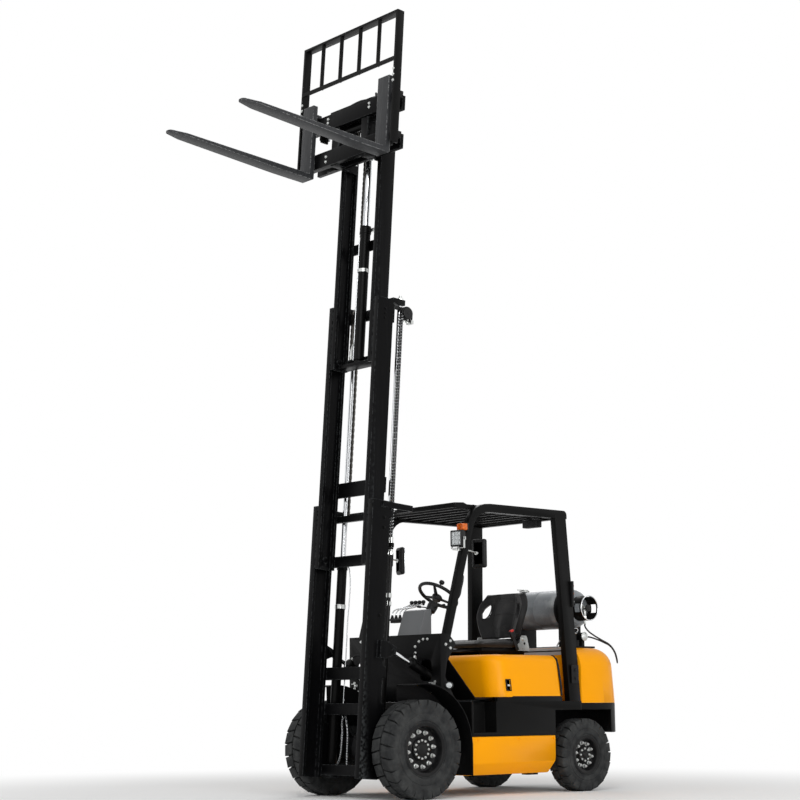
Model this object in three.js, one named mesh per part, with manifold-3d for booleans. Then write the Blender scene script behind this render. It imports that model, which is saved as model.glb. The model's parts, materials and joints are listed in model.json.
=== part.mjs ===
// Counterbalance forklift truck with a three-stage mast, gas-bottle version.
// Millimetres. +X is forward (towards the forks), +Y is the driver's left, +Z is up.
// The truck is laid out from the front axle: x = 0 there, and z = 0 is the ground.
// The last lines move the whole truck so that the frame's origin is under the middle of its box.

import * as THREE from 'three';
import { mergeVertices } from 'three/addons/utils/BufferGeometryUtils.js';
import Module from 'manifold-3d';

const wasm = await Module();
wasm.setup();
const { Manifold } = wasm;

// ---------------------------------------------------------------- driving dimensions

const GAP = 0.3; // between touching pieces
const RUN = 6; // between pieces that move past each other
const DEG = Math.PI / 180;
const CURVE_STEPS = 6; // straight pieces in one rounded corner
const WHEEL_STEPS = 36; // flats round a wheel

const WHEELBASE = 1620;
const REAR_AXLE = -WHEELBASE;
const FRONT_TYRE = { radius: 338, width: 186, seat: 168 };
const REAR_TYRE = { radius: 266, width: 158, seat: 126 };
const MAST_HALF_WIDTH = 335;
const MAST_TO_TYRE = 54;
// To the outer faces of all four tyres.
const TRUCK_HALF_WIDTH = MAST_HALF_WIDTH + MAST_TO_TYRE + FRONT_TYRE.width;
const BODY_HALF_WIDTH = 550;
const BODY_REAR = REAR_AXLE - 480;

const SILL = { bottom: 415, top: 660, front: -462, rear: REAR_AXLE + 20, inner: MAST_HALF_WIDTH + 25 };
const TANK = {
  bottom: 145,
  crease: 227,
  front: -466,
  rearTop: REAR_AXLE + 280,
  rearBottom: REAR_AXLE + 335,
  inner: SILL.inner - 30,
  tuck: 60,
};
const STEP = { front: -480, rear: -706, bottom: 442, depth: 120 };
const WHEEL_HOUSE_CLEARANCE = 22;
const KINGPIN_Y = TRUCK_HALF_WIDTH - REAR_TYRE.width - 22;

const BULKHEAD = {
  x: -215,
  sheet: 10,
  halfWidth: BODY_HALF_WIDTH - 50,
  top: 1135,
  holeZ: 880,
  holeHeight: 150,
  holeWidth: 120,
};
const FLOOR = { top: 682, sheet: 8, rear: -712, toe: -565, toeTop: 1036 };
const FENDER = {
  radius: FRONT_TYRE.radius + 112,
  sheet: 6,
  front: 100,
  inner: TRUCK_HALF_WIDTH - FRONT_TYRE.width - 1,
};
const HOOD = { front: -722, rear: REAR_AXLE + 228, bottom: 692, top: 998, wall: 22, side: 45 };
const POST = { depth: 118, width: 50, footX: REAR_AXLE + 90, headX: REAR_AXLE + 136, lean: 70 };
const WEIGHT = {
  split: 646,
  top: 1060,
  bottom: 425,
  corner: 250, // in plan
  crown: 150, // rounding of the top, round both sides and the rear
  crownSteps: 8,
  lean: 26, // of the rear face
  tuck: 48, // of the lower part's rear face
  chamferTop: 36,
};
const DRAWBAR_POCKET = { depth: 120, half: 45, low: 490, high: 560 };
const GUARD = {
  top: 2090,
  beam: 62,
  tube: 50,
  legFootX: -277,
  legFootZ: 1010,
  legHeadX: -610,
  legY: BODY_HALF_WIDTH - POST.lean - POST.width / 2,
  front: -432,
  bend: 240,
};

const BOTTLE = {
  x: REAR_AXLE - 186,
  z: 1362,
  radius: 150,
  nearEnd: 375,
  farEnd: -375,
  collar: 96,
  collarLength: 92,
};
const SEAT = {
  front: -865,
  back: -1310,
  halfWidth: 235,
  base: 1003,
  cushion: 1052,
  cushionTop: 1132,
  top: 1492,
};
const COLUMN = { baseX: -478, baseZ: 1180, hubX: -632, hubZ: 1405, wheelRadius: 150, rim: 13 };

const MAST_TILT = 4.08; // leaning back in the stored pose
const MAST_PIVOT_Z = FRONT_TYRE.radius;
const RAIL = { front: 383, bottom: 120, length: 1950, flange: 22 };
const OUTER = { half: MAST_HALF_WIDTH, flangeWidth: 50, web: 14, back: 220, length: 1930 };
const MIDDLE = { half: OUTER.half - 56, flangeWidth: 41, web: 12, back: 235, lift: 1470 };
const INNER = { half: MIDDLE.half - 47, flangeWidth: 42, web: 12, back: 250, lift: 2940 };
const ROLLER_WIDTH = 20;
const LIFT_CYLINDER = { x: 150, y: MIDDLE.half - 27, radius: 35, rod: 20, foot: 150, head: 1700 };
const FREE_LIFT = { x: 306, radius: 38.5, rod: 26, head: 1080, stroke: 780 };
const CARRIAGE_RISE = 4500; // of the carriage, from its lowest place to the stored pose
const FORK = { lowTop: 75, thickness: 40, width: 122, blade: 1250, shank: 590, y: 438, faceX: 532 };
const BACKREST = { half: 550, top: 1052, lowBar: 690, x: 500, depth: 64, sheet: 20, slats: 4 };
const TILT_CYLINDER = {
  y: OUTER.half + 10,
  pinX: 165,
  pinZ: 1006,
  angle: 25,
  reach: 480,
  barrel: 33,
  rod: 15,
  barrelLength: 285,
};

// ---------------------------------------------------------------- finishes

const finish = (color, roughness, metalness) => new THREE.MeshStandardMaterial(
  { color, roughness, metalness }
);
const YELLOW = finish('#ffa500', 0.35, 0.0);
const BLACK = finish('#161616', 0.5, 0.1);
const MAST_BLACK = finish('#1b1b1c', 0.55, 0.2);
const RUBBER = finish('#3b3c3d', 0.9, 0.0);
const RIM_BLACK = finish('#141414', 0.4, 0.3);
const CHROME = finish('#d8dadc', 0.12, 1.0);
const VINYL = finish('#1d1d1e', 0.6, 0.0);
const PLASTIC = finish('#8a8c8e', 0.5, 0.0);
const STEEL = finish('#6f7376', 0.45, 0.6);
const HOSE = finish('#101010', 0.6, 0.0);

// ---------------------------------------------------------------- shape helpers

// A three.js geometry as a manifold solid.
function solid(geometry) {
  const bare = new THREE.BufferGeometry();
  bare.setAttribute('position', geometry.getAttribute('position'));
  if (geometry.index) bare.setIndex(geometry.index);
  const merged = mergeVertices(bare, 1e-4);
  return new Manifold(
    new wasm.Mesh({
      numProp: 3,
      vertProperties: new Float32Array(merged.getAttribute('position').array),
      triVerts: new Uint32Array(merged.index.array),
    }),
  );
}

// A manifold solid as a three.js geometry.
function geometryOf(body) {
  const mesh = body.getMesh();
  const geometry = new THREE.BufferGeometry();
  geometry.setAttribute('position', new THREE.BufferAttribute(new Float32Array(mesh.vertProperties), 3));
  geometry.setIndex(new THREE.BufferAttribute(new Uint32Array(mesh.triVerts), 1));
  geometry.computeVertexNormals();
  return geometry;
}

// A box from its low and high corner.
function block(x0, x1, y0, y1, z0, z1) {
  const geometry = new THREE.BoxGeometry(Math.abs(x1 - x0), Math.abs(y1 - y0), Math.abs(z1 - z0));
  return solid(geometry.translate((x0 + x1) / 2, (y0 + y1) / 2, (z0 + z1) / 2));
}

// A closed shape in a plane, pushed along the third axis from low to high.
const PLANES = {
  xz: new THREE.Matrix4().makeBasis(
    new THREE.Vector3(1, 0, 0),
    new THREE.Vector3(0, 0, 1),
    new THREE.Vector3(0, -1, 0),
  ),
  xy: new THREE.Matrix4(),
  yz: new THREE.Matrix4().makeBasis(
    new THREE.Vector3(0, 1, 0),
    new THREE.Vector3(0, 0, 1),
    new THREE.Vector3(1, 0, 0),
  ),
};

function prism(plane, shape, low, high) {
  const outline = shape instanceof THREE.Shape ? shape : polygon(shape);
  const geometry = new THREE.ExtrudeGeometry(
    outline,
    { depth: high - low, bevelEnabled: false, curveSegments: CURVE_STEPS },
  );
  geometry.translate(0, 0, plane === 'xz' ? -high : low);
  return solid(geometry.applyMatrix4(PLANES[plane]));
}

function polygon(points) {
  return new THREE.Shape(points.map(([a, b]) => new THREE.Vector2(a, b)));
}

// A polygon whose listed corners are rounded: each point is [a, b] or [a, b, radius].
function roundedPolygon(points) {
  const shape = new THREE.Shape();
  points.forEach(([a, b, radius = 0], i) => {
    const corner = new THREE.Vector2(a, b);
    const before = new THREE.Vector2(...points[(i + points.length - 1) % points.length]);
    const after = new THREE.Vector2(...points[(i + 1) % points.length]);
    const inward = before.sub(corner).normalize();
    const outward = after.sub(corner).normalize();
    const half = Math.acos(THREE.MathUtils.clamp(inward.dot(outward), -1, 1)) / 2;
    const reach = radius / Math.tan(half);
    const start = corner.clone().addScaledVector(inward, reach);
    const end = corner.clone().addScaledVector(outward, reach);
    if (i === 0) shape.moveTo(start.x, start.y);
    else shape.lineTo(start.x, start.y);
    if (radius) shape.quadraticCurveTo(a, b, end.x, end.y);
  });
  shape.closePath();
  return shape;
}

// A round bar between two points.
function bar(from, to, radius, sides = 20) {
  const start = new THREE.Vector3(...from);
  const end = new THREE.Vector3(...to);
  const span = end.clone().sub(start);
  const geometry = new THREE.CylinderGeometry(radius, radius, span.length(), sides);
  const turn = new THREE.Quaternion().setFromUnitVectors(
    new THREE.Vector3(0, 1, 0),
    span.clone().normalize(),
  );
  geometry.applyQuaternion(turn).translate(...start.add(end).multiplyScalar(0.5).toArray());
  return solid(geometry);
}

// The radius of a bore whose flats clear a round shaft as either of them turns.
const boreOver = (radius, sides) => (radius + GAP) / Math.cos(Math.PI / sides);

// A profile of [radius, y] points turned about a line along Y through (x, z).
function turned(profile, x, z, segments = WHEEL_STEPS) {
  const points = [...profile, profile[0]].map(([r, y]) => new THREE.Vector2(r, y));
  return solid(new THREE.LatheGeometry(points, segments).translate(x, 0, z));
}

// The convex body around two rectangles that each lie level: [x0, x1, y0, y1, z].
function tapered(low, high) {
  const corners = [low, high].flatMap(([x0, x1, y0, y1, z]) =>
    [x0, x1].flatMap((x) => [y0, y1].map((y) => [x, y, z])),
  );
  return Manifold.hull(corners);
}

const join = (...bodies) => Manifold.union(bodies.flat());
const cut = (body, ...tools) => Manifold.difference([body, ...tools.flat()]);
const flip = (body) => body.mirror([0, 1, 0]);
const onSide = (side, body) => (side === 'left' ? body : flip(body));
const SIDES = ['left', 'right'];

// ---------------------------------------------------------------- the assembly

const truck = new THREE.Group();
const mastGroup = new THREE.Group();
mastGroup.position.set(0, 0, MAST_PIVOT_Z);
mastGroup.rotation.y = -MAST_TILT * DEG;
truck.add(mastGroup);

function add(name, body, material, group = truck) {
  const mesh = new THREE.Mesh(geometryOf(body), material);
  mesh.name = name;
  group.add(mesh);
  return mesh;
}

// Mast pieces are drawn in the upright mast's own frame, and this puts them on the tilting group.
const addToMast = (name, body, material) => add(
  name,
  body.translate([0, 0, -MAST_PIVOT_Z]),
  material,
  mastGroup,
);

// ---------------------------------------------------------------- wheels

// A tyre's section: flat tread, rounded shoulders and sidewalls that fall in to the rim.
function tyre({ radius, width, seat }, x, outerFace) {
  const mid = outerFace - width / 2;
  const half = width / 2;
  return turned(
    [
      [seat, mid - half * 0.86],
      [seat + 36, mid - half],
      [radius - 30, mid - half],
      [radius, mid - half * 0.8],
      [radius, mid + half * 0.8],
      [radius - 30, mid + half],
      [seat + 36, mid + half],
      [seat, mid + half * 0.86],
    ],
    x,
    radius,
  );
}

// A dished rim with its hub: a barrel under the tyre, a disc set in from the outer face, and a boss.
function rim({ radius, width, seat }, x, outerFace, { discIn, disc, bossRadius, bossOut, boreRadius }) {
  const half = width / 2;
  const mid = outerFace - half;
  const out = mid + half * 0.84;
  const inn = mid - half * 0.84;
  const face = outerFace - discIn;
  const wall = 12;
  return turned(
    [
      [seat - GAP, inn],
      [seat - GAP, out],
      [seat - wall, out],
      [seat - wall - 8, face],
      [bossRadius, face],
      [bossRadius, face + bossOut],
      [boreRadius, face + bossOut],
      [boreRadius, face - disc],
      [seat - wall - 8, face - disc],
      [seat - wall, inn],
    ],
    x,
    radius,
  );
}

const FRONT_RIM = { discIn: 62, disc: 14, bossRadius: 78, bossOut: 22, boreRadius: 46 };
const REAR_RIM = { discIn: 50, disc: 12, bossRadius: 60, bossOut: 26, boreRadius: 26 };
const AXLE_NOSE_FRONT = FRONT_RIM.boreRadius - 1;
const AXLE_NOSE_REAR = REAR_RIM.boreRadius - 1;

for (const side of SIDES) {
  add(`tyre_front_${side}`, onSide(side, tyre(FRONT_TYRE, 0, TRUCK_HALF_WIDTH)), RUBBER);
  add(`rim_front_${side}`, onSide(side, rim(FRONT_TYRE, 0, TRUCK_HALF_WIDTH, FRONT_RIM)), RIM_BLACK);
  add(`tyre_rear_${side}`, onSide(side, tyre(REAR_TYRE, -WHEELBASE, TRUCK_HALF_WIDTH)), RUBBER);
  add(`rim_rear_${side}`, onSide(side, rim(REAR_TYRE, -WHEELBASE, TRUCK_HALF_WIDTH, REAR_RIM)), RIM_BLACK);
}

// ---------------------------------------------------------------- axles and steering

const AXLE_TUBE = 75;
const LUG = {
  inner: boreOver(AXLE_TUBE, 24),
  outer: AXLE_TUBE + 36,
  y0: OUTER.half - 41,
  y1: OUTER.half - 2,
};
const AXLE_TUBE_HALF = LUG.y1 + 47;
const DRUM = { radius: 140, in: LUG.y1 + 12, out: TRUCK_HALF_WIDTH - 127 };

// The drive axle: banjo casing, tubes, brake backing plates and the spindle noses in the hubs.
function driveAxle() {
  const z = FRONT_TYRE.radius;
  const tube = bar([0, -AXLE_TUBE_HALF, z], [0, AXLE_TUBE_HALF, z], AXLE_TUBE, 24);
  const nose = bar([0, -(TRUCK_HALF_WIDTH - 45), z], [0, TRUCK_HALF_WIDTH - 45, z], AXLE_NOSE_FRONT, 24);
  const casing = turned([[0, -120], [95, -112], [150, -60], [150, 60], [95, 112], [0, 120]], -14, z, 24);
  const drums = SIDES.map((side) =>
    onSide(
      side,
      turned([[0, DRUM.in], [DRUM.radius, DRUM.in], [DRUM.radius, DRUM.out], [0, DRUM.out]], 0, z, 24),
    ),
  );
  const mounts = SIDES.map((side) => onSide(side, block(-190 + GAP, -30, 196, 262, z - 40, z + 60)));
  return join(tube, nose, casing, drums, mounts);
}
add('drive_axle', driveAxle(), BLACK);

const STEER_AXLE = { z: REAR_TYRE.radius, eyeHeight: 74, pin: 19 };

// The steer axle: a box beam between two forked ends, with the steering cylinder behind it.
function steerAxle() {
  const { z, eyeHeight, pin } = STEER_AXLE;
  const beam = block(-WHEELBASE - 48, -WHEELBASE + 48, -330, 330, z - 48, z + 62);
  const trunnion = bar([-WHEELBASE - 150, 0, z + 70], [-WHEELBASE + 150, 0, z + 70], 46, 24);
  const ends = SIDES.flatMap((side) =>
    [1, -1].map((up) => {
      const plate = block(
        -WHEELBASE - 44, -WHEELBASE + 44, 300, KINGPIN_Y + 42, z + up * eyeHeight - 14,
        z + up * eyeHeight + 14,
      );
      return onSide(side, plate);
    }),
  );
  const webs = SIDES.map(
    (side) => onSide(
      side,
      block(-WHEELBASE - 40, -WHEELBASE + 40, 300, 332, z - eyeHeight - 14, z + eyeHeight + 14),
    )
  );
  const pins = SIDES.map((side) => {
    const y = side === 'left' ? KINGPIN_Y : -KINGPIN_Y;
    return bar([-WHEELBASE, y, z - eyeHeight - 8], [-WHEELBASE, y, z + eyeHeight + 8], pin, 24);
  });
  const cylinder = bar([-WHEELBASE - 88, -92, z + 6], [-WHEELBASE - 88, 92, z + 6], 40);
  const cradle = block(-WHEELBASE - 88, -WHEELBASE - 30, -84, 84, z - 28, z + 36);
  return join(beam, trunnion, ends, webs, pins, cylinder, cradle);
}
add('steer_axle', steerAxle(), BLACK);

// A steering knuckle: the boss on the king pin and the stub axle out to the rim.
function knuckle() {
  const { z, eyeHeight, pin } = STEER_AXLE;
  const boss = bar(
    [-WHEELBASE, KINGPIN_Y, z - eyeHeight + 16],
    [-WHEELBASE, KINGPIN_Y, z + eyeHeight - 16],
    40,
    24,
  );
  const stub = bar([-WHEELBASE, KINGPIN_Y, z], [-WHEELBASE, TRUCK_HALF_WIDTH - 34, z], AXLE_NOSE_REAR, 24);
  const hubEnd = TRUCK_HALF_WIDTH - REAR_RIM.discIn - REAR_RIM.disc - RUN;
  const hub = bar([-WHEELBASE, KINGPIN_Y + 24, z], [-WHEELBASE, hubEnd, z], eyeHeight - 20, 24);
  const pinHole = bar([-WHEELBASE, KINGPIN_Y, z - 200], [-WHEELBASE, KINGPIN_Y, z + 200], pin + 1, 24);
  return cut(join(boss, stub, hub), pinHole);
}
for (const side of SIDES) add(`steering_knuckle_${side}`, onSide(side, knuckle()), BLACK);

// ---------------------------------------------------------------- tilt cylinders

// The mast's tilt pin in the truck's frame, and the line of the cylinder down to its rear pin.
const tilt = MAST_TILT * DEG;
const PIN = {
  x: TILT_CYLINDER.pinX * Math.cos(tilt) - (TILT_CYLINDER.pinZ - MAST_PIVOT_Z) * Math.sin(tilt),
  z: MAST_PIVOT_Z + TILT_CYLINDER.pinX * Math.sin(tilt) + (
    TILT_CYLINDER.pinZ - MAST_PIVOT_Z
  ) * Math.cos(tilt),
};
const REAR_PIN = {
  x: PIN.x - TILT_CYLINDER.reach * Math.cos(TILT_CYLINDER.angle * DEG),
  z: PIN.z - TILT_CYLINDER.reach * Math.sin(TILT_CYLINDER.angle * DEG),
};
const alongTilt = (distance) => [
  REAR_PIN.x + distance * Math.cos(TILT_CYLINDER.angle * DEG),
  TILT_CYLINDER.y,
  REAR_PIN.z + distance * Math.sin(TILT_CYLINDER.angle * DEG),
];

function tiltBarrel() {
  const { barrel, rod, barrelLength, y } = TILT_CYLINDER;
  const eye = bar([REAR_PIN.x, y - 12, REAR_PIN.z], [REAR_PIN.x, y + 12, REAR_PIN.z], 26, 24);
  const hole = bar([REAR_PIN.x, y - 20, REAR_PIN.z], [REAR_PIN.x, y + 20, REAR_PIN.z], 12.5, 24);
  const tube = bar(alongTilt(42), alongTilt(barrelLength), barrel);
  const neck = bar(alongTilt(18), alongTilt(44), 12, 20);
  const bore = bar(alongTilt(50), alongTilt(barrelLength + 10), rod + 0.6);
  return cut(join(eye, tube, neck), hole, bore);
}

function tiltRod() {
  const { rod, reach, y, barrelLength } = TILT_CYLINDER;
  const shaft = bar(alongTilt(barrelLength - 130), alongTilt(reach - 14), rod);
  const eye = bar([PIN.x, y - 11, PIN.z], [PIN.x, y + 11, PIN.z], 25, 24);
  const hole = bar([PIN.x, y - 20, PIN.z], [PIN.x, y + 20, PIN.z], 16, 24);
  return cut(join(shaft, eye), hole);
}

// The fork in which a barrel's eye turns, standing on the side member.
function tiltMount() {
  const { y } = TILT_CYLINDER;
  const ear = (y0, y1) =>
    prism(
      'xz',
      [
        [REAR_PIN.x - 60, SILL.top - 2],
        [REAR_PIN.x + 60, SILL.top - 2],
        [REAR_PIN.x + 22, REAR_PIN.z + 26],
        [REAR_PIN.x - 22, REAR_PIN.z + 26],
      ],
      y0,
      y1,
    );
  const foot = block(
    REAR_PIN.x - 60, REAR_PIN.x + 60, y - 30, y + 30, SILL.top - 2, FLOOR.top - FLOOR.sheet - GAP,
  );
  const pin = bar([REAR_PIN.x, y - 28, REAR_PIN.z], [REAR_PIN.x, y + 28, REAR_PIN.z], 12, 24);
  return join(ear(y - 28, y - 18), ear(y + 18, y + 28), foot, pin);
}
for (const side of SIDES) {
  add(`tilt_barrel_${side}`, onSide(side, tiltBarrel()), BLACK);
  add(`tilt_rod_${side}`, onSide(side, tiltRod()), CHROME);
}

// ---------------------------------------------------------------- chassis

// The room that a steered rear wheel sweeps about its king pin.
function wheelHouse() {
  const reach = TRUCK_HALF_WIDTH - KINGPIN_Y;
  const radius = Math.hypot(reach, REAR_TYRE.radius) + WHEEL_HOUSE_CLEARANCE;
  const top = REAR_TYRE.radius * 2 + 64;
  return bar([-WHEELBASE, KINGPIN_Y, -50], [-WHEELBASE, KINGPIN_Y, top], radius, 40);
}

const ENGINE_BAY_HALF = 300;

// The chassis: two side members joined by cross walls, with the foot steps let into their outer faces.
function chassis() {
  const { bottom, top, front, rear, inner } = SILL;
  const sideMember = () => {
    const sill = block(rear, front, inner, BODY_HALF_WIDTH, bottom, top);
    const step = block(
      STEP.rear, STEP.front, BODY_HALF_WIDTH - STEP.depth, BODY_HALF_WIDTH + 5, STEP.bottom, top + 5,
    );
    const rail = block(rear, front + 20, ENGINE_BAY_HALF, inner + 5, 300, top);
    const nose = block(front, -190, 196, inner + 5, 300, top);
    const ledge = block(
      HOOD.rear, HOOD.front, BODY_HALF_WIDTH - 30, BODY_HALF_WIDTH - 2, top - 2, HOOD.bottom - GAP,
    );
    return join(cut(sill, step), rail, nose, ledge, tiltMount());
  };
  const sides = SIDES.map((side) => onSide(side, sideMember()));
  const frontWall = block(-215, -190, -inner, inner, 480, top);
  const rearWall = block(rear, rear + 26, -BODY_HALF_WIDTH, BODY_HALF_WIDTH, 420, top);
  const trunnionSeat = block(-WHEELBASE + 60, -WHEELBASE + 150, -90, 90, REAR_TYRE.radius + 20, 425);
  const seatBore = bar(
    [-WHEELBASE, 0, REAR_TYRE.radius + 70],
    [-WHEELBASE + 200, 0, REAR_TYRE.radius + 70],
    46.6,
    24,
  );
  const bridge = block(-WHEELBASE + 20, -WHEELBASE + 150, -inner, inner, 420, 470);
  const frame = join(sides, frontWall, rearWall, cut(trunnionSeat, seatBore), bridge);
  return cut(frame, wheelHouse(), flip(wheelHouse()));
}
add('chassis_frame', chassis(), BLACK);

// A side tank, yellow, whose lower edge folds in under the sill; its rear end slopes clear of the wheel.
function sideTank() {
  const { bottom, crease, front, rearTop, rearBottom, inner, tuck } = TANK;
  const top = SILL.bottom - GAP;
  const section = prism(
    'yz',
    [
      [inner, bottom], [BODY_HALF_WIDTH - tuck, bottom], [BODY_HALF_WIDTH, crease], [BODY_HALF_WIDTH, top],
      [SILL.inner + 6, top], [SILL.inner + 6, 290], [inner, 290],
    ],
    rearTop,
    front,
  );
  const endSlope = prism(
    'xz',
    [[rearTop - 5, bottom - 5], [rearBottom, bottom - 5], [rearTop, top + 5], [rearTop - 5, top + 5]],
    inner - 5,
    BODY_HALF_WIDTH + 5,
  );
  return cut(section, endSlope, wheelHouse());
}
add('fuel_side_tank', sideTank(), YELLOW);
add('hydraulic_side_tank', flip(sideTank()), YELLOW);

// The engine as one plain block, with the gearbox and the drive to the axle ahead of it.
function engine() {
  const gearbox = block(-810, -420, -150, 150, 300, 560);
  const drive = bar([-430, 0, 400], [-164.6, 0, 350], 60, 24);
  return join(block(-1230, -760, -230, 230, 330, 900), gearbox, drive);
}
add('engine_block', engine(), STEEL);

// ---------------------------------------------------------------- driver's place

// The space that a front mudguard fills, cut from the cowl where the two meet.
function fenderRoom() {
  const { radius, sheet, inner } = FENDER;
  const z = FRONT_TYRE.radius;
  return bar([0, inner - sheet - GAP, z], [0, TRUCK_HALF_WIDTH + 50, z], radius + RUN, 48);
}

// The cowl: a wide front plate with a hole for each tilt cylinder, and a shaped wing on each side.
function cowl() {
  const { x, sheet, halfWidth, top, holeZ, holeHeight, holeWidth } = BULKHEAD;
  const bottom = SILL.top + GAP;
  const plate = block(x - sheet, x, -halfWidth, halfWidth, bottom, top);
  const holes = SIDES.map((side) => {
    const slot = roundedPolygon([
      [TILT_CYLINDER.y - holeWidth / 2, holeZ - holeHeight / 2, 40],
      [TILT_CYLINDER.y + holeWidth / 2, holeZ - holeHeight / 2, 40],
      [TILT_CYLINDER.y + holeWidth / 2, holeZ + holeHeight / 2, 40],
      [TILT_CYLINDER.y - holeWidth / 2, holeZ + holeHeight / 2, 40],
    ]);
    return onSide(side, prism('yz', slot, x - 40, x + 40));
  });
  const wingOutline = roundedPolygon([
    [x, bottom],
    [x, top],
    [x - 80, top],
    [x - 150, top - 70, 26],
    [x - 62, top - 195, 30],
    [x - 42, top - 300, 20],
    [x - 110, bottom + 60, 20],
    [x - 150, bottom],
  ]);
  const wings = SIDES.map((side) => onSide(side, prism('xz', wingOutline, halfWidth - sheet, halfWidth)));
  const bosses = SIDES.map((side) =>
    onSide(side, block(x - 115, x - 35, GUARD.legY + GUARD.tube / 2 + GAP, halfWidth - 2, 1015, 1100)),
  );
  const arches = SIDES.map((side) => onSide(side, fenderRoom()));
  return cut(join(cut(plate, holes), wings, bosses), arches);
}
add('front_cowl', cowl(), BLACK);

// The floor and the sloping toe board over the tilt cylinders, one folded plate.
const TOE_FRONT = BULKHEAD.x - BULKHEAD.sheet - GAP;
const toeBoard = (x) => FLOOR.top + ((x - FLOOR.toe) * (FLOOR.toeTop - FLOOR.top)) / (TOE_FRONT - FLOOR.toe);

function floorPlate() {
  const { top, sheet, rear, toe, toeTop } = FLOOR;
  const outline = [
    [rear, top - sheet],
    [toe + 5, top - sheet],
    [TOE_FRONT, toeTop - 12],
    [TOE_FRONT, toeTop],
    [toe, top],
    [rear, top],
  ];
  return prism(
    'xz',
    outline,
    -BULKHEAD.halfWidth + BULKHEAD.sheet + GAP,
    BULKHEAD.halfWidth - BULKHEAD.sheet - GAP,
  );
}
add('floor_plate', floorPlate(), BLACK);

// A front mudguard: an arched sheet over the tyre, with an inner cheek back to the cowl.
function fender() {
  const { radius, sheet, front, inner } = FENDER;
  const z = FRONT_TYRE.radius;
  const start = Math.acos(front / radius);
  const arch = new THREE.Shape();
  arch.absarc(0, z, radius, start, Math.PI - 0.06, false);
  arch.lineTo(-radius + 1, 150);
  arch.lineTo(-radius + 1 + sheet, 150);
  arch.absarc(0, z, radius - sheet, Math.PI - 0.06, start, true);
  arch.closePath();
  const skin = prism('xz', arch, inner, TRUCK_HALF_WIDTH - 3);
  const cheekOutline = new THREE.Shape();
  cheekOutline.absarc(0, z, radius - sheet / 2, start, Math.PI - 0.5, false);
  cheekOutline.lineTo(-300, z + 160);
  cheekOutline.lineTo(front - 10, z + 160);
  cheekOutline.closePath();
  return join(skin, prism('xz', cheekOutline, inner - sheet, inner));
}
for (const side of SIDES) add(`front_fender_${side}`, onSide(side, fender()), BLACK);

// The instrument console on the cowl, and the column cover that carries the steering wheel.
const CONSOLE = { front: -352, rear: -478, shoulder: 1136, top: 1330, half: 120 };

function instrumentConsole() {
  const { front, rear, shoulder, top, half } = CONSOLE;
  const outline = [
    [rear, toeBoard(rear) + 1],
    [front + 50, toeBoard(front + 50) + 1],
    [front + 50, shoulder - 50],
    [front, shoulder],
    [front - 66, top - 10],
    [rear + 8, top],
    [rear, top - 4],
  ];
  return prism('xz', outline, -half, half);
}
add('instrument_console', instrumentConsole(), PLASTIC);

const columnAxis = new THREE.Vector3(COLUMN.hubX - COLUMN.baseX, 0, COLUMN.hubZ - COLUMN.baseZ).normalize();
const alongColumn = (distance) => [
  COLUMN.hubX + columnAxis.x * distance,
  0,
  COLUMN.hubZ + columnAxis.z * distance,
];

const HUB_BACK = 10;

function steeringColumn() {
  const front = CONSOLE.rear - GAP;
  const outline = [
    [front, toeBoard(front) + 1],
    [front, 1262],
    [front - 78, 1240],
    [front - 78, toeBoard(front - 78) + 1],
  ];
  const tube = bar(alongColumn(-190), alongColumn(-HUB_BACK - GAP), 24, 24);
  return join(prism('xz', outline, -50, 50), cut(tube, block(front, front + 200, -60, 60, 1000, 1400)));
}
add('steering_column', steeringColumn(), BLACK);

// The steering wheel: a rim, three spokes and a domed hub, turned about the column's line.
function steeringWheel() {
  const { wheelRadius, rim: rimRadius } = COLUMN;
  const ring = solid(
    new THREE.TorusGeometry(wheelRadius - rimRadius, rimRadius, 8, 28)
  ).translate([0, 0, 44]);
  const spokes = [90, 210, 330].map((angle) => {
    const [c, s] = [Math.cos(angle * DEG), Math.sin(angle * DEG)];
    return bar([c * 20, s * 20, 6], [c * (wheelRadius - rimRadius), s * (wheelRadius - rimRadius), 44], 8, 8);
  });
  const hub = solid(
    new THREE.LatheGeometry(
      [
        [0, -HUB_BACK], [30, -HUB_BACK], [38, 4], [44, 30], [30, 42], [0, 46],
      ].map((p) => new THREE.Vector2(...p)),
      16,
    )
      .rotateX(90 * DEG),
  );
  return join(ring, spokes, hub);
}
const wheelMesh = add('steering_wheel', steeringWheel(), BLACK);
wheelMesh.quaternion.setFromUnitVectors(new THREE.Vector3(0, 0, 1), columnAxis);
wheelMesh.position.set(...alongColumn(0));

// Four hydraulic levers on one base at the driver's right of the console.
function levers() {
  const base = block(-470, -400, -300, -140, 1290, 1315);
  const post = block(-455, -415, -150, -120.3, 1240, 1312);
  const sticks = [-286, -246, -206, -166].map((y, i) => {
    const knob = [-660 + i * 20, y, 1402 - i * 6];
    const ball = solid(new THREE.SphereGeometry(16, 10, 6).translate(...knob));
    return join(bar([-440, y, 1302], [-460, y, 1372], 6, 8), bar([-460, y, 1372], knob, 6, 8), ball);
  });
  return join(base, post, sticks);
}
add('hydraulic_levers', levers(), BLACK);

// ---------------------------------------------------------------- hood and seat

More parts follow.
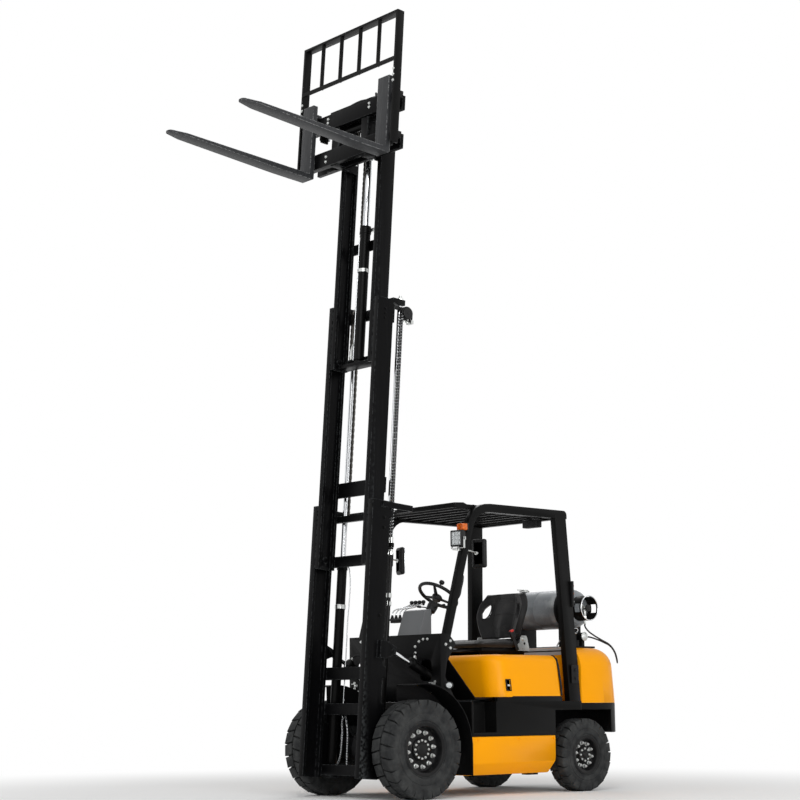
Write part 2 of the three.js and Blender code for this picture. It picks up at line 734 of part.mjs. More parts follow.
// The engine hood: an open-bottomed shell with rounded edges and a narrower front.
function hood() {
  const { front, rear, bottom, top, wall, side } = HOOD;
  const outer = (inset) =>
    prism(
      'yz',
      roundedPolygon([
        [-(BODY_HALF_WIDTH - inset), bottom - (inset ? 20 : 0)],
        [BODY_HALF_WIDTH - inset, bottom - (inset ? 20 : 0)],
        [BODY_HALF_WIDTH - side - inset, top - inset, 46],
        [-(BODY_HALF_WIDTH - side - inset), top - inset, 46],
      ]),
      rear + inset,
      front - inset,
    );
  const plan = (inset) =>
    prism(
      'xy',
      roundedPolygon([
        [rear + inset, -(BODY_HALF_WIDTH - inset), 24],
        [front - inset, -(BODY_HALF_WIDTH - inset), 70],
        [front - inset, BODY_HALF_WIDTH - inset, 70],
        [rear + inset, BODY_HALF_WIDTH - inset, 24],
      ]),
      bottom - 30,
      top + 10,
    );
  return cut(Manifold.intersection([outer(0), plan(0)]), Manifold.intersection([outer(wall), plan(wall)]));
}
add('engine_hood', hood(), YELLOW);

// The seat frame on the hood, the cushion and the winged back.
function seatFrame() {
  const { front, back, halfWidth, base, cushion } = SEAT;
  const pan = block(back - 70, front - 40, -halfWidth + 30, halfWidth - 30, base + 22, cushion - GAP);
  const rails = SIDES.map(
    (side) => onSide(side, block(back - 60, front - 60, 150, 185, HOOD.top + GAP, base + 24))
  );
  const bracket = block(back - 125, back + 5, -160, 160, base + 22, SEAT.cushionTop);
  return join(pan, rails, bracket);
}
add('seat_frame', seatFrame(), BLACK);

function seatCushion() {
  const { front, back, halfWidth, cushion, cushionTop } = SEAT;
  const plan = roundedPolygon([
    [back + 20, -halfWidth + 12, 50],
    [front, -halfWidth, 70],
    [front, halfWidth, 70],
    [back + 20, halfWidth - 12, 50],
  ]);
  return prism('xy', plan, cushion, cushionTop);
}
add('seat_cushion', seatCushion(), VINYL);

function seatBack() {
  const { back, halfWidth, cushionTop, top } = SEAT;
  const front = roundedPolygon([
    [-halfWidth + 20, cushionTop - 6, 40],
    [halfWidth - 20, cushionTop - 6, 40],
    [halfWidth + 5, (cushionTop + top) / 2, 60],
    [halfWidth - 60, top, 70],
    [-halfWidth + 60, top, 70],
    [-halfWidth - 5, (cushionTop + top) / 2, 60],
  ]);
  const slope = [
    [back - 60, cushionTop - 10],
    [back + 12, cushionTop - 10],
    [back - 60, top + 5],
    [back - 130, top + 5],
  ];
  const body = Manifold.intersection([
    prism('yz', front, back - 160, back + 60),
    prism('xz', slope, -halfWidth - 40, halfWidth + 40),
  ]);
  const wings = SIDES.map((side) =>
    onSide(
      side,
      tapered(
        [back - 60, back + 60, halfWidth - 50, halfWidth - 8, cushionTop + 40],
        [back - 110, back - 20, halfWidth - 60, halfWidth - 30, top - 60],
      ),
    ),
  );
  return cut(join(body, wings), block(back - 200, back + 200, -400, 400, 0, cushionTop + GAP));
}
add('seat_back', seatBack(), VINYL);

// ---------------------------------------------------------------- counterweight

const WEIGHT_FRONT = SILL.rear - GAP;

// A slice of the counterweight from low to high, drawn in by inset at the sides and rear,
// and by lean at the rear.
function weightPlan(low, high, inset = 0, lean = 0) {
  const half = BODY_HALF_WIDTH - inset;
  const rear = BODY_REAR + inset + lean;
  const corner = WEIGHT.corner - inset;
  const plan = roundedPolygon([
    [WEIGHT_FRONT, -half],
    [WEIGHT_FRONT, half],
    [rear, half, corner],
    [rear, -half, corner],
  ]);
  return prism('xy', plan, low, high);
}

// The yellow upper casting: its rear face leans, and its top is rounded all round.
function upperWeight() {
  const { split, top, crown, crownSteps, lean } = WEIGHT;
  const slice = 1;
  const shoulders = Array.from({ length: crownSteps + 1 }, (_, step) => {
    const turn = (step / crownSteps) * (Math.PI / 2);
    const high = top - crown * (1 - Math.sin(turn));
    return weightPlan(high - slice, high, crown * (1 - Math.cos(turn)), lean);
  });
  return Manifold.hull([weightPlan(split + GAP, split + GAP + slice), ...shoulders]);
}
add('counterweight_upper', upperWeight(), YELLOW);

function lowerWeight() {
  const { split, bottom, tuck, chamferTop } = WEIGHT;
  const front = WEIGHT_FRONT;
  const tail = prism(
    'xz',
    [
      [front + 5, split + 5],
      [BODY_REAR, split + 5],
      [BODY_REAR, split - chamferTop],
      [BODY_REAR + tuck, bottom],
      [REAR_AXLE - 210, bottom],
      [REAR_AXLE - 170, bottom + 55],
      [front + 5, bottom + 55],
    ],
    -BODY_HALF_WIDTH,
    BODY_HALF_WIDTH,
  );
  const body = Manifold.intersection([weightPlan(0, split), tail]);
  const { depth, half, low, high } = DRAWBAR_POCKET;
  const drawbar = block(BODY_REAR - 20, BODY_REAR + depth, -half, half, low, high);
  return cut(body, wheelHouse(), flip(wheelHouse()), drawbar);
}
add('counterweight_lower', lowerWeight(), BLACK);

// ---------------------------------------------------------------- overhead guard

// One side of the guard: raked front leg, rounded corner, side beam and the rear post that leans in.
function guardSide() {
  const { top, beam, tube, legFootX, legFootZ, legHeadX, legY, bend } = GUARD;
  const { depth, width, footX, headX, lean } = POST;
  const rearX = headX - depth / 2;
  const profile = roundedPolygon([
    [legFootX - tube / 2, legFootZ],
    [legFootX + tube / 2, legFootZ],
    [legHeadX + tube / 2 + 20, top, bend],
    [rearX - 14, top, 40],
    [rearX - 14, top - beam],
    [legHeadX - tube / 2 + 30, top - beam, bend - beam],
  ]);
  const rail = prism('xz', profile, legY - tube / 2, legY + tube / 2);
  const post = tapered(
    [footX - depth / 2, footX + depth / 2, BODY_HALF_WIDTH - width, BODY_HALF_WIDTH, SILL.top + GAP],
    [
      headX - depth / 2, headX + depth / 2, BODY_HALF_WIDTH - lean - width, BODY_HALF_WIDTH - lean,
      top - beam / 2,
    ],
  );
  return join(rail, post);
}
for (const side of SIDES) add(`guard_side_${side}`, onSide(side, guardSide()), BLACK);

// The roof between the sides: front visor plate, rear beam and the slats across.
function guardRoof() {
  const { top, beam, tube, legY, front } = GUARD;
  const inside = legY - tube / 2 - GAP;
  const rearX = POST.headX - POST.depth / 2;
  const runners = SIDES.map(
    (side) => onSide(side, block(rearX, front - 30, inside - 14, inside, top - 48, top - 12))
  );
  const slatCount = 9;
  const pitch = (front - 70 - (rearX + 60)) / (slatCount - 1);
  const slats = Array.from({ length: slatCount }, (_, i) => {
    const x = rearX + 60 + i * pitch;
    return block(x - 7, x + 7, -inside, inside, top - 50, top - 10);
  });
  const visor = prism(
    'xz',
    [
      [front, top - 42], [front, top - 6], [front - 90, top], [front - 90, top - 14], [front - 14, top - 20],
      [front - 14, top - 42],
    ],
    -inside,
    inside,
  );
  const cheeks = SIDES.map((side) =>
    onSide(
      side,
      prism(
        'xz',
        [
          [front, top - 42], [front, top - 6], [front - 90, top], [front - 130, top - 14],
          [front - 130, top - 48],
        ],
        inside - 14,
        inside,
      ),
    ),
  );
  const rearBeam = block(rearX, rearX + 40, -inside, inside, top - beam, top - 6);
  return join(runners, slats, visor, cheeks, rearBeam);
}
add('guard_roof', guardRoof(), BLACK);

// ---------------------------------------------------------------- gas bottle

const HOSE_RADIUS = 6;
const HOSE_ROUTE = [
  [-1806, 411, 1243],
  [-1806, 411, 1226],
  [-1826, 424, 1190],
  [-1866, 446, 1156],
  [-1918, 478, 1120],
  [-1958, 520, 1084],
  [-1988, 545, 1030],
  [-2010, 545, 980],
  [-2038, 524, 950],
  [-2064, 500, 956],
  [-2084, 474, 990],
  [-2090, 450, 1034],
  [-2066, 430, 1078],
  [-2024, 408, 1104],
  [-1964, 388, 1128],
  [-1900, 377, 1144],
  [-1852, 375, 1148],
  [-1836.3, 375, 1148],
];

// The hose from the bottle's valve to the regulator: one fixed length that hangs in a loop.
function gasHose() {
  const route = new THREE.CatmullRomCurve3(HOSE_ROUTE.map((point) => new THREE.Vector3(...point)));
  const ring = new THREE.Shape(
    new THREE.EllipseCurve(0, 0, HOSE_RADIUS, HOSE_RADIUS).getPoints(8).slice(0, 8)
  );
  return solid(new THREE.ExtrudeGeometry(ring, { steps: 34, extrudePath: route }));
}
add('gas_hose', gasHose(), HOSE);

function bottle() {
  const { x, z, radius, nearEnd, farEnd, collar, collarLength } = BOTTLE;
  const dome = 62;
  const shell = turned(
    [
      [0, farEnd],
      [radius * 0.55, farEnd + 8],
      [radius * 0.86, farEnd + 30],
      [radius, farEnd + dome],
      [radius, nearEnd - dome],
      [radius * 0.86, nearEnd - 30],
      [radius * 0.55, nearEnd - 8],
      [0, nearEnd],
    ],
    x,
    z,
  );
  const ring = turned(
    [
      [collar - 5, nearEnd - 28],
      [collar, nearEnd - 28],
      [collar, nearEnd + collarLength],
      [collar - 5, nearEnd + collarLength],
    ],
    x,
    z,
  );
  const valveWindow = block(x - 34, x + 34, nearEnd + 4, nearEnd + 64, z - collar - 5, z - 50);
  const valve = bar([x, nearEnd - 10, z], [x, nearEnd + 52, z], 20, 24);
  const outlet = bar([x, nearEnd + 36, z], [x, nearEnd + 36, HOSE_ROUTE[0][2] + GAP], 11, 16);
  return join(shell, cut(ring, valveWindow), valve, outlet);
}
add('gas_bottle', bottle(), STEEL);

// The cradle: a base plate, two saddles and two straps around the bottle, and the gas regulator on its post.
const REGULATOR = { portX: BOTTLE.x - 30.3, y: BOTTLE.nearEnd, z: BOTTLE.z - 214 };

function cradle() {
  const { x, z, radius } = BOTTLE;
  const base = block(x - 130, x + 130, -300, 390, WEIGHT.top + GAP, WEIGHT.top + 14);
  const saddles = [-230, 250].map((y) => {
    const post = block(x - 110, x + 110, y - 14, y + 14, WEIGHT.top + 10, z - 60);
    const strap = turned(
      [[radius + GAP, y - 20], [radius + 5, y - 20], [radius + 5, y + 20], [radius + GAP, y + 20]],
      x,
      z,
      WHEEL_STEPS,
    );
    return join(post, strap);
  });
  const { portX, y: portY, z: portZ } = REGULATOR;
  const regulator = join(
    block(portX + GAP, portX + 62, portY - 26, portY + 26, portZ - 28, portZ + 28),
    block(portX + 16, portX + 46, portY - 14, portY + 14, WEIGHT.top + GAP, portZ - 20),
  );
  const clearBottle = bar([x, -500, z], [x, 500, z], radius + GAP, WHEEL_STEPS);
  return join(cut(join(base, saddles), clearBottle), regulator);
}
add('bottle_cradle', cradle(), BLACK);

// ---------------------------------------------------------------- mast

// A mast rail: a channel that opens inwards, its web on the outer side.
function rail({ half, flangeWidth, web, back }, bottom, length) {
  const { front, flange } = RAIL;
  const inner = half - flangeWidth;
  const section = [
    [back, inner],
    [back + flange, inner],
    [back + flange, half - web],
    [front - flange, half - web],
    [front - flange, inner],
    [front, inner],
    [front, half],
    [back, half],
  ];
  return prism('xy', section, bottom, bottom + length);
}

// A guide roller on a stub that reaches out from a stage's web into the channel outside it.
function guideRoller(stage, outside, z) {
  const radius = (RAIL.front - outside.back) / 2 - RAIL.flange - GAP;
  const x = (RAIL.front + outside.back) / 2;
  const far = outside.half - outside.web - RUN;
  return join(
    bar([x, far - ROLLER_WIDTH, z], [x, far, z], radius, 32),
    bar([x, stage.half - stage.web - 4, z], [x, far - 2, z], 22, 20),
  );
}

const crossPlate = (x0, x1, half, z0, z1) => block(x0, x1, -half, half, z0, z1);

const OUTER_TOP = RAIL.bottom + OUTER.length;
const MIDDLE_BOTTOM = RAIL.bottom + MIDDLE.lift;
const MIDDLE_TOP = MIDDLE_BOTTOM + RAIL.length;
const INNER_BOTTOM = RAIL.bottom + INNER.lift;
const INNER_TOP = INNER_BOTTOM + RAIL.length;

// The fixed outer stage, with its cross plates, pivot lugs, cylinder seats and tilt brackets.
function outerMast() {
  const rails = SIDES.map((side) => onSide(side, rail(OUTER, RAIL.bottom, OUTER.length)));
  const plateBack = MIDDLE.back - 13 - RUN - 26;
  const plateFront = OUTER.back + 2;
  const spans = [[139, 213], [560, 640], [806, 895], [1942, 1990]];
  const plates = spans.map(([low, high]) => {
    const across = crossPlate(plateBack, MIDDLE.back - 13 - RUN, OUTER.half, low, high);
    const cheeks = SIDES.map(
      (side) => onSide(
        side,
        block(plateBack, plateFront, OUTER.half - OUTER.flangeWidth, OUTER.half, low, high),
      )
    );
    return join(across, cheeks);
  });
  const lugs = SIDES.map((side) => {
    const ring = bar([0, LUG.y0, MAST_PIVOT_Z], [0, LUG.y1, MAST_PIVOT_Z], LUG.outer, 24);
    const arm = prism(
      'xz',
      [
        [0, MAST_PIVOT_Z - LUG.outer],
        [OUTER.back + 4, 190],
        [OUTER.back + 4, 520],
        [0, MAST_PIVOT_Z + LUG.outer],
      ],
      LUG.y0,
      LUG.y1,
    );
    const bore = bar([0, LUG.y0 - 5, MAST_PIVOT_Z], [0, LUG.y1 + 5, MAST_PIVOT_Z], LUG.inner, 24);
    return onSide(side, cut(join(ring, arm), bore));
  });
  const { x, y, radius, foot } = LIFT_CYLINDER;
  const seats = SIDES.map(
    (side) => onSide(side, block(x - radius, plateBack + 2, y - radius, y + radius, foot - 26, foot - GAP))
  );
  const { pinX, pinZ } = TILT_CYLINDER;
  const brackets = SIDES.map((side) => {
    const ear = (y0, y1) =>
      prism(
        'xz',
        [
          [pinX - 30, pinZ - 24],
          [OUTER.back + 3, pinZ - 60],
          [OUTER.back + 3, pinZ + 60],
          [pinX - 30, pinZ + 24],
        ],
        y0,
        y1,
      );
    const { y } = TILT_CYLINDER;
    const pin = bar([pinX, y - 31, pinZ], [pinX, y + 31, pinZ], 10, 20);
    const cheek = block(OUTER.back - 2, OUTER.back + 60, OUTER.half - 2, y + 29, pinZ - 60, pinZ + 60);
    return onSide(side, join(ear(y - 29, y - 17), ear(y + 17, y + 29), cheek, pin));
  });
  const yokes = SIDES.map((side) => onSide(side, topYoke()));
  return join(rails, plates, lugs, seats, brackets, yokes);
}

// The guard bar that reaches back from a rail's top, round its lift cylinder.
function topYoke() {
  const z0 = OUTER_TOP - 48;
  const z1 = OUTER_TOP - 6;
  const side = block(20, 300, OUTER.half - 1, OUTER.half + 14, z0, z1);
  return join(side, block(20, 34, OUTER.half - 145, OUTER.half + 14, z0, z1));
}
addToMast('mast_outer', outerMast(), MAST_BLACK);

// The middle stage: its cross plates lie between its rails' backs and the outer stage's plates.
function middleMast() {
  const rails = SIDES.map((side) => onSide(side, rail(MIDDLE, MIDDLE_BOTTOM, RAIL.length)));
  const spans = [[20, 100], [530, 640], [RAIL.length - 110, RAIL.length - 30]];
  const plates = spans.map(([low, high]) =>
    crossPlate(MIDDLE.back - 13, MIDDLE.back + 1, MIDDLE.half, MIDDLE_BOTTOM + low, MIDDLE_BOTTOM + high),
  );
  const rollers = SIDES.map((side) => onSide(side, guideRoller(MIDDLE, OUTER, MIDDLE_BOTTOM + 70)));
  const { x, y } = LIFT_CYLINDER;
  const heads = SIDES.map((side) =>
    onSide(side, block(x - 26, MIDDLE.back + 4, y - 28, MIDDLE.half, MIDDLE_TOP - 22, MIDDLE_TOP + 18)),
  );
  return join(rails, plates, rollers, heads);
}
addToMast('mast_middle', middleMast(), MAST_BLACK);

// The inner face of the carriage's roller plates, which pass outside the inner stage's foot.
const CARRIAGE_PLATE = 14;
const CARRIAGE_PLATE_Y = INNER.half - INNER.flangeWidth - RUN - CARRIAGE_PLATE;

// The inner stage: its cross plates lie between its own rails; the lowest carries the free-lift cylinder.
function innerMast() {
  const rails = SIDES.map((side) => onSide(side, rail(INNER, INNER_BOTTOM, RAIL.length)));
  const web = INNER.half - INNER.web + 1;
  const foot = crossPlate(INNER.back + 2, 352, CARRIAGE_PLATE_Y - GAP, INNER_BOTTOM + 4, INNER_BOTTOM + 30);
  const footWall = crossPlate(INNER.back, INNER.back + 12, web, INNER_BOTTOM + 4, INNER_BOTTOM + 90);
  const middle = crossPlate(INNER.back, INNER.back + 12, web, INNER_BOTTOM + 900, INNER_BOTTOM + 980);
  const head = crossPlate(INNER.back, INNER.back + 12, web, INNER_TOP - 70, INNER_TOP - 4);
  const rollers = SIDES.map((side) => onSide(side, guideRoller(INNER, MIDDLE, INNER_BOTTOM + 70)));
  return join(rails, foot, footWall, middle, head, rollers);
}
addToMast('mast_inner', innerMast(), MAST_BLACK);

// Lift cylinders: barrels on the outer stage, chromed rods under the middle stage's head blocks.
const ROD_IN_BARREL = 40;
for (const side of SIDES) {
  const { x, y, radius, rod, foot, head } = LIFT_CYLINDER;
  const barrel = join(
    bar([x, y, foot], [x, y, head], radius, 32),
    bar([x, y, head - 90], [x, y, head], radius + 5, 32),
  );
  const bore = bar([x, y, foot + 30], [x, y, head + 10], rod + 0.6, 24);
  addToMast(`lift_cylinder_${side}`, onSide(side, cut(barrel, bore)), MAST_BLACK);
  const rodBody = bar([x, y, head - ROD_IN_BARREL], [x, y, MIDDLE_TOP - 22 - GAP], rod, 24);
  addToMast(`lift_rod_${side}`, onSide(side, rodBody), CHROME);
}

const FREE_HEAD = INNER_BOTTOM + FREE_LIFT.head;
const SHEAVE = { radius: 46, width: 26, y: 92, z: FREE_HEAD + FREE_LIFT.stroke + 70 };

function freeLiftBarrel() {
  const { x, radius, rod } = FREE_LIFT;
  const base = INNER_BOTTOM + 30 + GAP;
  const barrel = join(
    bar([x, 0, base], [x, 0, FREE_HEAD], radius, 32),
    bar([x, 0, FREE_HEAD - 60], [x, 0, FREE_HEAD], radius + 5, 32),
  );
  return cut(barrel, bar([x, 0, base + 30], [x, 0, FREE_HEAD + 10], rod + 0.6, 32));
}
addToMast('free_lift_cylinder', freeLiftBarrel(), MAST_BLACK);

// The free-lift rod, whose head carries two chain wheels on one axle.
function freeLiftRod() {
  const { x, rod } = FREE_LIFT;
  const { radius, width, y, z } = SHEAVE;
  const shaft = bar([x, 0, FREE_HEAD - ROD_IN_BARREL], [x, 0, z], rod, 24);
  const yoke = block(x - 34, x + 34, -58, 58, z - 30, z + 30);
  const axle = bar([x + 8, -y - width / 2 - 8, z], [x + 8, y + width / 2 + 8, z], 14);
  const wheels = SIDES.map(
    (side) => onSide(side, bar([x + 8, y - width / 2, z], [x + 8, y + width / 2, z], radius, 28))
  );
  return join(shaft, yoke, axle, wheels);
}
addToMast('free_lift_rod', freeLiftRod(), CHROME);

// ---------------------------------------------------------------- carriage and forks

const FORK_TOP = FORK.lowTop + CARRIAGE_RISE;
const HEEL = FORK_TOP - FORK.thickness;
const BAR = { low: HEEL + 76, high: HEEL + 76 + 407, height: 110, half: 480 };
const PLATE_X = RAIL.front + RUN;

// The carriage: roller plates that run in the inner rails, and the two bars across their fronts.
function carriage() {
  const rollerZ = [HEEL + 110, HEEL + 470];
  const plates = SIDES.map((side) => {
    const x = (RAIL.front + INNER.back) / 2;
    const plate = block(
      x - 40, PLATE_X + 12, CARRIAGE_PLATE_Y, CARRIAGE_PLATE_Y + CARRIAGE_PLATE, HEEL + 60, BAR.high - 4,
    );
    const radius = (RAIL.front - INNER.back) / 2 - RAIL.flange - GAP;
    const far = INNER.half - INNER.web - RUN;
    const rollers = rollerZ.map((z) =>
      join(
        bar([x, far - ROLLER_WIDTH, z], [x, far, z], radius),
        bar([x, CARRIAGE_PLATE_Y + 4, z], [x, far - 2, z], 16, 12),
      ),
    );
    return onSide(side, join(plate, rollers));
  });
  const bars = [BAR.low, BAR.high - BAR.height].map(
    (z) => block(PLATE_X, PLATE_X + 30, -BAR.half, BAR.half, z, z + BAR.height)
  );
  return join(plates, bars);
}
addToMast('carriage', carriage(), MAST_BLACK);

const SHIFT_X = PLATE_X + 30 + RUN;
const SHIFT_FRONT = FORK.faceX - GAP;

// The side-shift frame: hooked over the carriage bars, with the fork bars and end plates.
function sideShifter() {
  const z0 = BAR.low - 6;
  const z1 = BAR.high + 24;
  const bars = [[BAR.low, BAR.low + 120], [BAR.high - 120, BAR.high]].map(([low, high]) =>
    block(SHIFT_FRONT - 46, SHIFT_FRONT, -BAR.half, BAR.half, low, high),
  );
  const posts = [-170, 170].map((y) => block(SHIFT_X, SHIFT_FRONT - 20, y - 35, y + 35, z0, z1));
  const hook = block(PLATE_X + 4, SHIFT_FRONT - 20, -240, 240, BAR.high + GAP, z1);
  return join(bars, posts, hook);
}
addToMast('side_shifter', sideShifter(), MAST_BLACK);

// The load backrest: flats round a frame with upright slats, bolted to the shifter's end.
function backrest() {
  const { half, top, lowBar, x, depth, sheet, slats } = BACKREST;
  const crest = FORK_TOP + top;
  const base = HEEL + 70;
  const frame = prism(
    'yz',
    [
      [-half, base],
      [-half + sheet, base],
      [-half + sheet, crest - sheet],
      [half - sheet, crest - sheet],
      [half - sheet, base],
      [half, base],
      [half, crest],
      [-half, crest],
    ],
    x,
    x + depth,
  );
  const low = block(
    x + depth - 14, x + depth, -half + 2, half - 2, FORK_TOP + lowBar - 30, FORK_TOP + lowBar,
  );
  const uprights = Array.from({ length: slats }, (_, i) => {
    const y = -half + ((i + 1) * 2 * half) / (slats + 1);
    return block(x + depth - 34, x + depth - 4, y - 6, y + 6, FORK_TOP + lowBar - 20, crest - 4);
  });
  const ties = SIDES.flatMap((side) =>
    [HEEL + 120, HEEL + 430].map(
      (z) => onSide(side, block(x - 30, x + 14, BAR.half + GAP, half - 2, z, z + 46))
    ),
  );
  return join(frame, low, uprights, ties);
}
addToMast('load_backrest', backrest(), MAST_BLACK);

// A fork: shank with its two hooks, heel and a blade that thins towards a rounded tip.
function fork() {
  const { thickness, width, blade, shank, faceX, y } = FORK;
  const tipX = faceX + thickness + blade;
  const side = roundedPolygon([
    [faceX, HEEL, 14],
    [faceX + 300, HEEL],
    [tipX, FORK_TOP - 14],
    [tipX, FORK_TOP],
    [faceX + thickness, FORK_TOP, 12],
    [faceX + thickness, HEEL + shank],
    [faceX, HEEL + shank],
  ]);
  const plan = roundedPolygon([
    [faceX - 60, y - width / 2],
    [tipX - 130, y - width / 2],
    [tipX, y - width / 4, 30],
    [tipX, y + width / 4, 30],
    [tipX - 130, y + width / 2],
    [faceX - 60, y + width / 2],
  ]);
  return Manifold.intersection([
    prism('xz', side, y - width, y + width),
    prism('xy', plan, HEEL - 10, HEEL + shank + 10),
  ]);
}
for (const side of SIDES) addToMast(`fork_${side}`, onSide(side, fork()), MAST_BLACK);

// ---------------------------------------------------------------- place the truck on its origin

truck.updateMatrixWorld(true);
const middle = new THREE.Box3().setFromObject(truck, true).getCenter(new THREE.Vector3());
truck.position.x = -middle.x;

export default truck;
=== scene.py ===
"""The looks of a gas-engined forklift truck with a raised three-stage mast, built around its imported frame."""

from __future__ import annotations

import json
import logging
import math
from contextlib import contextmanager
from dataclasses import dataclass, field
from enum import Enum
from typing import Callable, Iterator, Sequence

import bmesh
import bpy
from mathutils import Matrix, Vector

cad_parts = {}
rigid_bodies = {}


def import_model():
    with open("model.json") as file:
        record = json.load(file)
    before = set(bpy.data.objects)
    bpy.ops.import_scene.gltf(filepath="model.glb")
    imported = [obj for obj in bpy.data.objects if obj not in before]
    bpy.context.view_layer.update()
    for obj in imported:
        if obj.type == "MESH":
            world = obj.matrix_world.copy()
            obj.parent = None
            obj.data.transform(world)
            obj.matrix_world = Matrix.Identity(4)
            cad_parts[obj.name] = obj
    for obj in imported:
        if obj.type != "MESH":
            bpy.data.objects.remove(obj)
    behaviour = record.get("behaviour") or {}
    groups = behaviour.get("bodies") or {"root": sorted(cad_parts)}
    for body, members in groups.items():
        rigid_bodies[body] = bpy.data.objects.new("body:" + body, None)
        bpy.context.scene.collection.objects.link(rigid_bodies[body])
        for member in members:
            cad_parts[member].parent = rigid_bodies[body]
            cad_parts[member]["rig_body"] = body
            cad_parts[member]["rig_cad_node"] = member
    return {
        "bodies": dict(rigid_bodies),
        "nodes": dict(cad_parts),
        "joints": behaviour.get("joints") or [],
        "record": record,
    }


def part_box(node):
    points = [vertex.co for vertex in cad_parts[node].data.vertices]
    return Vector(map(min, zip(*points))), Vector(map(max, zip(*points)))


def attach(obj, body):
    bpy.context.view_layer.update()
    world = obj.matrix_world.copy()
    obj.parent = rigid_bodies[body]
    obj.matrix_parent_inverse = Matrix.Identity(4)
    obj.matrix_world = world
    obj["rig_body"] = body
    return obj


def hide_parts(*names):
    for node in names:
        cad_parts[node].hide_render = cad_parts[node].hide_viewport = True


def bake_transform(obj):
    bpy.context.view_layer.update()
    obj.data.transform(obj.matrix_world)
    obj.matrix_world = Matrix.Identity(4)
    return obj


log = logging.getLogger("forklift")

Point = tuple[float, float, float]
Pair = tuple[float, float]
Piece = bpy.types.Object

SIDES: dict[str, float] = {"left": 1.0, "right": -1.0}
SMOOTH_ANGLE = math.radians(35)
MM = 0.001
# How strongly a bump shows, the same on every finish.
RELIEF = 0.6
# A wave pattern's scale counts turns of a whole circle.
WAVE = 6.28


class Axis(Enum):
    """The line that a turned piece turns about."""

    X = (0.0, math.radians(90), 0.0)
    Y = (math.radians(-90), 0.0, 0.0)
    Z = (0.0, 0.0, 0.0)


# ---------------------------------------------------------------- materials


def linear(colour: str) -> tuple[float, float, float, float]:
    """The linear colour of an sRGB hex value such as ffa500.

    Args:
        colour: Six hex digits.

    Returns:
        Red, green and blue as shares of full light, and an alpha of 1.
    """
    parts = [int(colour[i : i + 2], 16) / 255 for i in (0, 2, 4)]
    red, green, blue = (c / 12.92 if c <= 0.04045 else ((c + 0.055) / 1.055) ** 2.4 for c in parts)
    return red, green, blue, 1.0


def per(millimetres: float) -> float:
    """The pattern scale whose features are this size on Object coordinates, which are metres."""
    return 1000 / millimetres


def add_node(
    tree: bpy.types.NodeTree,
    kind: str,
    inputs: dict | None = None,
    **settings: object,
) -> bpy.types.Node:
    """Adds a node, sets its properties, and fills its inputs.

    Args:
        tree: The node tree.
        kind: The node's type, without its ShaderNode prefix.
        inputs: A value, or a socket to link, for each input's name or number.
        settings: The node's own properties.

    Returns:
        The node.
    """
    made = tree.nodes.new("ShaderNode" + kind)
    for key, value in settings.items():
        setattr(made, key, value)
    fill(tree, made, inputs or {})
    return made


def fill(tree: bpy.types.NodeTree, node: bpy.types.Node, inputs: dict) -> None:
    """Fills a node's inputs.

    Args:
        tree: The node tree.
        node: The node.
        inputs: A value, or a socket to link, for each input's name or number.
    """
    for key, value in inputs.items():
        if isinstance(value, bpy.types.NodeSocket):
            tree.links.new(value, node.inputs[key])
        else:
            node.inputs[key].default_value = value


@dataclass(frozen=True)
class Finish:
    """A surface as it is made, with its colour in sRGB hex and what light does on it."""

    name: str
    colour: str
    roughness: float
    metallic: float = 0.0
    ior: float = 1.5
    shine: float = 0.5

    def material(self) -> bpy.types.Material:
        """The finish's material, built the first time that it is asked for.

        Returns:
            The material.
        """
        found = bpy.data.materials.get(self.name)
        if found:
            return found
        material = bpy.data.materials.new(self.name)
        material.use_nodes = True
        tree = material.node_tree
        tree.nodes.clear()
        plain = {
            "Base Color": linear(self.colour),
            "Roughness": self.roughness,
            "Metallic": self.metallic,
            "IOR": self.ior,
            "Specular IOR Level": self.shine,
        }
        shader = add_node(tree, "BsdfPrincipled", plain)
        add_node(tree, "OutputMaterial", {"Surface": shader.outputs[0]})
        place = add_node(tree, "TexCoord").outputs["Object"]
        fill(tree, shader, self.detail(tree, place))
        return material

    def detail(self, tree: bpy.types.NodeTree, place: bpy.types.NodeSocket) -> dict:
        """Adds the finish's own patterns.

        Args:
            tree: The material's node tree.
            place: Object coordinates, in metres.

        Returns:
            What the shader's inputs get.
        """
        return {}


@dataclass(frozen=True)
class EnamelPaint(Finish):
    """Sprayed and baked enamel: a clear skin over the colour, with a faint orange peel and a little dust."""

    dust: str = "8a8172"
    dusty: float = 0.16
    peel_mm: float = 4.0
    coat: float = 0.35

    def detail(self, tree: bpy.types.NodeTree, place: bpy.types.NodeSocket) -> dict:
        """Adds cloudy dust, a broken shine and the orange peel.

        Args:
            tree: The material's node tree.
            place: Object coordinates, in metres.

        Returns:
            What the shader's inputs get.
        """
        cloud = add_node(tree, "TexNoise", {"Vector": place, "Scale": per(170), "Detail": 4}).outputs["Fac"]
        lying = {"Value": cloud, "From Min": 0.45, "From Max": 0.8, "To Max": self.dusty}
        share = add_node(tree, "MapRange", lying).outputs[0]
        colours = {0: share, 6: linear(self.colour), 7: linear(self.dust)}
        spread = {"Value": cloud, "To Min": self.roughness - 0.05, "To Max": self.roughness + 0.09}
        peel = add_node(tree, "TexNoise", {"Vector": place, "Scale": per(self.peel_mm), "Detail": 1})
        skin = {"Height": peel.outputs["Fac"], "Distance": 0.12 * MM, "Strength": RELIEF}
        return {
            "Coat Weight": self.coat,
            "Coat Roughness": 0.12,
            "Base Color": add_node(tree, "Mix", colours, data_type="RGBA").outputs[2],
            "Roughness": add_node(tree, "MapRange", spread).outputs[0],
            "Normal": add_node(tree, "Bump", skin).outputs[0],
        }


